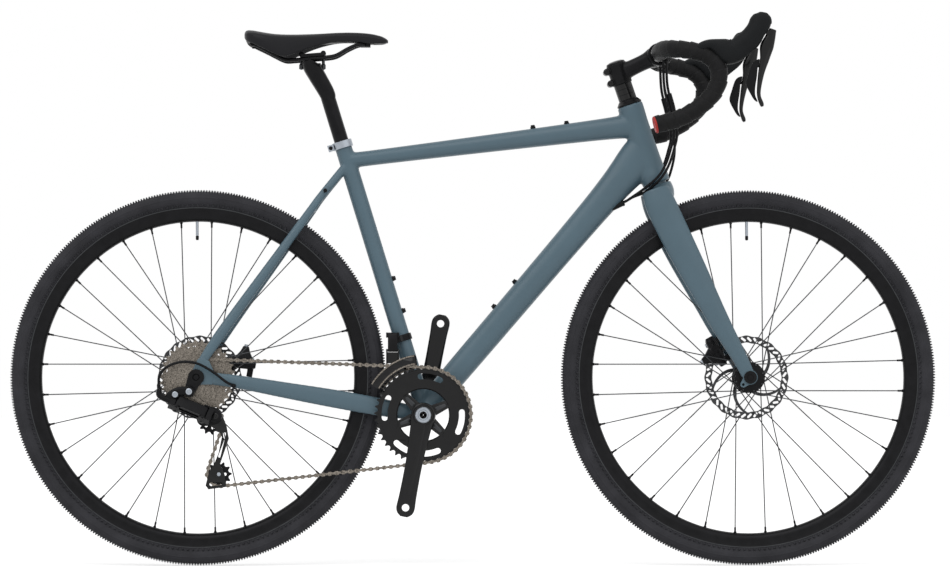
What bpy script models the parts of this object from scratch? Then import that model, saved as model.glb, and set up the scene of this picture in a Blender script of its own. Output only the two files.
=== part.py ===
"""A gravel road bicycle with drop handlebars, disc brakes and a two-ring drivetrain.

Metres, +Z up, +X towards the front wheel, +Y towards the rider's left. The origin is on
the ground, midway between the two axles. The chain side is the rider's right, at -Y.
"""

import math

import bmesh
import bpy
import numpy as np
from mathutils import Matrix, Vector

# Frame geometry
WHEELBASE = 1.030
TYRE_RADIUS = 0.351
CHAINSTAY_LENGTH = 0.4268
BRACKET_DROP = 0.070
HEAD_ANGLE = math.radians(71.2)
SEAT_ANGLE = math.radians(72.9)
SEAT_TUBE_AHEAD = 0.0043
SEAT_TUBE_LENGTH = 0.5284
SEAT_TUBE_RADIUS = 0.0159
FORK_OFFSET = 0.045
CROWN_ABOVE_TYRE = 0.0455
HEAD_TUBE_LENGTH = 0.155
HEAD_TUBE_TOP_RADIUS = 0.0232
HEAD_TUBE_LOW_RADIUS = 0.0262
HEAD_TUBE_BORE = 0.0192
CROWN_SEAT = 0.004
TOP_TUBE_BELOW_HEAD = 0.040
TOP_TUBE_BELOW_SEAT = 0.0304
DOWN_TUBE_ABOVE_HEAD = 0.0647
DOWN_TUBE_ABOVE_BRACKET = 0.006
GAP = 0.0003
SAME_PLACE = 1e-6
FLAT_ANGLE = math.radians(0.05)

# Wheels
WHEEL_STEPS = 48
RIM_EDGE_RADIUS = 0.317
RIM_DEPTH = 0.0255
RIM_WIDTH = 0.024
TYRE_WIDTH = 0.040
TREAD_HALF = 0.0075
TYRE_SHOULDER = 0.0155
SPOKE_COUNT = 32
SPOKE_CROSS = math.radians(67.5)
SPOKE_RADIUS = 0.0010
SPOKE_OFFSET = 0.00125
SPOKE_PHASE = math.radians(-4.9)
FLANGE_HOLE_RADIUS = 0.026
FLANGE_RADIUS = 0.029
FLANGE_THICKNESS = 0.0048
AXLE_RADIUS = 0.006
HUB_BORE = 0.0064
HUB_SIDES = 12
FRONT_HUB_HALF = 0.050
REAR_HUB_HALF = 0.071
DROPOUT_THICKNESS = 0.007
ROTOR_RADIUS = 0.080
ROTOR_THICKNESS = 0.0018
FRONT_ROTOR_Y = 0.0395
REAR_ROTOR_Y = 0.055

# Drivetrain
PITCH = 0.0127
RING_TEETH = 44
SMALL_RING_TEETH = 30
COG_TEETH = (11, 13, 15, 17, 19, 21, 23, 26, 30, 34)
COG_IN_USE = 17
COG_SPACING = 0.00395
COG_THICKNESS = 0.0017
OUTER_COG_Y = -0.064
PULLEY_TEETH = 11
RING_Y = -0.050
SMALL_RING_Y = -0.043
RING_THICKNESS = 0.0022
ROLLER_HALF = 0.0030
CHAIN_HALF_HEIGHT = 0.0039
OUTER_LINK_HALF = 0.00275
INNER_LINK_HALF = 0.0021
LINK_END = 0.0026
SLOT_HALF = 0.00135
TOOTH_ROOT = 0.0049
TOOTH_TIP = 0.0022
CRANK_LENGTH = 0.175
CRANK_ANGLE = math.radians(-100.8)
SPINDLE_RADIUS = 0.012
BRACKET_RADIUS = 0.0205
BRACKET_HALF = 0.034
CUP_HEIGHT = 0.0095
BOLT_CIRCLE = 0.055
CAGE_AHEAD = 0.0360
CAGE_BELOW = 0.0720
GUIDE_OFFSET = (-0.0094, -0.0112)
PULLEY_DISTANCE = 0.0980

# Cockpit
STACK_HEIGHT = 0.0414
STEM_LENGTH = 0.0819
STEM_RISE = math.radians(25.8)
STEM_CLAMP_HEIGHT = 0.040
STEERER_RADIUS = 0.0143
BAR_CLAMP_RADIUS = 0.0159
BAR_RADIUS = 0.0119
BAR_TAPER = (0.036, 0.056)
CLAMP_BORE = BAR_CLAMP_RADIUS + 0.0004
TAPE_START = 0.062
TAPE_RADIUS = 0.0168
TAPE_STEP = 0.0013
TAPE_LAP = 0.9
TUBE_SIDES = 8
HOSE_RADIUS = 0.0025

# Seat
POST_RADIUS = 0.0136
POST_INSERT = 0.120
RAIL_RADIUS = 0.0035

# Places worked out from the sizes above
FORK_LENGTH = TYRE_RADIUS + CROWN_ABOVE_TYRE
AXLE_Z = TYRE_RADIUS
RIM_INNER_RADIUS = RIM_EDGE_RADIUS - RIM_DEPTH
REAR_AXLE = Vector((-WHEELBASE / 2, 0, AXLE_Z))
FRONT_AXLE = Vector((WHEELBASE / 2, 0, AXLE_Z))
BRACKET = Vector(
    (
        REAR_AXLE.x + math.sqrt(CHAINSTAY_LENGTH**2 - BRACKET_DROP**2),
        0,
        AXLE_Z - BRACKET_DROP,
    )
)
STEER_UP = Vector((-math.cos(HEAD_ANGLE), 0, math.sin(HEAD_ANGLE)))
STEER_FORWARD = Vector((math.sin(HEAD_ANGLE), 0, math.cos(HEAD_ANGLE)))
STEER_FOOT = FRONT_AXLE - STEER_FORWARD * FORK_OFFSET
HEAD_LOW = FORK_LENGTH + CROWN_SEAT
HEAD_TOP = HEAD_LOW + HEAD_TUBE_LENGTH
SEAT_UP = Vector((-math.cos(SEAT_ANGLE), 0, math.sin(SEAT_ANGLE)))
SEAT_FOOT = BRACKET + Vector((SEAT_TUBE_AHEAD, 0, 0))
Y_AXIS = Vector((0, 1, 0))
X_AXIS = Vector((1, 0, 0))
Z_AXIS = Vector((0, 0, 1))
CRANK_WAY = Vector((math.cos(CRANK_ANGLE), 0, math.sin(CRANK_ANGLE)))
STEM_WAY = Vector((math.cos(STEM_RISE), 0, math.sin(STEM_RISE)))
STEM_LOW = HEAD_TOP + STACK_HEIGHT
STEM_FOOT = STEM_LOW + STEM_CLAMP_HEIGHT / 2
COG_Y = OUTER_COG_Y + COG_SPACING * COG_TEETH.index(COG_IN_USE)


def steer(height, forward=0.0, side=0.0):
    """A point at a height along the steering axis, moved forward of it and to the left."""
    return STEER_FOOT + STEER_UP * height + STEER_FORWARD * forward + Y_AXIS * side


def seat(height):
    """A point at a height along the seat tube's axis."""
    return SEAT_FOOT + SEAT_UP * height


BAR_CENTRE = steer(STEM_FOOT) + STEM_WAY * STEM_LENGTH
CAGE_PIVOT = (REAR_AXLE.x + CAGE_AHEAD, REAR_AXLE.z - CAGE_BELOW)
GUIDE_PULLEY_CENTRE = (CAGE_PIVOT[0] + GUIDE_OFFSET[0], CAGE_PIVOT[1] + GUIDE_OFFSET[1])


def pitch_radius(teeth):
    """The radius of the circle through the chain's roller centres."""
    return PITCH / (2 * math.sin(math.pi / teeth))


# Scene and building tools

for old in list(bpy.data.objects):
    bpy.data.objects.remove(old)

PARTS = bpy.data.collections.new("gravel_bicycle")
bpy.context.scene.collection.children.link(PARTS)


def new_object(name, data):
    made = bpy.data.objects.new(name, data)
    PARTS.objects.link(made)
    return made


def mesh_object(name, work):
    """An object from a bmesh, with its faces turned outwards."""
    bmesh.ops.remove_doubles(work, verts=work.verts, dist=SAME_PLACE)
    bmesh.ops.recalc_face_normals(work, faces=work.faces)
    mesh = bpy.data.meshes.new(name)
    work.to_mesh(mesh)
    work.free()
    return new_object(name, mesh)


def baked(source):
    """The mesh that a curve or a set of modifiers gives, in world space, under the same name."""
    bpy.context.view_layer.update()
    graph = bpy.context.evaluated_depsgraph_get()
    mesh = bpy.data.meshes.new_from_object(source.evaluated_get(graph))
    mesh.transform(source.matrix_world)
    work = bmesh.new()
    work.from_mesh(mesh)
    bpy.data.meshes.remove(mesh)
    name = source.name
    bpy.data.objects.remove(source)
    return mesh_object(name, work)


def boolean(target, others, operation):
    """Joins solids to the target or cuts them from it, and clears the seams left on flat faces."""
    for other in others:
        modifier = target.modifiers.new(other.name, "BOOLEAN")
        modifier.operation = operation
        modifier.object = other
    result = baked(target)
    for other in others:
        bpy.data.objects.remove(other)
    work = bmesh.new()
    work.from_mesh(result.data)
    name = result.name
    bpy.data.objects.remove(result)
    bmesh.ops.dissolve_limit(work, angle_limit=FLAT_ANGLE, verts=work.verts, edges=work.edges)
    bmesh.ops.triangulate(work, faces=work.faces)
    return mesh_object(name, work)


def join(target, *others):
    return boolean(target, others, "UNION")


def cut(target, *others):
    return boolean(target, others, "DIFFERENCE")


def together(name, pieces):
    """Several solids that don't touch, as one helper for a Boolean."""
    work = bmesh.new()
    for piece in pieces:
        piece.data.transform(piece.matrix_world)
        work.from_mesh(piece.data)
        bpy.data.objects.remove(piece)
    return mesh_object(name, work)


def turned_matrix(origin, axis, start):
    """A matrix whose Z runs along the axis and whose X points as near to start as it can."""
    z = Vector(axis).normalized()
    x = (Vector(start) - z * Vector(start).dot(z)).normalized()
    y = z.cross(x)
    return Matrix.Translation(origin) @ Matrix((x, y, z)).transposed().to_4x4()


def any_side(axis):
    """A direction square to an axis: the left where it can be, and otherwise forward."""
    return Y_AXIS if abs(Vector(axis).normalized().y) < 0.9 else X_AXIS


def turned(name, profile, steps, origin, axis, start=None, closed=False):
    """A turned solid. The profile is a list of (radius, height) from its top down its outer side."""
    mesh = bpy.data.meshes.new(name)
    count = len(profile)
    edges = [(i, i + 1) for i in range(count - 1)]
    if closed:
        edges.append((count - 1, 0))
    mesh.from_pydata([(radius, 0, height) for radius, height in profile], edges, [])
    made = new_object(name, mesh)
    screw = made.modifiers.new("Turn", "SCREW")
    screw.steps = steps
    screw.render_steps = steps
    screw.use_merge_vertices = True
    screw.merge_threshold = 1e-6
    made.matrix_world = turned_matrix(origin, axis, start or any_side(axis))
    return baked(made)


def cylinder(name, begin, end, radius, sides, end_radius=None, start=None):
    """A round bar between two points, or a cone when it has an end radius."""
    begin = Vector(begin)
    end = Vector(end)
    work = bmesh.new()
    bmesh.ops.create_cone(
        work,
        cap_ends=True,
        segments=sides,
        radius1=radius,
        radius2=radius if end_radius is None else end_radius,
        depth=(end - begin).length,
    )
    axis = end - begin
    work.transform(turned_matrix((begin + end) / 2, axis, start or any_side(axis)))
    return mesh_object(name, work)


def tube(name, begin, end, radius, bore, sides, start=None):
    """A round bar with a bore through it."""
    length = (Vector(end) - Vector(begin)).length
    profile = [(radius, length), (radius, 0), (bore, 0), (bore, length)]
    return turned(name, profile, sides, begin, Vector(end) - Vector(begin), start, closed=True)


def block(name, centre, size, axes=None):
    """A box, turned to the two axes it is given."""
    work = bmesh.new()
    bmesh.ops.create_cube(work, size=1.0)
    z, x = axes or (Z_AXIS, X_AXIS)
    work.transform(turned_matrix(centre, z, x) @ Matrix.Diagonal((*size, 1)))
    return mesh_object(name, work)


def loft(name, rings, looped=False):
    """A closed skin over a row of rings with the same number of points."""
    rings = np.asarray(rings, float)
    count, sides = rings.shape[:2]
    work = bmesh.new()
    points = [[work.verts.new(point) for point in ring] for ring in rings]
    for i in range(count if looped else count - 1):
        here = points[i]
        there = points[(i + 1) % count]
        for j in range(sides):
            k = (j + 1) % sides
            work.faces.new((here[j], here[k], there[k], there[j]))
    if not looped:
        work.faces.new(points[0][::-1])
        work.faces.new(points[-1])
    return mesh_object(name, work)


def superellipse(half_a, half_b, sides, power=2.0, turn=0.0):
    """Points round an oval: power 2 is an ellipse, and more is squarer."""
    angles = turn + 2 * math.pi * np.arange(sides) / sides
    cosine = np.cos(angles)
    sine = np.sin(angles)
    a = half_a * np.sign(cosine) * np.abs(cosine) ** (2 / power)
    b = half_b * np.sign(sine) * np.abs(sine) ** (2 / power)
    return np.column_stack([a, b])


def tube_rings(stations, side, sides, power=2.0):
    """Rings for stations (point, half depth, half width), with the width along side."""
    points = [Vector(point) for point, _, _ in stations]
    rings = []
    for i, (point, depth, width) in enumerate(stations):
        ahead = points[min(i + 1, len(points) - 1)]
        behind = points[max(i - 1, 0)]
        along = (ahead - behind).normalized()
        across = (Vector(side) - along * along.dot(Vector(side))).normalized()
        up = along.cross(across)
        oval = superellipse(width, depth, sides, power, math.pi / sides)
        rings.append([Vector(point) + across * a + up * b for a, b in oval])
    return rings


def smooth(points, count):
    """Evenly spaced points on a Catmull-Rom curve through the given ones."""
    points = np.asarray([tuple(point) for point in points], float)
    padded = np.vstack([2 * points[0] - points[1], points, 2 * points[-1] - points[-2]])
    steps = np.linspace(0, 1, 24, endpoint=False)[:, None]
    pieces = []
    for i in range(1, len(padded) - 2):
        a, b, c, d = padded[i - 1 : i + 3]
        pieces.append(
            0.5
            * (
                2 * b
                + (c - a) * steps
                + (2 * a - 5 * b + 4 * c - d) * steps**2
                + (3 * b - a - 3 * c + d) * steps**3
            )
        )
    dense = np.vstack([*pieces, points[-1:]])
    travelled = np.concatenate([[0], np.cumsum(np.linalg.norm(np.diff(dense, axis=0), axis=1))])
    wanted = np.linspace(0, travelled[-1], count)
    return np.column_stack([np.interp(wanted, travelled, dense[:, k]) for k in range(3)])


def carried_frames(points, first_side):
    """Sideways directions along a path, carried on from point to point without a twist."""
    points = np.asarray(points, float)
    along = np.gradient(points, axis=0)
    along /= np.linalg.norm(along, axis=1)[:, None]
    side = np.array(first_side, float)
    frames = []
    for direction in along:
        side = side - direction * side.dot(direction)
        side /= np.linalg.norm(side)
        frames.append((side, np.cross(direction, side)))
    return frames


def round_rings(points, radii, frames, sides):
    """Round rings about a path's points, one radius each."""
    angles = 2 * math.pi * np.arange(sides) / sides
    rings = []
    for point, radius, (side, up) in zip(points, radii, frames):
        circle = np.outer(np.cos(angles), side) + np.outer(np.sin(angles), up)
        rings.append(np.asarray(point) + radius * circle)
    return rings


def wire(name, points, radius, resolution=1):
    """A bent wire or hose: a curve with a round bevel."""
    curve = bpy.data.curves.new(name, "CURVE")
    curve.dimensions = "3D"
    curve.bevel_depth = radius
    curve.bevel_resolution = resolution
    curve.use_fill_caps = True
    spline = curve.splines.new("POLY")
    spline.points.add(len(points) - 1)
    for slot, point in zip(spline.points, points):
        slot.co = (*point, 1)
    return baked(new_object(name, curve))


def plate(name, loops, thickness, origin, normal, start):
    """A flat plate from its outline and the outlines of its holes."""
    curve = bpy.data.curves.new(name, "CURVE")
    curve.dimensions = "2D"
    curve.fill_mode = "BOTH"
    curve.extrude = thickness / 2
    for loop in loops:
        spline = curve.splines.new("POLY")
        spline.points.add(len(loop) - 1)
        spline.use_cyclic_u = True
        for slot, (x, y) in zip(spline.points, loop):
            slot.co = (x, y, 0, 1)
    made = new_object(name, curve)
    made.matrix_world = turned_matrix(origin, normal, start)
    return baked(made)


def side_plate(name, loops, low_y, high_y, centre=(0, 0)):
    """A plate in the XZ plane between two values of Y, with its outline about a centre."""
    origin = (centre[0], (low_y + high_y) / 2, centre[1])
    turned_loops = [[(x, y) for x, y in loop] for loop in loops]
    return plate(name, turned_loops, high_y - low_y, origin, -Y_AXIS, X_AXIS)


def circle(radius, count, centre=(0, 0), turn=0.0):
    """Points round a circle."""
    angles = turn + 2 * math.pi * np.arange(count) / count
    return [(centre[0] + radius * math.cos(a), centre[1] + radius * math.sin(a)) for a in angles]


def arc(radius, begin, end, count, centre=(0, 0)):
    """Points along an arc between two angles."""
    return [
        (centre[0] + radius * math.cos(a), centre[1] + radius * math.sin(a))
        for a in np.linspace(begin, end, count)
    ]


def sector(inner, outer, middle, half_angle, count):
    """The outline of a bent slot between two radii."""
    return arc(outer, middle - half_angle, middle + half_angle, count) + arc(
        inner, middle + half_angle, middle - half_angle, count
    )


def capsule(length, radius, count, end_radius=None):
    """A bar's outline with a round end at each pin, from x = 0 to x = length."""
    last = radius if end_radius is None else end_radius
    return arc(radius, math.pi / 2, 3 * math.pi / 2, count) + arc(
        last, -math.pi / 2, math.pi / 2, count, (length, 0)
    )


# Finishes

def finish(name, colour, roughness, metallic=0.0):
    made = bpy.data.materials.new(name)
    made.use_nodes = True
    shader = made.node_tree.nodes["Principled BSDF"]
    shader.inputs["Base Color"].default_value = (*colour, 1)
    shader.inputs["Roughness"].default_value = roughness
    shader.inputs["Metallic"].default_value = metallic
    made.diffuse_color = (*colour, 1)
    return made


FINISHES = {
    "paint": finish("paint", (0.11, 0.17, 0.22), 0.38),
    "black_alloy": finish("black_alloy", (0.018, 0.018, 0.02), 0.42, 0.6),
    "black_plastic": finish("black_plastic", (0.02, 0.02, 0.022), 0.5),
    "hood_rubber": finish("hood_rubber", (0.024, 0.024, 0.025), 0.7),
    "tape": finish("tape", (0.014, 0.014, 0.014), 0.75),
    "tyre": finish("tyre", (0.03, 0.029, 0.031), 0.85),
    "saddle_skin": finish("saddle_skin", (0.02, 0.02, 0.022), 0.55),
    "silver": finish("silver", (0.55, 0.54, 0.52), 0.3, 1.0),
    "chain_steel": finish("chain_steel", (0.36, 0.33, 0.29), 0.35, 1.0),
    "spoke_steel": finish("spoke_steel", (0.12, 0.12, 0.125), 0.35, 0.9),
    "red_plastic": finish("red_plastic", (0.62, 0.012, 0.018), 0.4),
}

# Each moving body and a point on its joint's axis
PIVOTS = {}


def pivot(body, point):
    PIVOTS[body] = bpy.data.objects.new(body + "_axis", None)
    PIVOTS[body].location = point
    PARTS.objects.link(PIVOTS[body])


def node(made, name, finish_name, body="root"):
    """Names a finished solid, gives it its finish and puts it on its body."""
    made.name = name
    made.data.name = name
    made.data.materials.append(FINISHES[finish_name])
    made.data.shade_smooth()
    made.data.set_sharp_from_angle(angle=math.radians(35))
    if body != "root":
        made.parent = PIVOTS[body]
        made.matrix_parent_inverse = Matrix.Translation(-PIVOTS[body].location)
    return made


# Frame

def frame_tubes():
    """The three main tubes and the head tube, with depths and widths that grow to the head."""
    head = steer(HEAD_TOP - TOP_TUBE_BELOW_HEAD)
    back = seat(SEAT_TUBE_LENGTH - TOP_TUBE_BELOW_SEAT)
    top_sizes = [
        (0.0, 0.0150, 0.0155),
        (0.10, 0.0142, 0.0165),
        (0.45, 0.0162, 0.0178),
        (0.75, 0.0187, 0.0190),
        (0.92, 0.0210, 0.0198),
        (1.0, 0.0250, 0.0200),
    ]
    top = [(back.lerp(head, share), depth, width) for share, depth, width in top_sizes]
    low, high = down_tube_ends()
    down_sizes = [
        (0.0, 0.0215, 0.0240),
        (0.17, 0.0240, 0.0240),
        (0.66, 0.0262, 0.0245),
        (0.85, 0.0296, 0.0235),
        (0.96, 0.0370, 0.0215),
    ]
    down = [(low.lerp(high, share), depth, width) for share, depth, width in down_sizes]
    head_profile = [
        (HEAD_TUBE_TOP_RADIUS, HEAD_TUBE_LENGTH),
        (HEAD_TUBE_TOP_RADIUS, HEAD_TUBE_LENGTH * 0.55),
        (HEAD_TUBE_LOW_RADIUS, HEAD_TUBE_LENGTH * 0.12),
        (HEAD_TUBE_LOW_RADIUS, 0),
        (0, 0),
        (0, HEAD_TUBE_LENGTH),
    ]
    return [
        turned("head_tube", head_profile[-1:] + head_profile[:-1], 14, steer(HEAD_LOW), STEER_UP),
        loft("top_tube", tube_rings(top, Y_AXIS, 10, 2.3)),
        loft("down_tube", tube_rings(down, Y_AXIS, 10, 2.4)),
        cylinder("seat_tube", seat(0.004), seat(SEAT_TUBE_LENGTH), SEAT_TUBE_RADIUS, 12),
    ]


STAY_SIDES = 8
BLADE_SIDES = 8
DROPOUT_Y = REAR_HUB_HALF + DROPOUT_THICKNESS / 2
FORK_END_Y = FRONT_HUB_HALF + 0.0042
SEAT_TOP = seat(SEAT_TUBE_LENGTH)
CROWN = steer(FORK_LENGTH)


def stations_from(anchor, rows):
    """Rows of x and z from an anchor, as x, distance from the middle, z and the half sizes."""
    return [(anchor.x + x, y, anchor.z + z, depth, width) for x, y, z, depth, width in rows]


SEATSTAY = stations_from(
    SEAT_TOP,
    [
        (0.0110, 0.0060, -0.0330, 0.0080, 0.0070),
        (-0.0388, 0.0220, -0.0946, 0.0075, 0.0070),
        (-0.0589, 0.0310, -0.1226, 0.0077, 0.0070),
    ],
) + stations_from(
    REAR_AXLE,
    [
        (0.1576, 0.0440, 0.2377, 0.0086, 0.0072),
        (0.0770, 0.0580, 0.1260, 0.0098, 0.0072),
        (0.0390, 0.0670, 0.0720, 0.0102, 0.0068),
        (0.0100, DROPOUT_Y, 0.0280, 0.0085, 0.0038),
    ],
)
CHAINSTAY = stations_from(
    BRACKET,
    [
        (-0.0120, 0.0200, 0.0030, 0.0130, 0.0090),
        (-0.0460, 0.0285, 0.0085, 0.0155, 0.0070),
        (-0.1035, 0.0345, 0.0190, 0.0172, 0.0068),
        (-0.1760, 0.0430, 0.0320, 0.0170, 0.0070),
    ],
) + stations_from(
    REAR_AXLE,
    [
        (0.1650, 0.0545, -0.0240, 0.0150, 0.0072),
        (0.0800, 0.0672, -0.0090, 0.0125, 0.0070),
        (0.0200, DROPOUT_Y, -0.0010, 0.0115, 0.0038),
    ],
)
STAY_BRIDGE = SEAT_TOP + Vector((-0.0570, 0, -0.1200))
STAY_BRIDGE_HALF = 0.030


def side_tube(name, table, side, sides, extra=0.0):
    """A stay or fork blade. The tables hold x, distance from the middle, z and the half sizes."""
    stations = [((x, side * y, z), depth + extra, width + extra) for x, y, z, depth, width in table]
    return loft(name, tube_rings(stations, Y_AXIS, sides, 2.3))


def dropout(side):
    """The plate that holds one end of the rear axle."""
    x = REAR_AXLE.x
    z = REAR_AXLE.z
    outline = arc(0.0145, math.radians(118), math.radians(290), 8, (x, z)) + [
        (x + 0.030, z - 0.0135),
        (x + 0.034, z + 0.0085),
        (x + 0.024, z + 0.030),
        (x + 0.012, z + 0.037),
        (x + 0.003, z + 0.034),
    ]
    inner = REAR_HUB_HALF * side
    outer = (REAR_HUB_HALF + DROPOUT_THICKNESS) * side
    bore = circle(HUB_BORE, 12, (x, z))
    return side_plate("dropout", [outline, bore], min(inner, outer), max(inner, outer))


PORT_WAY = Vector((0.9, 0, 0.43)).normalized()
PORT_LENGTH = 0.030
PORT_SHARE = 0.8433
PORT_DROP = 0.0319


def down_tube_ends():
    """The two ends of the down tube's middle line."""
    return BRACKET + Z_AXIS * DOWN_TUBE_ABOVE_BRACKET, steer(HEAD_LOW + DOWN_TUBE_ABOVE_HEAD)


def port_place():
    """Where the housings enter, under the down tube."""
    low, high = down_tube_ends()
    way = (high - low).normalized()
    return low.lerp(high, PORT_SHARE) + Vector((way.z, 0, -way.x)) * PORT_DROP


PORT = port_place()


def cable_port():
    """The raised entry on the down tube's underside that the housings run into."""
    stations = [
        (PORT - PORT_WAY * PORT_LENGTH, 0.0060, 0.0150),
        (PORT - PORT_WAY * 0.004, 0.0060, 0.0130),
        (PORT, 0.0050, 0.0120),
    ]
    return loft("port", tube_rings(stations, Y_AXIS, 8, 3.0))


def build_frame():
    pieces = frame_tubes()
    reach = Y_AXIS * BRACKET_HALF
    pieces.append(cylinder("shell", BRACKET - reach, BRACKET + reach, BRACKET_RADIUS, 12))
    for side in (-1, 1):
        pieces.append(side_tube("seatstay", SEATSTAY, side, STAY_SIDES))
        pieces.append(side_tube("chainstay", CHAINSTAY, side, STAY_SIDES))
        pieces.append(dropout(side))
    low_bridge = BRACKET + Vector((-0.043, 0, 0.0085))
    pieces.append(block("chainstay_bridge", low_bridge, (0.024, 0.050, 0.020)))
    reach = Y_AXIS * STAY_BRIDGE_HALF
    pieces.append(cylinder("seatstay_bridge", STAY_BRIDGE - reach, STAY_BRIDGE + reach, 0.0060, 8))
    pieces.append(cable_port())
    body = join(pieces[0], *pieces[1:])
    cutters = [
        cylinder("steerer_bore", steer(HEAD_LOW - 0.02), steer(HEAD_TOP + 0.02), HEAD_TUBE_BORE, 12),
        cylinder("post_bore", seat(SEAT_TUBE_LENGTH - 0.24), seat(SEAT_TUBE_LENGTH + 0.02), POST_RADIUS + GAP, 12),
        cylinder("bracket_bore", BRACKET - Y_AXIS * 0.06, BRACKET + Y_AXIS * 0.06, 0.0175, 12),
    ]
    node(cut(body, *cutters), "frame", "paint")


def build_seat_collar():
    """A clamp ring over the seat tube's slotted top, with its bolt at the back."""
    low = seat(SEAT_TUBE_LENGTH - 0.006)
    high = seat(SEAT_TUBE_LENGTH + 0.008)
    ring = tube("ring", low, high, SEAT_TUBE_RADIUS + 0.0030, SEAT_TUBE_RADIUS + GAP, 12)
    lip = tube("lip", seat(SEAT_TUBE_LENGTH + 0.0006), high, SEAT_TUBE_RADIUS + 0.002, POST_RADIUS + GAP, 12)
    back = Vector((-SEAT_UP.z, 0, SEAT_UP.x))
    middle = seat(SEAT_TUBE_LENGTH + 0.001) + back * (SEAT_TUBE_RADIUS + 0.0065)
    lug = block("lug", middle, (0.012, 0.018, 0.0125), (SEAT_UP, back))
    bolt = cylinder("bolt", middle + Vector((-0.001, -0.011, 0)), middle + Vector((-0.001, 0.011, 0)), 0.0036, 8)
    node(join(ring, lip, lug, bolt), "seat_collar", "silver")


def build_bracket_cups():
    for side, name in ((-1, "bb_cup_right"), (1, "bb_cup_left")):
        bore = SPINDLE_RADIUS + 0.0007
        profile = [
            (0.0222, CUP_HEIGHT),
            (0.0222, 0),
            (0.0168, 0),
            (0.0168, -0.010),
            (bore, -0.010),
            (bore, CUP_HEIGHT),
        ]
        foot = BRACKET + Y_AXIS * side * (BRACKET_HALF + GAP)
        cup = turned(name, profile, 12, foot, Y_AXIS * side, X_AXIS, closed=True)
        node(cup, name, "black_alloy")


def build_headset():
    """The dust cover above the head tube, and the spacers under the stem."""
    base = HEAD_TOP + GAP
    bore = STEERER_RADIUS + GAP
    cover = [
        (0.0170, 0.0100),
        (0.0190, 0.0085),
        (0.0234, 0.0030),
        (0.0234, 0),
        (bore, 0),
        (bore, 0.0100),
    ]
    node(turned("cover", cover, 12, steer(base), STEER_UP, closed=True), "headset_cover", "black_alloy", "steerer")
    spacer_low = base + 0.0100 + GAP
    spacer_top = STEM_LOW - GAP
    height = (spacer_top - spacer_low) / 3
    outer = 0.0170
    profile = [(outer, 3 * height)]
    for level in (2, 1):
        seam = level * height
        profile += [(outer, seam + 0.0006), (outer - 0.0008, seam), (outer, seam - 0.0006)]
    profile += [(outer, 0), (bore, 0), (bore, 3 * height)]
    stack = turned("spacers", profile, 12, steer(spacer_low), STEER_UP, closed=True)
    node(stack, "headset_spacers", "black_alloy", "steerer")


# Fork

FORK_BLADE = stations_from(
    CROWN,
    [
        (-0.0046, 0.0300, -0.0118, 0.0260, 0.0180),
        (0.0054, 0.0380, -0.0398, 0.0290, 0.0145),
        (0.0254, 0.0420, -0.0828, 0.0288, 0.0125),
        (0.0484, 0.0455, -0.1298, 0.0275, 0.0115),
    ],
) + stations_from(
    FRONT_AXLE,
    [
        (-0.0990, 0.0485, 0.1860, 0.0248, 0.0105),
        (-0.0760, 0.0510, 0.1405, 0.0215, 0.0095),
        (-0.0520, 0.0530, 0.0940, 0.0188, 0.0085),
        (-0.0210, 0.0545, 0.0390, 0.0145, 0.0070),
        (-0.0040, FORK_END_Y, 0.0050, 0.0125, 0.0041),
    ],
)


def build_fork():
    """Two swept blades, the crown that joins them and the steerer tube."""
    crown_stations = [
        (0.030, 0.0235, 0.0470, 2.6),
        (0.018, 0.0270, 0.0475, 2.5),
        (0.008, 0.0272, 0.0380, 2.3),
        (0.0, 0.0262, 0.0262, 2.0),
    ]
    rings = []
    for below, depth, width, power in crown_stations:
        oval = superellipse(depth, width, 12, power)
        rings.append([steer(FORK_LENGTH - below, forward, side) for forward, side in oval])
    crown = loft("crown", rings)
    pieces = []
    for side in (-1, 1):
        pieces.append(side_tube("blade", FORK_BLADE, side, BLADE_SIDES))
        inner = FRONT_AXLE + Y_AXIS * side * FRONT_HUB_HALF
        outer = FRONT_AXLE + Y_AXIS * side * (FRONT_HUB_HALF + 0.0085)
        pieces.append(cylinder("end", inner, outer, 0.0135, 12))
        eyelet = FRONT_AXLE + Vector((-0.0105, side * FORK_END_Y, -0.0175))
        pieces.append(block("eyelet", eyelet, (0.012, 0.006, 0.022)))
    lower = cylinder("taper", steer(FORK_LENGTH - 0.004), steer(FORK_LENGTH + 0.050), 0.0185, 12, STEERER_RADIUS)
    pieces.append(lower)
    steerer_top = steer(STEM_LOW + STEM_CLAMP_HEIGHT - 0.003)
    pieces.append(cylinder("steerer", steer(FORK_LENGTH - 0.002), steerer_top, STEERER_RADIUS, 12))
    body = join(crown, *pieces)
    axle_hole = cylinder("axle_hole", FRONT_AXLE - Y_AXIS * 0.09, FRONT_AXLE + Y_AXIS * 0.09, HUB_BORE, 12)
    node(cut(body, axle_hole), "fork", "paint", "steerer")


def build_axles():
    """The two through axles, each with a flush head on the left."""
    reach = FRONT_HUB_HALF + 0.0082
    front = cylinder("bar", FRONT_AXLE - Y_AXIS * reach, FRONT_AXLE + Y_AXIS * (reach + 0.004), AXLE_RADIUS, 10)
    head = cylinder("head", FRONT_AXLE + Y_AXIS * (reach + 0.0008), FRONT_AXLE + Y_AXIS * (reach + 0.005), 0.0095, 10)
    node(join(front, head), "front_axle", "black_alloy", "steerer")
    right = REAR_HUB_HALF + DROPOUT_THICKNESS + GAP + HANGER_THICKNESS - 0.0005
    left = REAR_HUB_HALF + DROPOUT_THICKNESS
    rear = cylinder("bar", REAR_AXLE - Y_AXIS * right, REAR_AXLE + Y_AXIS * (left + 0.003), AXLE_RADIUS, 10)
    head = cylinder("head", REAR_AXLE + Y_AXIS * (left + GAP), REAR_AXLE + Y_AXIS * (left + 0.0045), 0.0095, 10)
    node(join(rear, head), "rear_axle", "black_alloy")


# Wheels

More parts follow.
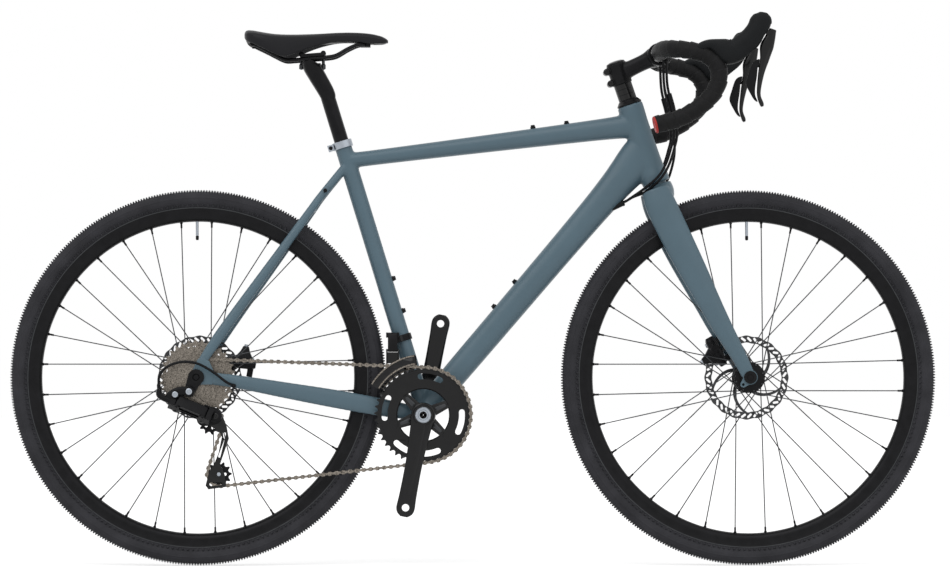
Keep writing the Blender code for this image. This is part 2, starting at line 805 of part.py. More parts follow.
def wheel_ring(name, profile, axle):
    """A ring turned about an axle, with one flat facet facing down."""
    start = Matrix.Rotation(math.pi / WHEEL_STEPS, 3, "Y") @ -Z_AXIS
    return turned(name, profile, WHEEL_STEPS, axle, Y_AXIS, start, closed=True)


def build_tyre(name, axle, body):
    """A tyre section with rounded shoulders, sized so that its lowest facet touches the ground."""
    tread = TYRE_RADIUS / math.cos(math.pi / WHEEL_STEPS)
    half = TYRE_WIDTH / 2
    seat_radius = RIM_EDGE_RADIUS + 0.0006
    right = [
        (tread - 0.0002, TREAD_HALF),
        (tread - 0.0055, TYRE_SHOULDER),
        (tread - 0.0190, half),
        (seat_radius, RIM_WIDTH / 2 - 0.0002),
    ]
    left = [(radius, -y) for radius, y in reversed(right)]
    profile = [(tread, TREAD_HALF)] + right[1:] + left[:-1] + [(tread, -TREAD_HALF)]
    node(wheel_ring(name, profile, axle), name, "tyre", body)


def build_rim(name, axle, body):
    """A box-section rim with its tyre valve."""
    half = RIM_WIDTH / 2
    profile = [
        (RIM_EDGE_RADIUS, half),
        (RIM_INNER_RADIUS + 0.0075, half - 0.0008),
        (RIM_INNER_RADIUS, 0.0040),
        (RIM_INNER_RADIUS, -0.0040),
        (RIM_INNER_RADIUS + 0.0075, -half + 0.0008),
        (RIM_EDGE_RADIUS, -half),
    ]
    ring = wheel_ring("ring", profile, axle)
    up = Vector((math.sin(SPOKE_PHASE * 0.1), 0, math.cos(SPOKE_PHASE * 0.1)))
    stem = cylinder("valve", axle + up * (RIM_INNER_RADIUS - 0.033), axle + up * (RIM_INNER_RADIUS + 0.004), 0.0028, 6)
    node(join(ring, stem), name, "black_alloy", body)


def spokes(axle, right_flange, left_flange):
    """The spokes, laced three times crossed: every fourth one repeats."""
    reach = RIM_INNER_RADIUS * math.cos(math.pi / WHEEL_STEPS) - GAP
    bars = []
    for i in range(SPOKE_COUNT):
        rim_angle = SPOKE_PHASE - 2 * math.pi * i / SPOKE_COUNT
        left = i % 2
        lean = 1 if i % 4 < 2 else -1
        flange = left_flange if left else right_flange
        outward = 1 if left else -1
        hub_angle = rim_angle - lean * SPOKE_CROSS
        hub_y = flange + outward * lean * SPOKE_OFFSET
        rim_y = outward * 0.0015
        spoke_way = Vector((math.cos(hub_angle), 0, math.sin(hub_angle)))
        begin = axle + spoke_way * FLANGE_HOLE_RADIUS + Y_AXIS * hub_y
        end = axle + Vector((reach * math.cos(rim_angle), rim_y, reach * math.sin(rim_angle)))
        bars.append(cylinder("spoke", begin, end, SPOKE_RADIUS, 3))
    return together("spokes", bars)


def build_hub(name, axle, body, right_flange, left_flange, right_end, left_end, disc_y):
    """A hub shell with two spoke flanges, a seat for the disc and a bore for the axle."""
    half = FLANGE_THICKNESS / 2
    profile = [
        (0.0100, left_end),
        (0.0100, disc_y + 0.003),
        (0.0165, disc_y + 0.003),
        (0.0165, left_flange + half + 0.0015),
        (FLANGE_RADIUS, left_flange + half),
        (FLANGE_RADIUS, left_flange - half),
        (0.0165, left_flange - half - 0.002),
        (0.0140, (left_flange + right_flange) / 2),
        (0.0165, right_flange + half + 0.002),
        (FLANGE_RADIUS, right_flange + half),
        (FLANGE_RADIUS, right_flange - half),
        (0.0165, right_flange - half - 0.0012),
        (0.0110, right_end),
        (HUB_BORE, right_end),
        (HUB_BORE, left_end),
    ]
    shell = turned("shell", profile, HUB_SIDES, axle, Y_AXIS, X_AXIS, closed=True)
    node(join(shell, spokes(axle, right_flange, left_flange)), name, "spoke_steel", body)


def build_rotor(name, axle, body, y):
    """A disc rotor: a pierced brake band on five swept arms."""
    arms = 5
    loops = [circle(ROTOR_RADIUS, 32)]
    for k in range(arms):
        middle = 2 * math.pi * (k + 0.5) / arms
        half_turn = math.pi / arms
        outer = arc(0.0635, middle - half_turn * 0.80, middle + half_turn * 0.80, 5)
        inner = arc(0.0290, middle + half_turn * 0.95, middle + half_turn * 0.05, 2)
        loops.append(outer + inner)
    loops.append(circle(0.0172, 12))
    disc = side_plate(name, loops, y - ROTOR_THICKNESS / 2, y + ROTOR_THICKNESS / 2, (axle.x, axle.z))
    node(disc, name, "silver", body)


def build_wheels():
    for name, axle in (("front", FRONT_AXLE), ("rear", REAR_AXLE)):
        body = name + "_wheel"
        build_tyre(name + "_tyre", axle, body)
        build_rim(name + "_rim", axle, body)
    edge = 0.0003
    build_hub(
        "front_hub_spokes", FRONT_AXLE, "front_wheel", -0.0345, 0.0225,
        -FRONT_HUB_HALF + edge, FRONT_HUB_HALF - edge, FRONT_ROTOR_Y,
    )
    build_hub(
        "rear_hub_spokes", REAR_AXLE, "rear_wheel", -0.0205, 0.0340,
        OUTER_COG_Y + COG_SPACING * (len(COG_TEETH) - 1) + 0.0015, REAR_HUB_HALF - edge, REAR_ROTOR_Y,
    )
    build_rotor("front_rotor", FRONT_AXLE, "front_wheel", FRONT_ROTOR_Y)
    build_rotor("rear_rotor", REAR_AXLE, "rear_wheel", REAR_ROTOR_Y)


# Chain line

class Turn:
    """A sprocket that the chain runs over, seen from the right: way 1 is clockwise."""

    def __init__(self, name, centre, teeth, way, y):
        self.name = name
        self.centre = np.array(centre)
        self.teeth = teeth
        self.radius = pitch_radius(teeth)
        self.way = way
        self.y = y


def tension_place(angle):
    """Where the lower pulley is when the line between the pulleys points this way."""
    x, z = GUIDE_PULLEY_CENTRE
    return (x + PULLEY_DISTANCE * math.cos(angle), z + PULLEY_DISTANCE * math.sin(angle))


def chain_turns(cage_angle):
    """The four sprockets in the order that the chain meets them, from the chainring."""
    return [
        Turn("ring", (BRACKET.x, BRACKET.z), RING_TEETH, 1, RING_Y),
        Turn("tension", tension_place(cage_angle), PULLEY_TEETH, 1, COG_Y),
        Turn("guide", GUIDE_PULLEY_CENTRE, PULLEY_TEETH, -1, COG_Y),
        Turn("cog", (REAR_AXLE.x, REAR_AXLE.z), COG_IN_USE, 1, COG_Y),
    ]


def tangent_angle(first, second):
    """The direction of the straight run that leaves one sprocket and meets the next."""
    gap = second.centre - first.centre
    reach = math.hypot(*gap)
    shift = (first.way * first.radius - second.way * second.radius) / reach
    return math.atan2(gap[1], gap[0]) - math.asin(shift)


def chain_pieces(cage_angle):
    """The chain's path as straight runs and turns, each with its length."""
    turns = chain_turns(cage_angle)
    count = len(turns)
    angles = [tangent_angle(turns[i], turns[(i + 1) % count]) for i in range(count)]
    pieces = []
    for i, here in enumerate(turns):
        there = turns[(i + 1) % count]
        incoming = angles[i - 1]
        outgoing = angles[i]
        swept = (here.way * (incoming - outgoing)) % (2 * math.pi)
        pieces.append(("turn", here, incoming, swept, swept * PITCH * here.teeth / (2 * math.pi)))
        normal = np.array([-math.sin(outgoing), math.cos(outgoing)])
        begin = here.centre + here.way * here.radius * normal
        end = there.centre + there.way * there.radius * normal
        pieces.append(("run", (begin, here.y), (end, there.y), None, math.hypot(*(end - begin))))
    return pieces


def chain_point(pieces, distance):
    """The place on the path at a distance: x, z, y and the sprocket under it, if any."""
    for kind, first, second, swept, length in pieces:
        if distance > length:
            distance -= length
            continue
        share = distance / length
        if kind == "run":
            (begin, begin_y), (end, end_y) = first, second
            place = begin + (end - begin) * share
            return place[0], place[1], begin_y + (end_y - begin_y) * share, None
        angle = second + first.way * (math.pi / 2 - swept * share)
        place = first.centre + first.radius * np.array([math.cos(angle), math.sin(angle)])
        return place[0], place[1], first.y, first
    raise ValueError("the distance is past the end of the chain")


def chain_length(cage_angle):
    return sum(piece[4] for piece in chain_pieces(cage_angle))


def taut_cage_angle():
    """Swings the cage until a whole, even number of links fills the path."""
    links = 2 * round(chain_length(math.radians(-82)) / (2 * PITCH))
    back = math.radians(-130)
    forward = math.radians(-45)
    for _ in range(50):
        middle = (back + forward) / 2
        if chain_length(middle) > links * PITCH:
            back = middle
        else:
            forward = middle
    return middle, links


CAGE_ANGLE, CHAIN_LINKS = taut_cage_angle()
TENSION_PULLEY_CENTRE = tension_place(CAGE_ANGLE)


def rollers():
    """The centre of every roller, and the sprocket that it lies on."""
    pieces = chain_pieces(CAGE_ANGLE)
    step = chain_length(CAGE_ANGLE) / CHAIN_LINKS
    return [chain_point(pieces, step * (i + 0.5)) for i in range(CHAIN_LINKS)]


ROLLERS = rollers()


def valley_angle(name):
    """The angle at which a roller lies in a sprocket, so that its teeth stand between the rollers."""
    on_it = [(x, z, turn) for x, z, _, turn in ROLLERS if turn is not None and turn.name == name]
    x, z, turn = on_it[len(on_it) // 2]
    return math.atan2(z - turn.centre[1], x - turn.centre[0])


def tooth_outline(teeth, phase):
    """A sprocket's outline: a flat valley under each roller and a tapered tooth between."""
    pitch = pitch_radius(teeth)
    root = pitch - TOOTH_ROOT
    tip = pitch + TOOTH_TIP
    step = 2 * math.pi / teeth
    valley_half = (ROLLER_HALF + GAP) / root
    points = []
    for k in range(teeth):
        valley = phase + k * step
        points.append((root, valley - valley_half))
        points.append((root, valley + valley_half))
        points.append((tip, valley + step / 2))
    return [(radius * math.cos(angle), radius * math.sin(angle)) for radius, angle in points]


def plain_teeth(teeth):
    """A sprocket's outline with pointed teeth, for one that the chain isn't on."""
    pitch = pitch_radius(teeth)
    points = []
    for k in range(2 * teeth):
        radius = pitch + (TOOTH_TIP if k % 2 else -TOOTH_ROOT * 0.75)
        angle = math.pi * k / teeth
        points.append((radius * math.cos(angle), radius * math.sin(angle)))
    return points


def tooth_reaches(turn, middle):
    """Whether the teeth of a sprocket come up to the link whose middle this is."""
    tip = turn.radius + TOOTH_TIP + GAP
    return math.hypot(*(middle - turn.centre)) - CHAIN_HALF_HEIGHT < tip


def build_chain():
    """Wide and narrow links in turn, opened between the rollers where teeth come through."""
    places = [np.array([x, y, z]) for x, z, y, _ in ROLLERS]
    turns = chain_turns(CAGE_ANGLE)
    count = len(places)
    rings = []
    slots = []
    for k in range(count):
        here = places[k]
        there = places[(k + 1) % count]
        along = (there - here) / np.linalg.norm(there - here)
        up = np.cross(along, (0, 1, 0))
        up /= np.linalg.norm(up)
        side = np.cross(up, along)
        wide = k % 2 == 0
        begin, end = (here - along * LINK_END, there + along * LINK_END)
        if not wide:
            begin, end = (here + along * (LINK_END + 0.0001), there - along * (LINK_END + 0.0001))
        half = OUTER_LINK_HALF if wide else INNER_LINK_HALF
        corners = [(1, 1), (1, -1), (-1, -1), (-1, 1)]
        for place in (begin, end):
            rings.append([place + side * half * a + up * CHAIN_HALF_HEIGHT * b for a, b in corners])
        middle = ((here + there) / 2)[[0, 2]]
        if any(tooth_reaches(turn, middle) for turn in turns):
            length = np.linalg.norm(there - here) - 2 * ROLLER_HALF
            size = (length, 2 * SLOT_HALF, 0.012)
            slots.append(block("slot", Vector((here + there) / 2), size, (Vector(up), Vector(along))))
    bar = loft("chain", rings, looped=True)
    node(cut(bar, together("slots", slots)), "chain", "chain_steel")


def build_chainrings():
    """The two chainrings, with bent windows between their fixing tabs."""
    centre = (BRACKET.x, BRACKET.z)
    half = RING_THICKNESS / 2
    windows = [
        sector(0.0665, 0.0775, CRANK_ANGLE + math.radians(turn), math.radians(spread), 3)
        for turn, spread in ((180, 15), (90, 15), (-90, 15), (23, 10), (-23, 10))
    ]
    loops = [tooth_outline(RING_TEETH, valley_angle("ring"))] + windows + [circle(0.0500, 16)]
    large = side_plate("large", loops, RING_Y - half, RING_Y + half, centre)
    node(large, "chainring_large", "black_alloy", "crank")
    loops = [plain_teeth(SMALL_RING_TEETH), circle(0.0480, 16)]
    small = side_plate("small", loops, SMALL_RING_Y - half, SMALL_RING_Y + half, centre)
    node(small, "chainring_small", "black_alloy", "crank")


CRANK_INNER = BRACKET_HALF + CUP_HEIGHT + 2 * GAP


def crank_arm(side, way):
    """A tapered arm from the spindle to the pedal hole, rounded at its end."""
    centre = BRACKET
    across = way.cross(Y_AXIS)
    stations = [
        (-0.0215, 0.0090, 0.0655, 0.0085),
        (-0.0140, 0.0185, 0.0655, 0.0095),
        (0.0, 0.0222, 0.0655, 0.0098),
        (0.028, 0.0195, 0.0665, 0.0094),
        (0.090, 0.0160, 0.0680, 0.0078),
        (0.150, 0.0162, 0.0687, 0.0066),
        (0.176, 0.0172, 0.0690, 0.0063),
        (0.1865, 0.0135, 0.0690, 0.0063),
        (0.1920, 0.0065, 0.0690, 0.0062),
    ]
    rings = []
    for distance, half, y, thick in stations:
        oval = superellipse(half, thick, 8, 4.0, math.pi / 8)
        foot = centre + way * distance * CRANK_LENGTH / 0.175 + Y_AXIS * side * y
        rings.append([foot + across * a + Y_AXIS * b for a, b in oval])
    return loft("arm", rings)


def pedal_hole(side, way):
    middle = BRACKET + way * CRANK_LENGTH + Y_AXIS * side * 0.069
    return cylinder("pedal_hole", middle - Y_AXIS * 0.02, middle + Y_AXIS * 0.02, 0.0070, 10)


def spider():
    """Four arms that reach the chainrings' fixing circle."""
    points = []
    for turn in (-125, -58, 58, 125):
        middle = CRANK_ANGLE + math.radians(turn)
        points.append((middle - math.radians(20), 0.0215))
        foot = math.radians(8.5)
        tip = math.radians(5.5)
        points += [(middle - foot, BOLT_CIRCLE - 0.004), (middle - tip, BOLT_CIRCLE + 0.0055)]
        points += [(middle + tip, BOLT_CIRCLE + 0.0055), (middle + foot, BOLT_CIRCLE - 0.004)]
        points.append((middle + math.radians(20), 0.0215))
    outline = [(radius * math.cos(angle), radius * math.sin(angle)) for angle, radius in points]
    low = RING_Y + RING_THICKNESS / 2 + GAP
    high = SMALL_RING_Y - RING_THICKNESS / 2 - GAP
    return side_plate("spider", [outline], low, high, (BRACKET.x, BRACKET.z))


def build_cranks():
    """The right arm with its spider and spindle, and the left arm that clamps on the spindle."""
    boss = cylinder("boss", BRACKET - Y_AXIS * CRANK_INNER, BRACKET - Y_AXIS * 0.0600, 0.0232, 12)
    cap = cylinder("cap", BRACKET - Y_AXIS * 0.0740, BRACKET - Y_AXIS * 0.0770, 0.0150, 12)
    spindle = cylinder("spindle", BRACKET - Y_AXIS * 0.0600, BRACKET + Y_AXIS * 0.0770, SPINDLE_RADIUS, 12)
    right = join(crank_arm(-1, CRANK_WAY), boss, spider(), cap, spindle)
    node(cut(right, pedal_hole(-1, CRANK_WAY)), "crank_right", "black_alloy", "crank")
    left_way = -CRANK_WAY
    boss = cylinder("boss", BRACKET + Y_AXIS * CRANK_INNER, BRACKET + Y_AXIS * 0.0600, 0.0200, 12)
    left = join(crank_arm(1, left_way), boss)
    bore = cylinder("bore", BRACKET + Y_AXIS * 0.030, BRACKET + Y_AXIS * 0.090, SPINDLE_RADIUS + GAP, 12)
    node(cut(left, pedal_hole(1, left_way), bore), "crank_left", "black_alloy", "crank")


def build_cassette():
    """Ten sprockets stepped down towards the outside on one carrier, with a bore for the axle."""
    plates = []
    for k, teeth in enumerate(COG_TEETH):
        y = OUTER_COG_Y + COG_SPACING * k
        if teeth == COG_IN_USE:
            outline = tooth_outline(teeth, valley_angle("cog"))
        else:
            outline = circle(pitch_radius(teeth) + TOOTH_TIP * 0.5, 8 + teeth // 3)
        half = COG_THICKNESS / 2
        plates.append(side_plate("cog", [outline], y - half, y + half, (REAR_AXLE.x, REAR_AXLE.z)))
    inner = OUTER_COG_Y + COG_SPACING * (len(COG_TEETH) - 1) + 0.0011
    profile = [
        (0.0165, inner),
        (0.0165, OUTER_COG_Y - 0.0012),
        (0.0120, OUTER_COG_Y - 0.0036),
        (0.0120, -REAR_HUB_HALF + 0.0004),
        (HUB_BORE, -REAR_HUB_HALF + 0.0004),
        (HUB_BORE, inner),
    ]
    carrier = turned("carrier", profile, 12, REAR_AXLE, Y_AXIS, X_AXIS, closed=True)
    bore = cylinder("bore", REAR_AXLE - Y_AXIS * 0.10, REAR_AXLE, HUB_BORE, 12, start=X_AXIS)
    solid = join(carrier, together("cogs", plates))
    node(cut(solid, bore), "cassette", "chain_steel", "cassette")


# Rear derailleur

HANGER_THICKNESS = 0.005
HANGER_BOLT = REAR_AXLE + Vector((-0.0124, 0, -0.0265))
RD_ANCHOR = REAR_AXLE + Vector((-0.0330, -0.0860, -0.0480))
RD_LINK_LENGTH = 0.052
RD_LINK_SPREAD = 0.008
RD_LINK_WAY = Vector((0.923, 0, -0.385)).normalized()
RD_MOVE = Vector((-0.175, 0.8905, -0.42))
RD_MOVE = (RD_MOVE - RD_LINK_WAY * RD_MOVE.dot(RD_LINK_WAY)).normalized()
RD_AXIS = RD_LINK_WAY.cross(RD_MOVE).normalized()
LINK_HALF_HEIGHT = 0.010
LINK_END_RADIUS = 0.0043
EAR_THICKNESS = 0.0028
EAR_RADIUS = 0.0062
WEB_OFFSET = 0.0100
PIN_RADIUS = 0.0020
PIN_BORE = 0.0026


def rd_point(along, move, height=0.0):
    """A point in the derailleur's own directions: along its links, across them and up their pins."""
    return RD_ANCHOR + RD_LINK_WAY * along + RD_MOVE * move + RD_AXIS * height


def rd_plate(name, loops, low, high):
    """A plate square to the link pins."""
    return plate(name, loops, high - low, rd_point(0, 0, (low + high) / 2), RD_AXIS, RD_LINK_WAY)


def build_hanger():
    """The bolted-on piece that the derailleur hangs from, round the end of the axle."""
    bolt = (HANGER_BOLT.x - REAR_AXLE.x, HANGER_BOLT.z - REAR_AXLE.z)
    outline = arc(0.0150, math.radians(-25), math.radians(165), 9) + [(-0.019, -0.014)]
    outline += arc(0.0095, math.radians(170), math.radians(335), 5, bolt)
    outline += [(0.006, -0.0155)]
    low = -REAR_HUB_HALF - DROPOUT_THICKNESS - GAP - HANGER_THICKNESS
    loops = [outline, circle(HUB_BORE, 10), circle(0.0033, 8, bolt)]
    made = side_plate("hanger", loops, low, low + HANGER_THICKNESS, (REAR_AXLE.x, REAR_AXLE.z))
    node(made, "derailleur_hanger", "black_alloy")


def ears(name, along):
    """Two ears above and below both links, with their pins."""
    reach = LINK_HALF_HEIGHT + GAP
    outline = [(along + y, x - RD_LINK_SPREAD) for x, y in capsule(2 * RD_LINK_SPREAD, EAR_RADIUS, 4)]
    pieces = [
        rd_plate(name, [outline], reach, reach + EAR_THICKNESS),
        rd_plate(name, [outline], -reach - EAR_THICKNESS, -reach),
    ]
    for side in (-1, 1):
        low = rd_point(along, side * RD_LINK_SPREAD, -reach - 0.001)
        high = rd_point(along, side * RD_LINK_SPREAD, reach + 0.001)
        pieces.append(cylinder("pin", low, high, PIN_RADIUS, 6, start=RD_LINK_WAY))
    return pieces


HOUSING_STOP = REAR_AXLE + Vector((-0.0677, -0.0930, -0.0220))
HOUSING_STOP_WAY = Vector((-0.08, -0.03, 1.0)).normalized()


def link_room(begin, end):
    """The space that both links need between the ears, for any position of the links."""
    height = 2 * (LINK_HALF_HEIGHT + 2 * GAP)
    return block("room", rd_point((begin + end) / 2, 0), (end - begin, 0.060, height), (RD_AXIS, RD_LINK_WAY))


def build_rd_knuckles():
    """The knuckle that bolts to the hanger, and the one that carries the cage."""
    reach = LINK_HALF_HEIGHT + GAP
    web_size = (0.0100, 0.0200, 2 * (reach + EAR_THICKNESS - 0.0004))
    pin_room = LINK_END_RADIUS + GAP
    face = -REAR_HUB_HALF - DROPOUT_THICKNESS - 2 * GAP - HANGER_THICKNESS
    bolt = Vector((HANGER_BOLT.x, face, HANGER_BOLT.z))
    head = cylinder("head", bolt, bolt - Y_AXIS * 0.0130, 0.0105, 10)
    shank = cylinder("shank", bolt - Y_AXIS * 0.004, bolt + Y_AXIS * 0.0045, 0.0028, 8)
    back = RD_ANCHOR - RD_LINK_WAY * WEB_OFFSET
    web = block("web", back, web_size, (RD_AXIS, RD_LINK_WAY))
    arm_stations = [
        (bolt + Vector((0.0, -0.0065, 0.0)), 0.0080, 0.0055),
        (bolt + Vector((-0.0180, -0.0065, 0.0005)), 0.0085, 0.0055),
        (back + Vector((-0.0050, -0.0040, 0.0080)), 0.0090, 0.0060),
        (back + Vector((-0.0040, -0.0010, -0.0020)), 0.0070, 0.0060),
    ]
    arm = loft("arm", tube_rings(arm_stations, Y_AXIS, 8, 3.0))
    stop_stations = [
        (back + Vector((-0.004, -0.004, 0.0)), 0.0060, 0.0060),
        (HOUSING_STOP - HOUSING_STOP_WAY * 0.0120, 0.0052, 0.0052),
        (HOUSING_STOP, 0.0042, 0.0042),
    ]
    stop = loft("stop", tube_rings(stop_stations, Y_AXIS, 8))
    fixed = cut(join(web, head, shank, arm, stop), link_room(-pin_room, 0.070))
    node(join(fixed, *ears("ear", 0.0)), "rd_b_knuckle", "black_plastic")
    front = RD_ANCHOR + RD_LINK_WAY * (RD_LINK_LENGTH + WEB_OFFSET)
    web = block("web", front, web_size, (RD_AXIS, RD_LINK_WAY))
    hub_low = Vector((CAGE_PIVOT[0], cage_outer_y() - GAP, CAGE_PIVOT[1]))
    hub = cylinder("hub", hub_low, hub_low - Y_AXIS * 0.0210, 0.0120, 12)
    bore = cylinder("bore", hub_low + Y_AXIS * 0.01, hub_low - Y_AXIS * 0.014, 0.0043, 10)
    carried = cut(join(web, hub), bore, link_room(-0.02, RD_LINK_LENGTH + pin_room))
    node(join(carried, *ears("ear", RD_LINK_LENGTH)), "rd_p_knuckle", "black_plastic", "rd_p_knuckle")


def build_rd_links():
    """The outer and inner links, which swing the cage across the cassette."""
    for side, name in ((-1, "rd_outer_link"), (1, "rd_inner_link")):
        shift = side * RD_LINK_SPREAD
        outline = [(x, y + shift) for x, y in capsule(RD_LINK_LENGTH, LINK_END_RADIUS, 5)]
        holes = [circle(PIN_BORE, 6, (0, shift)), circle(PIN_BORE, 6, (RD_LINK_LENGTH, shift))]
        link = rd_plate(name, [outline] + holes, -LINK_HALF_HEIGHT, LINK_HALF_HEIGHT)
        node(link, name, "black_plastic", name)


CAGE_THICKNESS = 0.0015
CAGE_HALF = 0.0052


def cage_outer_y():
    return COG_Y - CAGE_HALF - CAGE_THICKNESS


def cage_outline(wide):
    """A cage plate: round the pivot, down a slim bar and out to a foot under the lower pulley."""
    x, z = CAGE_PIVOT
    low_x, low_z = TENSION_PULLEY_CENTRE
    outline = arc(wide, math.radians(35), math.radians(215), 6, CAGE_PIVOT)
    outline += [(x - 0.0150, z - 0.0160), (x - 0.0030, z - 0.0230)]
    outline += [(x + 0.0080, z - 0.0320), (x + 0.0140, z - 0.0460)]
    outline += [(low_x - 0.0085, low_z + 0.0200), (low_x - 0.0180, low_z + 0.0055)]
    outline += [(low_x - 0.0247, low_z - 0.0205), (low_x - 0.0195, low_z - 0.0280)]
    outline += [(low_x + 0.0130, low_z - 0.0235), (low_x + 0.0130, low_z - 0.0125)]
    outline += [(low_x + 0.0085, low_z + 0.0060), (low_x + 0.0020, low_z + 0.0195)]
    outline += [(x + 0.0235, z - 0.0420), (x + 0.0190, z - 0.0170)]
    return outline


def build_rd_cage():
    """Two plates that hold both pulleys, on the shaft that turns in the knuckle."""
    outer = cage_outer_y()
    inner = COG_Y + CAGE_HALF
    plates = []
    for low, wide in ((outer, 0.0125), (inner, 0.0110)):
        plates.append(side_plate("plate", [cage_outline(wide)], low, low + CAGE_THICKNESS))
    for x, z in (GUIDE_PULLEY_CENTRE, TENSION_PULLEY_CENTRE):
        plates.append(cylinder("bolt", (x, outer, z), (x, inner + CAGE_THICKNESS, z), 0.0026, 6))
    pivot_x, pivot_z = CAGE_PIVOT
    shaft_begin = (pivot_x, outer + CAGE_THICKNESS / 2, pivot_z)
    plates.append(cylinder("shaft", shaft_begin, (pivot_x, outer - 0.0130, pivot_z), 0.0038, 10))
    node(join(plates[0], *plates[1:]), "rd_cage", "black_alloy", "rd_cage")


def build_pulleys():
    for name, centre in (("guide", GUIDE_PULLEY_CENTRE), ("tension", TENSION_PULLEY_CENTRE)):
        outline = tooth_outline(PULLEY_TEETH, valley_angle(name))
        loops = [outline, circle(0.0030, 8)]
        made = side_plate(name, loops, COG_Y - 0.0011, COG_Y + 0.0011, centre)
        body = "rd_" + name + "_pulley"
        node(made, body, "black_plastic", body)


# Front derailleur

FD_HEIGHT = 0.150
FD_PIVOT_Y = -0.036
FD_PIVOT_Z = BRACKET.z + 0.1490
FD_LINK_DROP = 0.028
FD_LINK_OUT = 0.004
FD_LINK_X = (BRACKET.x - 0.0660, BRACKET.x - 0.0480)


def build_front_derailleur():
    """A band on the seat tube, its bracket, one wide link and the cage round the chain."""
    low_x, high_x = FD_LINK_X
    centre_x = (low_x + high_x) / 2
    clamp = arc(SEAT_TUBE_RADIUS + 0.0028, math.radians(-80), math.radians(190), 10)
    clamp += [(-0.0245, -0.0150), (-0.0245, -0.0285), (-0.0030, -0.0285)]
    bore = circle(SEAT_TUBE_RADIUS + GAP, 12)
    band = plate("band", [clamp, bore], 0.0120, seat(FD_HEIGHT), SEAT_UP, Y_AXIS.cross(SEAT_UP))
    gap = (high_x - low_x) / 2 + GAP
    ear = 0.0030
    reach = gap + ear / 2
    fork = [
        (-gap - ear, -0.0050),
        (-gap, -0.0050),
        (-gap, 0.0070),
        (gap, 0.0070),
        (gap, -0.0050),
        (gap + ear, -0.0050),
        (gap + ear, 0.0125),
        (-gap - ear, 0.0125),
    ]
    yoke = plate("yoke", [fork], 0.0096, (centre_x, FD_PIVOT_Y, FD_PIVOT_Z), Z_AXIS, X_AXIS)
    pin_reach = reach + ear / 2 - 0.0008
    ends = [(centre_x + side * pin_reach, FD_PIVOT_Y, FD_PIVOT_Z) for side in (-1, 1)]
    pin = cylinder("pin", *ends, 0.0016, 6)
    node(join(band, yoke, pin), "fd_body", "black_alloy")
    # the link hangs from the upper pin and holds the cage's pin in its lower eye
    drop = (-FD_LINK_OUT, -FD_LINK_DROP)
    length = math.hypot(*drop)
    link_way = Vector((0, drop[0], drop[1])).normalized()
    outline = capsule(length, 0.0036, 4)
    holes = [circle(0.0021, 6), circle(0.0021, 6, (length, 0))]
    link = plate("fd_link", [outline] + holes, high_x - low_x, (centre_x, FD_PIVOT_Y, FD_PIVOT_Z), X_AXIS, link_way)
    node(link, "fd_link", "black_alloy", "fd_link")
    low_y = FD_PIVOT_Y + drop[0]
    low_z = FD_PIVOT_Z + drop[1]
    centre = (BRACKET.x, BRACKET.z)
    outer_plate = side_plate("outer", [fd_sector(0.0945, 0.1150, 98, 150)], -0.0570, -0.0558, centre)
    inner_plate = side_plate("inner", [fd_sector(0.0870, 0.1130, 97, 148)], -0.0444, -0.0432, centre)
    middle = Vector((centre[0], -0.0501, centre[1]))
    roof_angle = math.radians(107)
    tail_angle = math.radians(148)
    roof_place = middle + Vector((math.cos(roof_angle), 0, math.sin(roof_angle))) * 0.1120
    roof = block("roof", roof_place, (0.014, 0.0130, 0.0016), (Vector((-0.29, 0, 0.957)), X_AXIS))
    tail_place = middle + Vector((math.cos(tail_angle), 0, math.sin(tail_angle))) * 0.1070
    tail = block("tail", tail_place, (0.0016, 0.0130, 0.010), (Vector((-0.848, 0, 0.53)), Vector((0.53, 0, 0.848))))
    moving = [outer_plate, inner_plate, roof, tail]
    for side in (-1, 1):
        x = centre_x + side * reach
        stations = [
            (Vector((x, low_y, low_z + 0.002)), 0.0042, 0.0015),
            (Vector((x, low_y - 0.002, low_z - 0.010)), 0.0042, 0.0015),
            (Vector((x, low_y - 0.0035, low_z - 0.024)), 0.0035, 0.0015),
        ]
        moving.append(loft("cheek", tube_rings(stations, X_AXIS, 6, 3.0)))
    moving.append(cylinder("pin", (centre_x - pin_reach, low_y, low_z), (centre_x + pin_reach, low_y, low_z), 0.0016, 6))
    node(join(moving[0], *moving[1:]), "fd_cage", "silver", "fd_cage")


def fd_sector(inner, outer, begin, end):
    """The side of the cage, bent round the chainring and narrower at its tail."""
    first = math.radians(begin)
    last = math.radians(end)
    return arc(inner, first, last, 7) + arc(outer, last, first, 7)


# Brakes

CALIPER_HALF_WIDTH = 0.0145
CALIPER_PARTS = ((-0.50, 0.62), (-0.36, 0.95), (-0.05, 1.0), (0.30, 0.86), (0.50, 0.58))


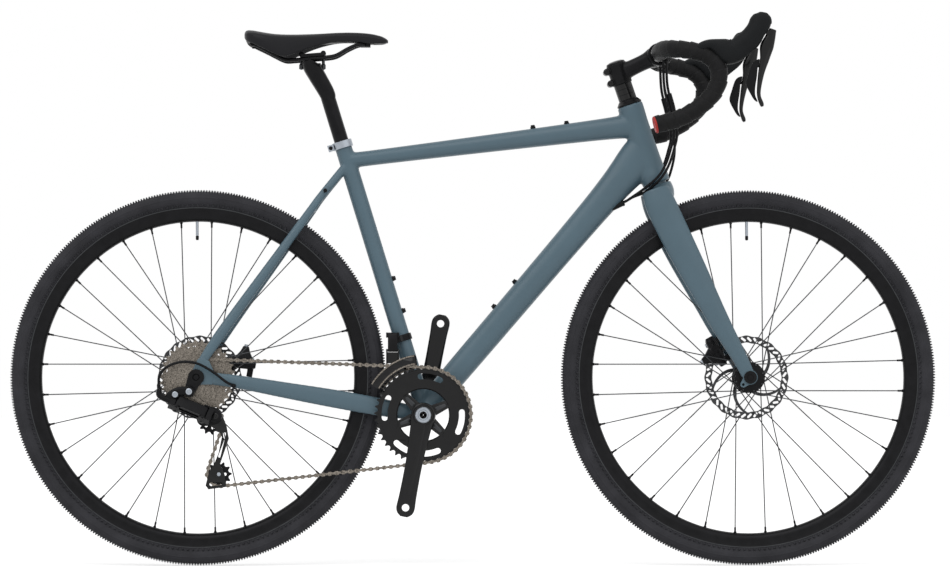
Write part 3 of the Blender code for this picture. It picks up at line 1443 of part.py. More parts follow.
def caliper(name, body, axle, rotor_y, centre, along, outward, length, depth, mount):
    """A two-piston caliper on two feet, open for the disc and fitted to the tube it stands on."""
    middle = Vector((centre[0], rotor_y, centre[1]))
    stations = [
        (middle + along * length * share, depth / 2 * size, CALIPER_HALF_WIDTH * size)
        for share, size in CALIPER_PARTS
    ]
    pieces = [loft("body", tube_rings(stations, Y_AXIS, 8, 3.0))]
    for share in (-0.30, 0.34):
        place = middle + along * length * share - outward * (depth * 0.62) + Y_AXIS * 0.0070
        pieces.append(block("foot", place, (0.0110, 0.0130, depth * 0.9), (outward, along)))
    place = middle + along * length * 0.08 + outward * depth * 0.40
    pieces.append(cylinder("bleed", place, place + outward * 0.0060, 0.0042, 6))
    for side in (-1, 1):
        cap = middle + along * length * -0.10 + Y_AXIS * side * CALIPER_HALF_WIDTH
        pieces.append(cylinder("cap", cap - Y_AXIS * side * 0.002, cap + Y_AXIS * side * 0.0018, 0.0085, 6))
    solid = join(pieces[0], *pieces[1:])
    edge = ROTOR_THICKNESS / 2 + 0.0008
    centre_line = Vector((axle.x, rotor_y, axle.z))
    room = cylinder("room", centre_line - Y_AXIS * edge, centre_line + Y_AXIS * edge, ROTOR_RADIUS + 0.002, 32)
    node(cut(solid, room, mount), name, "black_alloy", body)


def build_calipers():
    """The front caliper behind the left fork blade, and the rear one on the left chainstay."""
    high, low = [Vector((x, 0, z)) for x, _, z, _, _ in FORK_BLADE[-3:-1]]
    along = (low - high).normalized()
    outward = Vector((along.z, 0, -along.x))
    front = (FRONT_AXLE.x - 0.0568, FRONT_AXLE.z + 0.0491)
    rear = (REAR_AXLE.x + 0.0780, REAR_AXLE.z + 0.0280)
    mount = side_tube("mount", FORK_BLADE, 1, BLADE_SIDES, GAP)
    caliper("front_caliper", "steerer", FRONT_AXLE, FRONT_ROTOR_Y, front, along, outward, 0.060, 0.022, mount)
    along = Vector((0.985, 0, -0.173)).normalized()
    outward = Vector((-along.z, 0, along.x))
    mount = side_tube("mount", CHAINSTAY, 1, STAY_SIDES, GAP)
    caliper("rear_caliper", "root", REAR_AXLE, REAR_ROTOR_Y, rear, along, outward, 0.056, 0.022, mount)


# Cockpit

def build_stem():
    """The clamp round the steerer, a tapered body and the two halves of the bar clamp."""
    way = STEM_WAY
    low = STEM_LOW
    high = STEM_LOW + STEM_CLAMP_HEIGHT
    clamp = cylinder("clamp", steer(low), steer(high), 0.0190, 12)
    stations = [
        (steer(STEM_FOOT) + way * 0.004, 0.0170, 0.0165),
        (steer(STEM_FOOT) + way * 0.030, 0.0150, 0.0155),
        (steer(STEM_FOOT) + way * 0.055, 0.0152, 0.0170),
        (BAR_CENTRE - way * 0.012, 0.0190, 0.0215),
    ]
    arm = loft("arm", tube_rings(stations, Y_AXIS, 8, 2.8))
    barrel = cylinder("barrel", BAR_CENTRE - Y_AXIS * 0.0225, BAR_CENTRE + Y_AXIS * 0.0225, 0.0212, 16)
    bolts = []
    for height in (0.0105, -0.0125):
        place = steer(STEM_FOOT + height, -0.0215)
        bolts.append(cylinder("bolt", place - Y_AXIS * 0.0155, place + Y_AXIS * 0.0155, 0.0052, 8))
        bolts.append(block("lug", place + STEER_FORWARD * 0.005, (0.010, 0.0240, 0.0095), (STEER_UP, STEER_FORWARD)))
    solid = join(clamp, arm, barrel, *bolts)
    steerer_bore = cylinder("bore", steer(low - 0.02), steer(high + 0.02), STEERER_RADIUS + GAP, 12)
    reach = Y_AXIS * 0.05
    bar_bore = cylinder("bar_bore", BAR_CENTRE - reach, BAR_CENTRE + reach, CLAMP_BORE, TUBE_SIDES, start=X_AXIS)
    front = block("front", BAR_CENTRE + way * 0.0505, (0.100, 0.100, 0.100), (Y_AXIS, way))
    node(cut(solid, steerer_bore, bar_bore, front), "stem", "black_alloy", "steerer")
    plate_body = cylinder("face", BAR_CENTRE - Y_AXIS * 0.0225, BAR_CENTRE + Y_AXIS * 0.0225, 0.0212, 16)
    up = Y_AXIS.cross(way)
    for height in (-0.0165, 0.0165):
        for side in (-0.0150, 0.0150):
            place = BAR_CENTRE + up * height + Y_AXIS * side
            plate_body = join(plate_body, cylinder("boss", place, place + way * 0.0165, 0.0042, 6))
    reach = Y_AXIS * 0.05
    bar_bore = cylinder("bar_bore", BAR_CENTRE - reach, BAR_CENTRE + reach, CLAMP_BORE, TUBE_SIDES, start=X_AXIS)
    back = block("back", BAR_CENTRE - way * 0.0490, (0.100, 0.100, 0.100), (Y_AXIS, way))
    node(cut(plate_body, bar_bore, back), "stem_faceplate", "black_alloy", "steerer")
    cap_profile = [(0, 0.0052), (0.0120, 0.0045), (0.0180, 0.0015), (0.0180, 0), (0, 0)]
    cap = turned("cap", cap_profile, 14, steer(high + GAP), STEER_UP)
    node(cap, "top_cap", "black_alloy", "steerer")


BAR_ROUTE = [
    (0.0, 0.0, 0.0),
    (0.0, 0.095, 0.0),
    (0.004, 0.145, -0.001),
    (0.019, 0.182, -0.003),
    (0.049, 0.2020, -0.0075),
    (0.079, 0.2060, -0.0170),
    (0.097, 0.2075, -0.0380),
    (0.0990, 0.2090, -0.0620),
    (0.0890, 0.2105, -0.0860),
    (0.0700, 0.2125, -0.1060),
    (0.0470, 0.2145, -0.1225),
    (0.0210, 0.2170, -0.1360),
    (-0.0210, 0.2200, -0.1480),
]
BAR_POINTS = 17


def bar_path(side):
    """Half of the handlebar's middle line, from the clamp to its end."""
    route = [BAR_CENTRE + Vector((x, side * y, z)) for x, y, z in BAR_ROUTE]
    dense = smooth(route, 400)
    reach = travelled(dense)
    places = np.concatenate([[0], BAR_TAPER, np.linspace(BAR_TAPER[1] + 0.04, reach[-1], BAR_POINTS)])
    return at_distance(dense, places)


def travelled(points):
    steps = np.linalg.norm(np.diff(points, axis=0), axis=1)
    return np.concatenate([[0], np.cumsum(steps)])


def at_distance(points, places):
    """The points of a path at the given distances along it."""
    reach = travelled(points)
    return np.column_stack([np.interp(places, reach, points[:, k]) for k in range(3)])


def build_handlebar():
    """One bent tube, thick at the clamp, with a tape winding and an end plug on each side."""
    right = bar_path(-1)
    left = bar_path(1)
    reach = travelled(left)
    radii = np.interp(reach, BAR_TAPER, [BAR_CLAMP_RADIUS, BAR_RADIUS])
    right_frames = carried_frames(right, (1, 0, 0))
    left_frames = carried_frames(left, (1, 0, 0))
    right_rings = round_rings(right, radii, right_frames, TUBE_SIDES)
    left_rings = round_rings(left, radii, left_frames, TUBE_SIDES)
    mirrored = [ring[::-1] for ring in right_rings]
    bar = loft("handlebar", matched(mirrored[:0:-1], left_rings))
    node(bar, "handlebar", "black_alloy", "steerer")
    for side, name, path, frames in ((-1, "right", right, right_frames), (1, "left", left, left_frames)):
        build_tape("bar_tape_" + name, path, frames)
        build_plug("bar_plug_" + name, path)


def matched(first, second):
    """Two rows of rings as one, the first row turned so that its points meet the second's."""
    goal = np.asarray(second[0])
    joined = []
    for ring in first:
        ring = np.asarray(ring)
        turns = [np.abs(np.roll(ring, k, axis=0) - goal)[:, [0, 2]].sum() for k in range(len(ring))]
        joined.append(turns)
    best = int(np.argmin(joined[-1]))
    return [np.roll(np.asarray(ring), best, axis=0) for ring in first] + [np.asarray(ring) for ring in second]


def build_tape(name, path, frames):
    """Overlapping turns of tape as a stepped sleeve over the bar, one turn to each of its points."""
    first = int(np.searchsorted(travelled(path), TAPE_START))
    inside = np.vstack([at_distance(path, [TAPE_START]), path[first:]])
    frames = frames[first - 1 :]
    outside = []
    sizes = []
    outside_frames = []
    for k in range(len(inside) - 1):
        lap = inside[k] + (inside[k + 1] - inside[k]) * TAPE_LAP
        outside += [inside[k], lap]
        sizes += [TAPE_RADIUS, TAPE_RADIUS - TAPE_STEP]
        outside_frames += [frames[k], frames[k + 1]]
    outside.append(inside[-1])
    sizes.append(TAPE_RADIUS - TAPE_STEP)
    outside_frames.append(frames[-1])
    outer = round_rings(outside, sizes, outside_frames, TUBE_SIDES)
    bore = round_rings(inside, [BAR_RADIUS + GAP] * len(inside), frames, TUBE_SIDES)
    node(loft(name, outer + bore[::-1], looped=True), name, "tape", "steerer")


def build_plug(name, path):
    """The cap that closes the bar's end."""
    end = Vector(path[-1])
    way = (Vector(path[-1]) - Vector(path[-2])).normalized()
    profile = [(0, 0.0045), (0.0110, 0.0035), (0.0150, 0.0010), (0.0150, 0), (0, 0)]
    plug = turned("plug", profile, 12, end + way * GAP, way)
    node(plug, name, "red_plastic", "steerer")


# Brake and shift levers, on the right, in metres from the handlebar clamp
HOOD = [
    (0.0880, -0.0310, 0.0125, 0.0130),
    (0.1040, -0.0215, 0.0175, 0.0165),
    (0.1240, -0.0110, 0.0195, 0.0180),
    (0.1440, 0.0020, 0.0215, 0.0185),
    (0.1610, 0.0195, 0.0225, 0.0185),
    (0.1735, 0.0375, 0.0210, 0.0175),
    (0.1810, 0.0520, 0.0165, 0.0150),
    (0.1850, 0.0610, 0.0085, 0.0090),
]
HOOD_Y = 0.2070
LEVER_PIVOT = (0.1905, 0.0245)
LEVER = [
    (0.1975, 0.0300, 0.0060, 0.0068),
    (0.1935, 0.0125, 0.0085, 0.0072),
    (0.1885, -0.0020, 0.0105, 0.0070),
    (0.1830, -0.0230, 0.0088, 0.0060),
    (0.1760, -0.0520, 0.0056, 0.0050),
    (0.1715, -0.0870, 0.0036, 0.0044),
    (0.1765, -0.1060, 0.0040, 0.0048),
    (0.1785, -0.1110, 0.0022, 0.0026),
]
LEVER_FLARE = 0.10
LEVER_PULL = math.radians(15)
LEVER_ROOM = 0.0018
LEVER_ROOM_HALF = 0.0078
PADDLE = [
    (0.1719, -0.0250),
    (0.1700, -0.0400),
    (0.1685, -0.0560),
    (0.1655, -0.0760),
    (0.1655, -0.0900),
    (0.1700, -0.1020),
    (0.1640, -0.0990),
    (0.1570, -0.0880),
    (0.1490, -0.0700),
    (0.1530, -0.0520),
    (0.1610, -0.0300),
]
PADDLE_PIVOT = (0.1713, -0.0300)
PADDLE_UP = Vector((0.130, 0, 0.991)).normalized()


def cockpit_point(x, y, z):
    return BAR_CENTRE + Vector((x, y, z))


def build_levers():
    """On each side a rubber hood on its bracket, the brake lever and the shift paddle behind it."""
    for side, name in ((-1, "right"), (1, "left")):
        stations = [(cockpit_point(x, side * HOOD_Y, z), depth, width) for x, z, depth, width in HOOD]
        hood = loft("hood", tube_rings(stations, Y_AXIS, 10, 2.4))
        sleeve = sleeve_cutter(side)
        pivot_place = cockpit_point(LEVER_PIVOT[0], side * HOOD_Y, LEVER_PIVOT[1])
        half = LEVER_ROOM_HALF * Y_AXIS
        notch = cylinder("notch", pivot_place - half, pivot_place + half, 0.0175, 12)
        hood = cut(hood, sleeve, notch, lever_room(pivot_place))
        cheeks = []
        for way in (-1, 1):
            inner = pivot_place + Y_AXIS * way * 0.0080
            outer = pivot_place + Y_AXIS * way * 0.0110
            root = Vector((-0.012, 0, 0.004))
            middle = inner.lerp(outer, 0.5)
            stations = [
                (middle + root, 0.0085, 0.0015),
                (middle + Vector((0.005, 0, -0.001)), 0.0055, 0.0015),
            ]
            cheeks.append(loft("cheek", tube_rings(stations, Y_AXIS, 8, 3.0)))
        pin = cylinder("pin", pivot_place - Y_AXIS * 0.0105, pivot_place + Y_AXIS * 0.0105, 0.0018, 6, start=X_AXIS)
        node(join(hood, *cheeks, pin), "hood_" + name, "hood_rubber", "steerer")
        build_brake_lever(side, name)
        build_paddle(side, name)


def lever_room(pivot_place):
    """The slot in the hood's front that the lever swings back into."""
    back = [(x - LEVER_PIVOT[0] - depth - LEVER_ROOM, z - LEVER_PIVOT[1]) for x, z, depth, _ in LEVER[:5]]
    pulled = [
        (
            x * math.cos(LEVER_PULL) + z * math.sin(LEVER_PULL),
            z * math.cos(LEVER_PULL) - x * math.sin(LEVER_PULL),
        )
        for x, z in back
    ]
    outline = pulled[1:] + [(0.030, pulled[-1][1]), (0.030, pulled[1][1])]
    low = pivot_place.y - LEVER_ROOM_HALF
    centre = (pivot_place.x, pivot_place.z)
    return side_plate("room", [outline], low, low + 2 * LEVER_ROOM_HALF, centre)


def sleeve_cutter(side):
    """The room that the tape takes inside the hood's clamp."""
    path = bar_path(side)
    frames = carried_frames(path, (1, 0, 0))
    picked = slice(8, 20)
    radii = [TAPE_RADIUS + 0.0009] * len(path[picked])
    return loft("sleeve", round_rings(path[picked], radii, frames[picked], TUBE_SIDES))


def build_brake_lever(side, name):
    body = "lever_" + name
    stations = []
    for x, z, depth, width in LEVER:
        y = side * (HOOD_Y + LEVER_FLARE * max(0.0, LEVER_PIVOT[1] - 0.03 - z))
        stations.append((cockpit_point(x, y, z), depth, width))
    blade = loft("blade", tube_rings(stations, Y_AXIS, 6, 2.6))
    place = cockpit_point(LEVER_PIVOT[0], side * HOOD_Y, LEVER_PIVOT[1])
    boss = cylinder("boss", place - Y_AXIS * 0.0072, place + Y_AXIS * 0.0072, 0.0066, 8, start=X_AXIS)
    bore = cylinder("bore", place - Y_AXIS * 0.02, place + Y_AXIS * 0.02, 0.0024, 6, start=X_AXIS)
    node(cut(join(blade, boss), bore), "brake_lever_" + name, "black_alloy", body)


def build_paddle(side, name):
    """A thin curved blade that follows the brake lever's back edge."""
    middle_y = side * (HOOD_Y + 0.0040)
    made = plate(
        "paddle",
        [[(x, z) for x, z in PADDLE]],
        0.0030,
        cockpit_point(0, middle_y, 0),
        -Y_AXIS,
        X_AXIS,
    )
    place = cockpit_point(PADDLE_PIVOT[0], middle_y, PADDLE_PIVOT[1])
    barrel = cylinder("barrel", place - PADDLE_UP * 0.0090, place + PADDLE_UP * 0.0060, 0.0020, 8)
    made = join(made, barrel)
    node(made, "shift_paddle_" + name, "black_plastic", "paddle_" + name)


# Hoses and cable housings

HOSE_POINTS = 14


def shifted(points, side):
    return [point + Y_AXIS * side for point in points]


def beside(points, step):
    """A second hose beside the first: its route moved square to itself, seen from the side."""
    table = np.array(points, float)
    along = np.gradient(table[:, [0, 2]], axis=0)
    along /= np.linalg.norm(along, axis=1)[:, None]
    table[:, 0] -= along[:, 1] * step
    table[:, 2] += along[:, 0] * step
    return [tuple(row) for row in table]


def from_clamp(points, side):
    return [cockpit_point(x, side * y, z) for x, y, z in points]


def hose_node(name, route, count, body="root"):
    """A hose whose two ends run straight, so that they meet what they enter squarely."""
    middle = smooth(route[1:-1], count - 2)
    points = np.vstack([route[0], middle, route[-1]])
    node(wire(name, points, HOSE_RADIUS), name, "black_plastic", body)


def build_hoses():
    """The hose and housings from the handlebar, round the head tube and into frame or fork."""
    right = [
        (0.0070, TAPE_START - GAP, -0.0137),
        (0.0070, TAPE_START - 0.0045, -0.0137),
        (0.0065, 0.0500, -0.0290),
        (0.0090, 0.0470, -0.0660),
        (0.0190, 0.0480, -0.1050),
        (0.0260, 0.0480, -0.1500),
        (0.0210, 0.0460, -0.1770),
        (0.0110, 0.0450, -0.2075),
        (-0.0035, 0.0420, -0.2310),
        (-0.0280, 0.0300, -0.2520),
        (-0.0480, 0.0160, -0.2660),
    ]
    second = [
        (0.0133, TAPE_START - GAP, -0.0075),
        (0.0133, TAPE_START - 0.0045, -0.0075),
    ] + beside(right[2:-2], 0.0060)
    second += [(-0.0240, 0.0240, -0.2570), (-0.0480, 0.0070, -0.2670)]
    entry = [PORT + PORT_WAY * 0.0080, PORT + PORT_WAY * GAP]
    hose_node("rear_brake_hose", from_clamp(right, -1) + shifted(entry, -0.0080), HOSE_POINTS)
    hose_node("rear_shift_housing", from_clamp(second, -1) + shifted(entry, -0.0022), HOSE_POINTS)
    hose_node("front_shift_housing", from_clamp(right, 1) + shifted(entry, 0.0080), HOSE_POINTS)
    fork_route = second[:6] + [
        (0.0330, 0.0530, -0.1850),
        (0.0250, 0.0540, -0.2200),
    ]
    ends = [CROWN + Vector((0.0194, 0.0560, 0.0062)), CROWN + Vector((0.0184, 0.0530, -0.0033))]
    hose_node("front_brake_hose", from_clamp(fork_route, 1) + ends, HOSE_POINTS, "steerer")
    loop = [
        (0.0710, -0.0750, -0.0170),
        (0.0670, -0.0775, -0.0148),
        (0.0550, -0.0850, -0.0080),
        (0.0300, -0.0890, 0.0110),
        (0.0008, -0.0905, 0.0260),
        (-0.0290, -0.0920, 0.0280),
        (-0.0550, -0.0930, 0.0180),
        (-0.0670, -0.0932, 0.0020),
    ]
    rear_route = [REAR_AXLE + Vector(place) for place in loop] + [
        HOUSING_STOP + HOUSING_STOP_WAY * 0.0100,
        HOUSING_STOP + HOUSING_STOP_WAY * GAP,
    ]
    hose_node("rd_housing", rear_route, HOSE_POINTS)


# Saddle and post

POST_SHOWN = 0.1006
POST_TOP = SEAT_TUBE_LENGTH + POST_SHOWN
RAIL_CLAMP = seat(POST_TOP) + Vector((-0.0274, 0, 0.0658))


def build_seatpost():
    """A round post with a forged head that carries the saddle's rails."""
    low = seat(SEAT_TUBE_LENGTH - POST_INSERT)
    top = seat(POST_TOP)
    bar = cylinder("bar", low, top, POST_RADIUS, 12)
    middle = RAIL_CLAMP
    stations = [
        (seat(POST_TOP - 0.012), 0.0130, 0.0130),
        (seat(POST_TOP + 0.004), 0.0150, 0.0150),
        (middle + Vector((0.000, 0, -0.0155)), 0.0170, 0.0210),
        (middle + Vector((0.001, 0, -0.0042)), 0.0200, 0.0270),
    ]
    head = loft("head", tube_rings(stations, Y_AXIS, 12, 3.0))
    bolts = []
    for along in (-0.0205, 0.0205):
        foot = middle + Vector((along, 0, -0.020))
        bolts.append(cylinder("bolt", foot, foot + Vector((0, 0, 0.012)), 0.0045, 8))
    node(cut(join(bar, head, *bolts), rail_room()), "seatpost", "black_alloy", "seatpost")
    upper = block("upper", middle + Vector((0.001, 0, 0.0062)), (0.044, 0.054, 0.0060), (Vector((-0.08, 0, 1)), X_AXIS))
    bridge = cylinder("bridge", middle + Vector((-0.0205, 0, 0.004)), middle + Vector((-0.0205, 0, 0.0125)), 0.0050, 8)
    other = cylinder("bridge", middle + Vector((0.0205, 0, 0.005)), middle + Vector((0.0205, 0, 0.0140)), 0.0050, 8)
    node(cut(join(upper, bridge, other), rail_room()), "saddle_clamp", "black_alloy", "seatpost")


RAIL_ROUTE = [
    (-0.1160, 0.0270, 0.0280),
    (-0.0980, 0.0268, 0.0210),
    (-0.0680, 0.0255, 0.0050),
    (-0.0500, 0.0235, -0.0030),
    (-0.0330, 0.0220, -0.0028),
    (0.0000, 0.0220, 0.0000),
    (0.0300, 0.0220, 0.0024),
    (0.0460, 0.0215, 0.0060),
    (0.0660, 0.0195, 0.0175),
    (0.0840, 0.0160, 0.0255),
    (0.0960, 0.0110, 0.0270),
    (0.0990, 0.0000, 0.0270),
]


def rail_points():
    left = [RAIL_CLAMP + Vector((x, y, z)) for x, y, z in RAIL_ROUTE]
    right = [RAIL_CLAMP + Vector((x, -y, z)) for x, y, z in reversed(RAIL_ROUTE)]
    return np.vstack([smooth(left, 14)[:-1], smooth(right, 14)])


def rail_room():
    """The groove that the rails lie in, with room round them and past their ends."""
    points = rail_points()
    begin = points[0] + (points[0] - points[1]) * 0.02
    end = points[-1] + (points[-1] - points[-2]) * 0.02
    return wire("rail_room", np.vstack([begin, points[1:-1], end]), RAIL_RADIUS + GAP)


def build_rails():
    """One bent rod: two parallel rails joined under the nose."""
    node(wire("saddle_rails", rail_points(), RAIL_RADIUS), "saddle_rails", "black_alloy", "seatpost")


SADDLE = [
    (-0.1260, 0.0450, 0.0485, 0.0360),
    (-0.1210, 0.0600, 0.0520, 0.0290),
    (-0.1100, 0.0690, 0.0515, 0.0240),
    (-0.0930, 0.0725, 0.0485, 0.0160),
    (-0.0730, 0.0705, 0.0455, 0.0065),
    (-0.0530, 0.0640, 0.0445, 0.0000),
    (-0.0330, 0.0545, 0.0448, 0.0060),
    (-0.0080, 0.0420, 0.0460, 0.0160),
    (0.0170, 0.0315, 0.0475, 0.0240),
    (0.0470, 0.0245, 0.0495, 0.0300),
    (0.0770, 0.0212, 0.0500, 0.0305),
    (0.1070, 0.0200, 0.0480, 0.0280),
    (0.1270, 0.0185, 0.0435, 0.0275),
    (0.1370, 0.0145, 0.0390, 0.0290),
    (0.1420, 0.0070, 0.0350, 0.0320),
]
CHANNEL = 0.0035
CHANNEL_REACH = (-0.098, 0.122)
SHELL_DEPTH = 0.0165


def build_saddle():
    """A padded cover with drawn-in sides and a shallow channel, over a thin base shell."""
    rings = []
    for x, half, top, low in SADDLE:
        under = max(low + 0.0010, top - SHELL_DEPTH)
        dip = CHANNEL if CHANNEL_REACH[0] < x < CHANNEL_REACH[1] else 0.0
        rim = min(0.0055, half * 0.25)
        right = [
            (0.0, top - dip),
            (half * 0.28, top - dip * 0.15),
            (half * 0.62, top - 0.0012),
            (half * 0.90, top - 0.0050),
            (half, top - 0.35 * (top - low)),
            (half * 0.985, low + 0.0025),
            (half - rim * 0.7, low),
            (half - rim * 1.6, min(low + 0.0040, under)),
            (half * 0.45, under),
            (0.0, under),
        ]
        left = [(-y, z) for y, z in right[-2:0:-1]]
        rings.append([RAIL_CLAMP + Vector((x, y, z)) for y, z in right + left])
    node(loft("cover", rings), "saddle_cover", "saddle_skin", "seatpost")
    shell_rings = []
    for x, half, top, low in SADDLE[2:-2]:
        under = max(low + 0.0010, top - SHELL_DEPTH) - GAP
        reach = half * 0.44
        above = [(reach, under), (-reach, under)]
        below = [(-reach, under - 0.0026), (reach, under - 0.0026)]
        shell_rings.append([RAIL_CLAMP + Vector((x, y, z)) for y, z in above + below])
    shell = loft("shell", shell_rings)
    sockets = []
    for side in (-1, 1):
        place = RAIL_CLAMP + Vector((-0.1075, side * 0.0270, 0.0270))
        sockets.append(block("socket", place, (0.0130, 0.0110, 0.0100)))
    place = RAIL_CLAMP + Vector((0.1000, 0, 0.0265))
    sockets.append(block("socket", place, (0.0180, 0.0200, 0.0085)))
    node(cut(join(shell, *sockets), rail_room()), "saddle_shell", "black_plastic", "seatpost")


def build_pivots():
    pivot("steerer", STEER_FOOT)
    pivot("seatpost", seat(SEAT_TUBE_LENGTH))
    pivot("front_wheel", FRONT_AXLE)
    pivot("rear_wheel", REAR_AXLE)
    pivot("cassette", REAR_AXLE)
    pivot("crank", BRACKET)
    pivot("rd_outer_link", rd_point(0, -RD_LINK_SPREAD))
    pivot("rd_inner_link", rd_point(0, RD_LINK_SPREAD))
    pivot("rd_p_knuckle", rd_point(RD_LINK_LENGTH, -RD_LINK_SPREAD))
    pivot("rd_cage", Vector((CAGE_PIVOT[0], COG_Y, CAGE_PIVOT[1])))
    pivot("rd_guide_pulley", Vector((GUIDE_PULLEY_CENTRE[0], COG_Y, GUIDE_PULLEY_CENTRE[1])))
    pivot("rd_tension_pulley", Vector((TENSION_PULLEY_CENTRE[0], COG_Y, TENSION_PULLEY_CENTRE[1])))
    pivot("fd_link", Vector((FD_LINK_X[0], FD_PIVOT_Y, FD_PIVOT_Z)))
    pivot("fd_cage", Vector((FD_LINK_X[0], FD_PIVOT_Y - FD_LINK_OUT, FD_PIVOT_Z - FD_LINK_DROP)))
    for side, name in ((-1, "right"), (1, "left")):
        pivot("lever_" + name, cockpit_point(LEVER_PIVOT[0], side * HOOD_Y, LEVER_PIVOT[1]))
        pivot("paddle_" + name, cockpit_point(PADDLE_PIVOT[0], side * (HOOD_Y + 0.004), PADDLE_PIVOT[1]))


def main():
    build_pivots()
    build_frame()
    build_seat_collar()
    build_bracket_cups()
    build_headset()
    build_fork()
    build_axles()
    build_wheels()
    build_chain()
    build_chainrings()
    build_cranks()
    build_cassette()
    build_hanger()
    build_rd_knuckles()
    build_rd_links()
    build_rd_cage()
    build_pulleys()
    build_front_derailleur()
    build_calipers()
    build_stem()
    build_handlebar()
    build_levers()
    build_hoses()
    build_seatpost()
    build_rails()
    build_saddle()


main()
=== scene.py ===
"""Looks for the gravel bicycle: its detailed pieces, finishes, floor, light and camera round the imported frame.

Metres, +Z up, +X towards the front wheel, +Y towards the rider's left.
"""

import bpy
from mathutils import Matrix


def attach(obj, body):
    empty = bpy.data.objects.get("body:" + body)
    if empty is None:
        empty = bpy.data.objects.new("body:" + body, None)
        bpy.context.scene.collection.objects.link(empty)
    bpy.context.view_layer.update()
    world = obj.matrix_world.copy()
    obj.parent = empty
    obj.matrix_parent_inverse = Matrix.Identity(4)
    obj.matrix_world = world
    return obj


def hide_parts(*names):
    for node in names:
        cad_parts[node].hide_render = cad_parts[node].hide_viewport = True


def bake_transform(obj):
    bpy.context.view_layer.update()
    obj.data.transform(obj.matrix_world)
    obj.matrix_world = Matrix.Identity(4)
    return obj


bl_info = {
    "name": "Gravel bicycle looks",
    "version": (1, 0, 0),
    "blender": (4, 5, 0),
    "location": "3D View > Sidebar > Bicycle",
    "description": "Builds the visible pieces of a gravel bicycle round its moving frame",
    "category": "Object",
}

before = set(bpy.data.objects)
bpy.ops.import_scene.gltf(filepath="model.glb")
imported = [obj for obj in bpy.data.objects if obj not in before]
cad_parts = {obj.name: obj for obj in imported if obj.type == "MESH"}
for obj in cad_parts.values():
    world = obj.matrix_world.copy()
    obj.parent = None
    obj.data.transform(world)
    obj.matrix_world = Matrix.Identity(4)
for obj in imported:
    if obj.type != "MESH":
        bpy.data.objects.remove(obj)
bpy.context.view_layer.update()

import math

import bmesh
import bpy
import numpy as np
from mathutils import Vector

TAU = 2 * math.pi
LEFT = np.array([0.0, 1.0, 0.0])
AHEAD = np.array([1.0, 0.0, 0.0])
UP = np.array([0.0, 0.0, 1.0])

# Sizes shared with the frame's solids
RIM_INNER = 0.2915
AXLES = {"front": np.array([0.515, 0.0, 0.351]), "rear": np.array([-0.515, 0.0, 0.351])}
BRACKET = np.array([-0.09398, 0.0, 0.281])
STEER_UP = np.array([-0.3223, 0.0, 0.9466])
STEER_FORWARD = np.array([0.9466, 0.0, 0.3223])
STEER_FOOT = np.array([0.4724, 0.0, 0.3365])
SEAT_UP = np.array([-0.294, 0.0, 0.9558])
SEAT_FOOT = BRACKET + np.array([0.0043, 0.0, 0.0])
FORK_LENGTH = 0.3965
HEAD_LOW = 0.4005
HEAD_TOP = 0.5555
SEAT_TUBE_LENGTH = 0.5284
SEAT_TUBE_RADIUS = 0.0159
COVER_HEIGHT = 0.0106
STEM_LOW = HEAD_TOP + 0.0414
STEM_CLAMP_HEIGHT = 0.04
STEM_FOOT = STEM_LOW + STEM_CLAMP_HEIGHT / 2
STEM_WAY = np.array([math.cos(math.radians(25.8)), 0.0, math.sin(math.radians(25.8))])
BAR_CENTRE = np.array([0.3473, 0.0, 0.9561])
BAR_CLAMP_RADIUS = 0.0159
BAR_RADIUS = 0.0119
TAPE_START = 0.062
SEAM = 0.0003
TAPE_RADIUS = 0.0168
HOSE_RADIUS = 0.0025
POST_RADIUS = 0.0136
RAIL_CLAMP = np.array([-0.302, 0.0, 0.948])
CRANK_ANGLE = math.radians(-100.8)
CRANK_LENGTH = 0.175
PITCH = 0.0127
COG_TEETH = (11, 13, 15, 17, 19, 21, 23, 26, 30, 34)
OUTER_COG_Y = -0.064
COG_SPACING = 0.00395
COG_IN_USE = 17
COG_Y = OUTER_COG_Y + COG_SPACING * COG_TEETH.index(COG_IN_USE)
RING_Y = -0.05
SMALL_RING_Y = -0.043
PLATE_HALF = 0.0011
COG_HALF = 0.00085
CAGE_PIVOT = np.array([-0.479, 0.279])
GUIDE = CAGE_PIVOT + np.array([-0.0094, -0.0112])
CAGE_ANGLE = -1.41819
TENSION = GUIDE + 0.098 * np.array([math.cos(CAGE_ANGLE), math.sin(CAGE_ANGLE)])
CHAIN_LINKS = 110
SPOKES = 32
ROTOR_Y = {"front": 0.0395, "rear": 0.055}
SIDES = ((-1, "right"), (1, "left"))


def steer(height, forward=0.0):
    """A point at a height along the steering axis, moved forward of it."""
    return STEER_FOOT + STEER_UP * height + STEER_FORWARD * forward


def seat(height):
    """A point at a height along the seat tube's axis."""
    return SEAT_FOOT + SEAT_UP * height


# Shapes

def unit(vectors):
    """Each vector divided by its length."""
    vectors = np.asarray(vectors, float)
    return vectors / np.linalg.norm(vectors, axis=-1, keepdims=True)


def polar(radius, angle):
    """A flat point at a radius and an angle."""
    return radius * math.cos(angle), radius * math.sin(angle)


def set_at(spot, y):
    """A flat point of the side view at a value of Y."""
    return np.array([spot[0], y, spot[1]])


def any_side(axis):
    """A direction that isn't along the axis: the left where it can be, and otherwise ahead."""
    return LEFT if abs(axis[1]) < 0.9 else AHEAD


def lengths(path):
    """The distance travelled at each point: the running sum of the steps between points."""
    steps = np.linalg.norm(np.diff(path[:, :3], axis=0), axis=1)
    return np.concatenate([[0], np.cumsum(steps)])


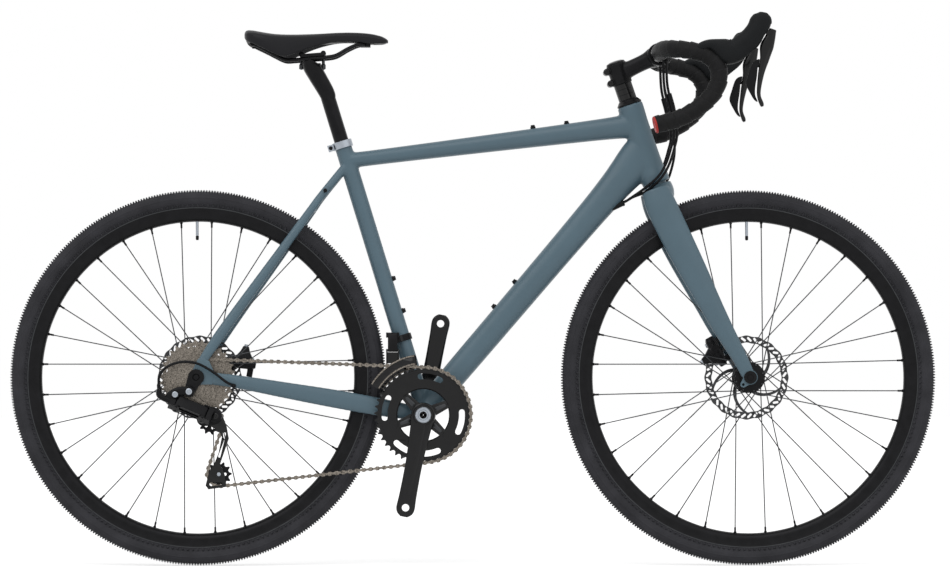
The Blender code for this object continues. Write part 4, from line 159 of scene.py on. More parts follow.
def flow(rows, count):
    """Rows on the Catmull-Rom cubic through the given rows, in equal steps of their first three columns."""
    rows = np.asarray(rows, float)
    padded = np.vstack([2 * rows[0] - rows[1], rows, 2 * rows[-1] - rows[-2]])
    a, b, c, d = (padded[k : len(padded) - 3 + k, None, :] for k in range(4))
    t = np.linspace(0, 1, 24, endpoint=False)[None, :, None]
    dense = 2 * b + (c - a) * t + (2 * a - 5 * b + 4 * c - d) * t**2 + (3 * b - a - 3 * c + d) * t**3
    dense = np.vstack([0.5 * dense.reshape(-1, rows.shape[1]), rows[-1:]])
    reach = lengths(dense)
    wanted = np.linspace(0, reach[-1], count)
    return np.column_stack([np.interp(wanted, reach, column) for column in dense.T])


def loop_flow(rows, count):
    """Points in equal steps round the closed Catmull-Rom curve through the given ones."""
    rows = np.asarray(rows, float)
    wrapped = np.vstack([rows[-3:], rows, rows[:4]])
    dense = flow(wrapped, 60 * len(wrapped))
    distance = np.linalg.norm(dense - rows[0], axis=1)
    later = len(dense) // 2
    first, last = np.argmin(distance[:later]), later + np.argmin(distance[later:])
    part = dense[first : last + 1]
    reach = lengths(part)
    wanted = np.linspace(0, reach[-1], count, endpoint=False)
    return np.column_stack([np.interp(wanted, reach, column) for column in part.T])


def skin(grid, ends=True, looped=False):
    """Points and faces of a grid of rings: four neighbours make a face, and the end rings are closed flat."""
    rows, columns = grid.shape[:2]
    index = np.arange(rows * columns).reshape(rows, columns)
    here = index if looped else index[:-1]
    there = np.roll(index, -1, axis=0) if looped else index[1:]
    corners = [here, np.roll(here, -1, axis=1), np.roll(there, -1, axis=1), there]
    faces = np.stack(corners, -1).reshape(-1, 4).tolist()
    if ends and not looped:
        faces += [index[0][::-1].tolist(), index[-1].tolist()]
    return grid.reshape(-1, 3), faces


def oval(sides, power=2.0):
    """Cosine and sine round a circle, each raised to 2 / power with its sign kept."""
    angle = TAU * np.arange(sides) / sides
    return [np.sign(wave) * np.abs(wave) ** (2 / power) for wave in (np.cos(angle), np.sin(angle))]


def swept(path, depth, width, side=LEFT, sides=28, power=2.0):
    """An oval carried along a path: path + across * width * cosine + up * depth * sine."""
    path = np.asarray(path, float)[:, :3]
    depth = np.broadcast_to(depth, len(path))[:, None]
    width = np.broadcast_to(width, len(path))[:, None]
    way = unit(np.gradient(path, axis=0))
    across = unit(side - way * (way @ side)[:, None])
    up = np.cross(way, across)
    cosine, sine = oval(sides, power)
    grid = path[:, None] + across[:, None] * (width * cosine)[..., None] + up[:, None] * (depth * sine)[..., None]
    return skin(grid)


def loft(rows, count=48, side=LEFT, sides=28, power=2.0):
    """A skin over stations of place, half depth and half width, with a smooth curve through them."""
    table = flow(rows, count)
    return swept(table, table[:, 3], table[:, 4], side, sides, power)


def turned(profile, origin, axis, steps=40, looped=False):
    """A profile of radius and height turned round an axis: origin + axis * height + spoke * radius."""
    axis = unit(axis)
    start = any_side(axis)
    start = unit(start - axis * (axis @ start))
    across = np.cross(axis, start)
    profile = np.asarray(profile, float)
    angle = TAU * np.arange(steps) / steps
    spoke = np.cos(angle)[:, None] * start + np.sin(angle)[:, None] * across
    grid = np.asarray(origin) + profile[:, 1, None, None] * axis + profile[:, 0, None, None] * spoke
    return skin(grid, ends=False, looped=looped)


def hoop(profile, origin, steps, axis=LEFT):
    """A closed profile turned round an axis, and so open in its middle."""
    return turned(profile, origin, axis, steps, looped=True)


def rod(begin, end, radius, steps=20):
    """A round bar between two points, flat at both ends."""
    begin, end = np.asarray(begin, float), np.asarray(end, float)
    reach = np.linalg.norm(end - begin)
    return turned([(0, 0), (radius, 0), (radius, reach), (0, reach)], begin, end - begin, steps)


def cross_rod(place, half, radius, steps=20):
    """A round bar from side to side through a point in its middle."""
    return rod(place - LEFT * half, place + LEFT * half, radius, steps)


def pipe(begin, end, radius, bore, steps=32):
    """A round bar with a bore."""
    begin, end = np.asarray(begin, float), np.asarray(end, float)
    reach = np.linalg.norm(end - begin)
    profile = [(radius, 0), (radius, reach), (bore, reach), (bore, 0)]
    return hoop(profile, begin, steps, end - begin)


def bolt(place, way, radius=0.004, height=0.004, steps=20):
    """A cap screw's head with its socket, standing on a face."""
    profile = [
        (0, 0), (radius, 0), (radius, height * 0.8), (radius * 0.86, height), (radius * 0.55, height),
        (radius * 0.5, height * 0.35), (0, height * 0.3),
    ]
    return turned(profile, place, way, steps)


def box(centre, size, z=UP, x=AHEAD):
    """The eight corners of a block turned to two directions: centre + x * a + y * b + z * c."""
    z = unit(z)
    x = unit(x - z * (z @ np.asarray(x)))
    y = np.cross(z, x)
    signs = np.array([(-1, -1), (1, -1), (1, 1), (-1, 1)], float)
    half = np.asarray(size) / 2
    ring = signs[:, :1] * half[0] * x + signs[:, 1:] * half[1] * y
    grid = np.stack([centre + ring - z * half[2], centre + ring + z * half[2]])
    return skin(grid)


def slab(loops, thickness, origin, normal, start, chamfer=0.0, rounds=1):
    """A plate from its outline and its holes, filled, given its thickness and chamfered."""
    curve = bpy.data.curves.new("outline", "CURVE")
    curve.dimensions = "2D"
    curve.fill_mode = "BOTH"
    curve.extrude = thickness / 2 - chamfer
    curve.bevel_depth = chamfer
    curve.bevel_resolution = rounds
    curve.offset = -chamfer
    for loop in loops:
        spline = curve.splines.new("POLY")
        spline.points.add(len(loop) - 1)
        spline.use_cyclic_u = True
        rows = np.column_stack([np.asarray(loop, float), np.zeros(len(loop)), np.ones(len(loop))])
        spline.points.foreach_set("co", rows.ravel())
    holder = bpy.data.objects.new("outline", curve)
    bpy.context.collection.objects.link(holder)
    mesh = bpy.data.meshes.new_from_object(holder.evaluated_get(bpy.context.evaluated_depsgraph_get()))
    z = unit(normal)
    x = unit(start - z * (z @ np.asarray(start)))
    points, faces = mesh_arrays(mesh)
    points = np.asarray(origin) + points @ np.stack([x, np.cross(z, x), z])
    bpy.data.objects.remove(holder)
    bpy.data.curves.remove(curve)
    bpy.data.meshes.remove(mesh)
    return points, faces


def mesh_arrays(mesh):
    """A mesh's points as an array, and its faces as lists."""
    points = np.empty(len(mesh.vertices) * 3)
    mesh.vertices.foreach_get("co", points)
    return points.reshape(-1, 3), [list(face.vertices) for face in mesh.polygons]


def side_slab(loops, low, high, centre=(0.0, 0.0), chamfer=0.0, rounds=1):
    """A plate in the plane seen from the side, between two values of Y."""
    origin = (centre[0], (low + high) / 2, centre[1])
    return slab(loops, high - low, origin, -LEFT, AHEAD, chamfer, rounds)


def ring(radius, count=32, centre=(0.0, 0.0)):
    """Points round a circle."""
    angle = TAU * np.arange(count) / count
    return np.column_stack([centre[0] + radius * np.cos(angle), centre[1] + radius * np.sin(angle)])


def arc(radius, begin, end, count, centre=(0.0, 0.0)):
    """Points along an arc between two angles in degrees."""
    angle = np.radians(np.linspace(begin, end, count))
    return np.column_stack([centre[0] + radius * np.cos(angle), centre[1] + radius * np.sin(angle)])


def bent_slot(inner, outer, begin, end):
    """The outline of a slot between two radii and two angles in degrees, with rounded ends."""
    middle = (inner + outer) / 2
    half = (outer - inner) / 2
    ends = []
    for angle, turn in ((end, 0), (begin, 180)):
        ends.append(arc(half, angle + turn, angle + turn + 180, 6, polar(middle, math.radians(angle))))
    return np.vstack([arc(outer, begin, end, 10), ends[0], arc(inner, end, begin, 10), ends[1]])


def capsule(begin, end, radius, end_radius=None, count=12):
    """The outline of a bar with a round end at each of two points."""
    begin, end = np.asarray(begin, float), np.asarray(end, float)
    last = radius if end_radius is None else end_radius
    heading = math.degrees(math.atan2(end[1] - begin[1], end[0] - begin[0]))
    return np.vstack([arc(radius, heading + 90, heading + 270, count, begin),
        arc(last, heading - 90, heading + 90, count, end)])


def copies(part, places, x, y, z):
    """One small shape at many places: place + x * a + y * b + z * c for every point of every copy."""
    points, faces = part
    axes = [np.broadcast_to(axis, places.shape)[:, None, :] for axis in (x, y, z)]
    placed = places[:, None, :] + sum(points[None, :, k, None] * axes[k] for k in range(3))
    count = len(points)
    repeated = [[corner + k * count for corner in face] for k in range(len(places)) for face in faces]
    return placed.reshape(-1, 3), repeated


def joined(*parts):
    """Several shapes as one list of points and faces."""
    points, faces, count = [], [], 0
    for some_points, some_faces in parts:
        points.append(some_points)
        faces += [[corner + count for corner in face] for face in some_faces]
        count += len(some_points)
    return np.vstack(points), faces


def mirrored(part):
    """The same shape on the other side of the bicycle, with its faces turned back outwards."""
    points, faces = part
    return points * np.array([1, -1, 1]), [face[::-1] for face in faces]


def both_sides(*parts):
    """Shapes together with their mirror images."""
    whole = joined(*parts)
    return joined(whole, mirrored(whole))


MERGE = 1e-6


def raw_object(name, part):
    """A mesh object from points and faces, its doubles merged and its faces turned outwards."""
    points, faces = part
    mesh = bpy.data.meshes.new(name)
    mesh.from_pydata(points.tolist(), [], faces)
    work = bmesh.new()
    work.from_mesh(mesh)
    bmesh.ops.remove_doubles(work, verts=work.verts, dist=MERGE)
    bmesh.ops.recalc_face_normals(work, faces=work.faces)
    work.to_mesh(mesh)
    work.free()
    made = bpy.data.objects.new(name, mesh)
    bpy.context.scene.collection.objects.link(made)
    return made


def settled(made):
    """The mesh that an object's modifiers give, as points and faces. The object goes."""
    bpy.context.view_layer.update()
    mesh = bpy.data.meshes.new_from_object(made.evaluated_get(bpy.context.evaluated_depsgraph_get()))
    part = mesh_arrays(mesh)
    bpy.data.objects.remove(made)
    bpy.data.meshes.remove(mesh)
    return part


def welded(part, grain, passes):
    """Shapes that run into each other as one skin, with a soft fillet where they meet."""
    made = raw_object("weld", part)
    remesh = made.modifiers.new("Join", "REMESH")
    remesh.mode = "VOXEL"
    remesh.voxel_size = grain
    ease = made.modifiers.new("Fillet", "SMOOTH")
    ease.factor = 0.5
    ease.iterations = passes
    return settled(made)


def less(part, *cutters):
    """A closed shape with others cut out of it."""
    made = raw_object("whole", part)
    tools = [raw_object("tool", cutter) for cutter in cutters]
    for tool in tools:
        cut = made.modifiers.new("Cut", "BOOLEAN")
        cut.operation = "DIFFERENCE"
        cut.object = tool
    result = settled(made)
    for tool in tools:
        bpy.data.objects.remove(tool)
    return result


SLOTS = {"gloss_black": "black_alloy", "rotor_steel": "silver"}


def piece(name, part, finish, body, *replaces, slot=None, bevel=0.0, sharp=32, subdivide=0):
    """A finished piece on its body, with the CAD nodes it stands for; its slot, its finish unless one is named, is
    worked out but not used.
    """
    slot = slot or SLOTS.get(finish, finish)
    made = raw_object(name, part)
    made.data.materials.append(bpy.data.materials[finish + "_finish"])
    made.data.shade_smooth()
    made.data.set_sharp_from_angle(angle=math.radians(sharp))
    if bevel:
        rounding = made.modifiers.new("Edges", "BEVEL")
        rounding.width = bevel
        rounding.segments = 2
        rounding.limit_method = "ANGLE"
        rounding.angle_limit = math.radians(40)
    if subdivide:
        finer = made.modifiers.new("Smooth", "SUBSURF")
        finer.levels = subdivide
        finer.render_levels = subdivide
    if body:
        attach(made, body)
    if replaces:
        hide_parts(*replaces)
    return made


# Finishes

def add_node(nodes, kind, **values):
    """A new shader node with the named inputs set: an underscore stands for a space."""
    node = nodes.new("ShaderNode" + kind)
    for name, value in values.items():
        node.inputs[name.replace("_", " ")].default_value = value
    return node


def make_finish(name, colour, roughness, metallic=0.0, mottle=0.06, grain=30, unevenness=0.05,
                bump=0.15, bump_grain=900, bump_height=0.0002, coat=0.0, shine=0.5):
    """A finish in which noise in space shifts the colour and the gloss, and finer noise the height."""
    material = bpy.data.materials.new(name + "_finish")
    material.use_nodes = True
    nodes = material.node_tree.nodes
    links = material.node_tree.links
    shader = nodes["Principled BSDF"]
    for key, value in (("Metallic", metallic), ("Specular IOR Level", shine), ("Coat Weight", coat),
                       ("Coat Roughness", 0.12)):
        shader.inputs[key].default_value = value
    place = nodes.new("ShaderNodeTexCoord")
    cloud = add_node(nodes, "TexNoise", Scale=grain, Detail=5)
    links.new(place.outputs["Object"], cloud.inputs["Vector"])
    ramp = nodes.new("ShaderNodeValToRGB")
    colour = np.array(colour)
    for element, share, change in zip(ramp.color_ramp.elements, (0.3, 0.7), (-mottle, mottle)):
        element.position = share
        element.color = (*np.clip(colour * (1 + change), 0, 1), 1)
    links.new(cloud.outputs["Fac"], ramp.inputs["Fac"])
    links.new(ramp.outputs["Color"], shader.inputs["Base Color"])
    gloss = add_node(nodes, "MapRange", From_Min=0.3, From_Max=0.7, To_Min=roughness - unevenness,
        To_Max=roughness + unevenness)
    links.new(cloud.outputs["Fac"], gloss.inputs["Value"])
    links.new(gloss.outputs["Result"], shader.inputs["Roughness"])
    fine = add_node(nodes, "TexNoise", Scale=bump_grain, Detail=2)
    links.new(place.outputs["Object"], fine.inputs["Vector"])
    relief = add_node(nodes, "Bump", Strength=bump, Distance=bump_height)
    links.new(fine.outputs["Fac"], relief.inputs["Height"])
    links.new(relief.outputs["Normal"], shader.inputs["Normal"])


def colour_setting(name, words, default):
    """A colour that the user can change."""
    return bpy.props.FloatVectorProperty(name=name, description=words, subtype="COLOR", size=3, min=0, max=1,
        default=default)


def length_setting(name, words, default):
    """A length that the user can change."""
    return bpy.props.FloatProperty(name=name, description=words, subtype="DISTANCE", unit="LENGTH", default=default)


class BicycleColours(bpy.types.PropertyGroup):
    """Colours of the finishes."""

    paint: colour_setting("Paint", "Satin paint on the frame and the fork", (0.097, 0.158, 0.197))
    black_alloy: colour_setting("Black alloy", "Anodised parts", (0.009, 0.009, 0.01))
    black_plastic: colour_setting("Black plastic", "Moulded parts, hoses and housings", (0.004, 0.004, 0.005))
    rubber: colour_setting("Hood rubber", "Lever hoods", (0.009, 0.01, 0.011))
    tape: colour_setting("Tape", "Handlebar tape", (0.013, 0.013, 0.0135))
    tyre: colour_setting("Tyre", "Tread and sidewalls", (0.037, 0.037, 0.042))
    saddle: colour_setting("Saddle", "Saddle cover", (0.01, 0.01, 0.012))
    silver: colour_setting("Silver", "Collar, bolts and derailleur cage", (0.34, 0.37, 0.41))
    rotor: colour_setting("Rotor steel", "Brake rotors", (0.055, 0.056, 0.058))
    chain: colour_setting("Chain steel", "Chain and sprockets", (0.185, 0.165, 0.142))
    spoke: colour_setting("Spoke steel", "Spokes", (0.05, 0.052, 0.055))
    plug: colour_setting("Plug", "Handlebar end plugs", (0.45, 0.03, 0.025))


class BicycleSizes(bpy.types.PropertyGroup):
    """Sizes of the details that the frame's solids leave out."""

    knob_height: length_setting("Knob height", "How far the tread stands out of the casing", 0.0028)
    knob_pairs: bpy.props.IntProperty(name="Knob rows", description="Rows of tread round a tyre", default=212)
    tape_pitch: length_setting("Tape pitch", "Distance between turns of the tape", 0.0225)
    tape_lap: length_setting("Tape lap", "Height of the step at each turn's edge", 0.0021)
    frame_grain: length_setting("Frame grain", "Cell size of the frame's welded skin", 0.0022)
    fork_grain: length_setting("Fork grain", "Cell size of the fork's welded skin", 0.0017)


class BicycleStage(bpy.types.PropertyGroup):
    """Light and view."""

    daylight: bpy.props.FloatProperty(name="Soft light", description="Even light from all round", default=0.45)
    key: bpy.props.FloatProperty(name="Key lamp", description="Soft lamp above the camera's left", default=0.9)
    fill: bpy.props.FloatProperty(name="Fill lamp", description="Soft lamp from the right", default=0.4)
    lens: bpy.props.FloatProperty(name="Lens", description="Focal length", unit="CAMERA", default=161.8)


def make_finishes(colours):
    """All the finishes, from the colours that the user has set."""
    make_finish("paint", colours.paint, 0.38, mottle=0.05, grain=14, unevenness=0.05, bump=0.08, bump_grain=1600,
        bump_height=0.00005, coat=0.04, shine=0.35)
    make_finish("black_alloy", colours.black_alloy, 0.34, metallic=0.4, mottle=0.2, grain=60, bump=0.08,
        bump_grain=1800, bump_height=0.00005, shine=0.16)
    make_finish("gloss_black", tuple(0.5 * value for value in colours.black_alloy), 0.14, mottle=0.15, grain=60,
        bump=0.03, bump_grain=900, bump_height=0.00005, shine=0.28)
    make_finish("black_plastic", colours.black_plastic, 0.4, mottle=0.2, grain=80, bump=0.1, bump_grain=1500,
        bump_height=0.00006, shine=0.14)
    make_finish("hood_rubber", colours.rubber, 0.55, mottle=0.16, grain=45, bump=0.3, bump_grain=650,
        bump_height=0.0002, shine=0.12)
    make_finish("tape", colours.tape, 0.52, mottle=0.2, grain=120, bump=0.45, bump_grain=420, bump_height=0.0004,
        shine=0.1)
    make_finish("tyre", colours.tyre, 0.62, mottle=0.25, grain=26, bump=0.4, bump_grain=1100, bump_height=0.0002,
        shine=0.12)
    make_finish("saddle_skin", colours.saddle, 0.44, mottle=0.12, grain=40, bump=0.25, bump_grain=1000,
        bump_height=0.0001, shine=0.18)
    make_finish("silver", colours.silver, 0.26, metallic=1.0, mottle=0.08, grain=90, bump=0.06, bump_grain=1500,
        bump_height=0.00005)
    make_finish("rotor_steel", colours.rotor, 0.3, metallic=1.0, mottle=0.18, grain=220, bump=0.12, bump_grain=1200,
        bump_height=0.00008)
    # Chain steel's strong colour mottle is partly random tone and partly painted glints: its light and dark specks
    # stand in for light catching the chain's plates and the sprockets.
    make_finish("chain_steel", colours.chain, 0.28, metallic=1.0, mottle=0.65, grain=420, unevenness=0.14, bump=0.15,
        bump_grain=900, bump_height=0.0001)
    make_finish("spoke_steel", colours.spoke, 0.3, metallic=1.0, mottle=0.12, grain=50, bump=0.05, bump_grain=900,
        bump_height=0.00005)
    make_finish("red_plastic", colours.plug, 0.4, mottle=0.12, grain=60, bump=0.1, bump_grain=900, bump_height=0.0001,
        shine=0.3)


# Frame and fork

SEATSTAY = [
    (-0.234, 0.006, 0.753, 0.008, 0.007), (-0.2838, 0.022, 0.6914, 0.0075, 0.007),
    (-0.3039, 0.031, 0.6634, 0.0077, 0.007), (-0.3574, 0.044, 0.5887, 0.0086, 0.0072),
    (-0.438, 0.058, 0.477, 0.0098, 0.0072), (-0.476, 0.067, 0.423, 0.0102, 0.0068),
    (-0.505, 0.0745, 0.379, 0.0085, 0.0038),
]
CHAINSTAY = [
    (-0.106, 0.02, 0.284, 0.013, 0.009), (-0.14, 0.0285, 0.2895, 0.0155, 0.007), (-0.1975, 0.0345, 0.3, 0.0172, 0.0068),
    (-0.27, 0.043, 0.313, 0.017, 0.007), (-0.35, 0.0545, 0.327, 0.015, 0.0072), (-0.435, 0.0672, 0.342, 0.0125, 0.007),
    (-0.495, 0.0745, 0.35, 0.0115, 0.0038),
]
FORK_BLADE = [
    (0.34, 0.03, 0.7, 0.026, 0.018), (0.35, 0.038, 0.672, 0.029, 0.0145), (0.37, 0.042, 0.629, 0.0288, 0.0125),
    (0.393, 0.0455, 0.582, 0.0275, 0.0115), (0.416, 0.0485, 0.537, 0.0248, 0.0105),
    (0.439, 0.051, 0.4915, 0.0215, 0.0095), (0.463, 0.053, 0.445, 0.0188, 0.0085), (0.494, 0.0545, 0.39, 0.0145, 0.007),
    (0.511, 0.0542, 0.356, 0.0125, 0.0041),
]
TOP_TUBE = [
    (0.0, 0.015, 0.0155), (0.1, 0.0142, 0.0165), (0.45, 0.0162, 0.0178), (0.75, 0.0187, 0.019), (0.92, 0.021, 0.0198),
    (1.0, 0.025, 0.02),
]
DOWN_TUBE = [
    (0.0, 0.0215, 0.024), (0.17, 0.024, 0.024), (0.66, 0.0262, 0.0245), (0.85, 0.0296, 0.0235), (0.96, 0.037, 0.0215),
    (1.0, 0.0372, 0.0215),
]
TOP_TUBE_BACK = seat(0.498)
TOP_TUBE_FRONT = steer(HEAD_TOP - 0.04)
DOWN_LOW = BRACKET + UP * 0.006
DOWN_HIGH = steer(HEAD_LOW + 0.0647)
PORT = np.array([0.2814, 0.0, 0.6794])
PORT_WAY = unit([0.9, 0.0, 0.43])


def straight_tube(begin, end, sizes, power):
    """A tube along a straight line, with half depths and half widths at shares of its length."""
    rows = [(*(begin + (end - begin) * share), depth, width) for share, depth, width in sizes]
    return loft(rows, 90, LEFT, 40, power)


def dropout():
    """The left rear end: a plate round the axle with a tab up to the seatstay."""
    outline = np.vstack([arc(0.0145, 118, 290, 16), [(0.03, -0.0135), (0.034, 0.0085), (0.024, 0.03), (0.012, 0.037),
        (0.003, 0.034)]])
    return side_slab([outline, ring(0.0064, 20)], 0.071, 0.078, AXLES["rear"][[0, 2]], 0.0008)


def make_frame(sizes):
    """Tubes, stays, shell and bridge welded into one skin, bored out, with a dropout on each side."""
    head = turned([(0, -0.0), (0.0258, 0.0), (0.0264, 0.0012), (0.0264, 0.0175), (0.0256, 0.0196), (0.0238, 0.03),
        (0.0232, 0.05), (0.0229, 0.085), (0.0231, 0.12), (0.024, 0.14), (0.0242, 0.152), (0.0238, 0.155), (0, 0.155)],
        steer(HEAD_LOW), STEER_UP, 64)
    seat_tube = rod(seat(0.004), seat(SEAT_TUBE_LENGTH), SEAT_TUBE_RADIUS, 48)
    shell = cross_rod(BRACKET, 0.034, 0.0205, 56)
    top_tube = straight_tube(TOP_TUBE_BACK, TOP_TUBE_FRONT, TOP_TUBE, 2.3)
    down_tube = straight_tube(DOWN_LOW, DOWN_HIGH, DOWN_TUBE, 2.4)
    stays = both_sides(loft(SEATSTAY, 60, LEFT, 28, 2.3), loft(CHAINSTAY, 60, LEFT, 28, 2.3))
    bridge = cross_rod(np.array([-0.302, 0.0, 0.666]), 0.03, 0.006, 24)
    block = loft([(*(BRACKET + (-0.031, 0, 0.0085)), 0.01, 0.025), (*(BRACKET + (-0.055, 0, 0.0085)), 0.01, 0.025)], 8,
        LEFT, 28, 4)
    welded_skin = welded(joined(head, seat_tube, shell, top_tube, down_tube, stays, bridge, block), sizes.frame_grain,
        5)
    bores = (rod(steer(HEAD_LOW - 0.02), steer(HEAD_TOP + 0.02), 0.0195, 40),
        rod(seat(SEAT_TUBE_LENGTH - 0.24), seat(SEAT_TUBE_LENGTH + 0.02), POST_RADIUS + SEAM, 40),
        cross_rod(BRACKET, 0.06, 0.0178, 40))
    whole = joined(less(welded_skin, *bores), dropout(), mirrored(dropout()))
    piece("frame_skin", whole, "paint", "frame_body", "frame", sharp=50)


def boss(place, out):
    """A threaded boss on a tube with its screw."""
    return [rod(place - out * 0.003, place + out * 0.003, 0.005, 24), bolt(place + out * 0.0028, out, 0.004, 0.0034)]


def make_frame_fittings():
    """The cable port, bottle bosses with their bolts, and the plug of the seatstay's mudguard hole."""
    rows = [(*(PORT - PORT_WAY * 0.03), 0.006, 0.015), (*(PORT - PORT_WAY * 0.004), 0.006, 0.013),
        (*PORT, 0.005, 0.012)]
    port = loft(rows, 16, LEFT, 32, 3)
    lip = swept([PORT - PORT_WAY * 0.003, PORT - PORT_WAY * 0.0006, PORT + PORT_WAY * 0.0006], [0.0066, 0.0068, 0.0058],
        [0.014, 0.0142, 0.013], LEFT, 32, 3)
    piece("cable_port", joined(port, lip), "hood_rubber", "frame_body")
    bolts = []
    down_way = unit(DOWN_HIGH - DOWN_LOW)
    down_out = np.cross(LEFT, down_way)
    for share, size in ((0.367, 0.0248), (0.461, 0.0252)):
        bolts += boss(DOWN_LOW + (DOWN_HIGH - DOWN_LOW) * share - down_out * size, -down_out)
    forward = np.cross(LEFT, SEAT_UP)
    for height in (0.199, 0.262):
        bolts += boss(seat(height) + forward * SEAT_TUBE_RADIUS, forward)
    top_way = unit(TOP_TUBE_FRONT - TOP_TUBE_BACK)
    top_out = np.cross(top_way, LEFT)
    for x in (0.1141, 0.1773):
        bolts += boss(TOP_TUBE_BACK + top_way * (x - TOP_TUBE_BACK[0]) / top_way[0] + top_out * 0.018, top_out)
    piece("bottle_bolts", joined(*bolts), "black_alloy", "frame_body", bevel=0.0003)
    plug = rod((-0.277, -0.033, 0.7), (-0.277, -0.015, 0.7), 0.0038, 24)
    piece("stay_plug", plug, "black_plastic", "frame_body", bevel=0.0004)


def make_fork(sizes):
    """A crown whose outline turns from a wide oval to a circle, welded to two blades, with its ends and steerer."""
    crown_rows = [
        (0.03, 0.0235, 0.047, 2.6), (0.018, 0.027, 0.0475, 2.5), (0.008, 0.0272, 0.038, 2.3),
        (0.0, 0.0262, 0.0262, 2.0),
    ]
    table = flow(crown_rows, 12)
    rings = []
    for below, depth, width, power in table:
        cosine, sine = oval(48, power)
        lengthwise = steer(FORK_LENGTH - below) + np.outer(cosine, STEER_FORWARD * depth)
        rings.append(lengthwise + np.outer(sine, LEFT * width))
    crown = skin(np.array(rings))
    blades = both_sides(loft(FORK_BLADE, 70, LEFT, 36, 2.3))
    skin_part = welded(joined(crown, blades), sizes.fork_grain, 5)
    ends = both_sides(pipe(AXLES["front"] + LEFT * 0.05, AXLES["front"] + LEFT * 0.0585, 0.0135, 0.0064, 40),
        side_slab([capsule((-0.004, -0.004), (-0.0125, -0.013), 0.01, 0.006), ring(0.0025, 14, (-0.013, -0.0135))],
        0.0505, 0.057, AXLES["front"][[0, 2]], 0.0008))
    top = STEM_LOW + 0.037 - FORK_LENGTH
    steerer = turned([(0, -0.004), (0.0185, -0.004), (0.0185, 0.01), (0.0143, 0.05), (0.0143, top), (0, top)],
        steer(FORK_LENGTH), STEER_UP, 40)
    whole = joined(skin_part, ends, steerer)
    piece("fork_skin", whole, "paint", "steering", "fork", sharp=50)


def make_headset():
    """The cover above the head tube and three spacers with fine grooves between them."""
    cover = [
        (0.0146, 0.01), (0.017, 0.01), (0.0182, 0.0094), (0.019, 0.0085), (0.0225, 0.0036), (0.0234, 0.003),
        (0.0234, 0.0), (0.0146, 0.0),
    ]
    piece("headset_cap", hoop(cover, steer(HEAD_TOP + SEAM), 56, STEER_UP), "black_alloy", "steering", "headset_cover",
        bevel=0.0003)
    height = STEM_LOW - SEAM - HEAD_TOP - COVER_HEIGHT
    profile = [(0.0146, 0)]
    for k in range(3):
        low, high = height * k / 3, height * (k + 1) / 3
        profile += [(0.0168, low), (0.0171, low + 0.0003), (0.0171, high - 0.0003), (0.0168, high)]
    profile.append((0.0146, height))
    piece("spacer_rings", hoop(profile, steer(HEAD_TOP + COVER_HEIGHT), 56, STEER_UP), "gloss_black", "steering",
        "headset_spacers")


def make_seat_collar():
    """A band round the seat tube's top, its lug at the back and its cross bolt."""
    low = seat(SEAT_TUBE_LENGTH - 0.006)
    profile = [
        (0.0162, 0), (0.0184, 0), (0.0189, 0.0006), (0.0189, 0.0134), (0.0184, 0.014), (0.014, 0.014), (0.014, 0.0065),
        (0.0162, 0.0062),
    ]
    band = hoop(profile, low, 56, SEAT_UP)
    back = np.cross(SEAT_UP, LEFT)
    place = seat(SEAT_TUBE_LENGTH + 0.001) + back * 0.0224
    lug = box(place, (0.012, 0.018, 0.012), SEAT_UP, back)
    piece("collar_band", joined(band, lug), "silver", "frame_body", "seat_collar", bevel=0.0006)
    screw = joined(bolt(place - LEFT * 0.0085 + back * 0.0005, -LEFT, 0.0036, 0.003),
        rod(place + LEFT * 0.0085, place + LEFT * 0.0108, 0.0036))
    piece("collar_bolt", screw, "black_alloy", "frame_body", bevel=0.0002)


# Wheels

def wheel_turned(which, profile, steps=256):
    """A closed profile turned round a wheel's axle."""
    return hoop(profile, AXLES[which], steps)


def bars(begins, ends, radius, sides=8, side=LEFT):
    """Round bars between two rows of points: begin + (end - begin) * height + spoke * radius."""
    along = np.asarray(ends, float) - begins
    x = unit(np.cross(along, side))
    y = unit(np.cross(along, x))
    part = turned([(0, 0), (radius, 0), (radius, 1), (0, 1)], (0, 0, 0), UP, sides)
    return copies(part, np.asarray(begins, float), x, y, along)


CASING = [
    (0.3176, 0.0116), (0.32, 0.0128), (0.3208, 0.0142), (0.3222, 0.0146), (0.3262, 0.0172), (0.331, 0.019),
    (0.3345, 0.0193), (0.3352, 0.0198), (0.3362, 0.0197), (0.3366, 0.019), (0.34, 0.018), (0.3435, 0.0158),
    (0.3459, 0.0124), (0.3472, 0.0082), (0.348, 0.004), (0.3482, 0.0),
]


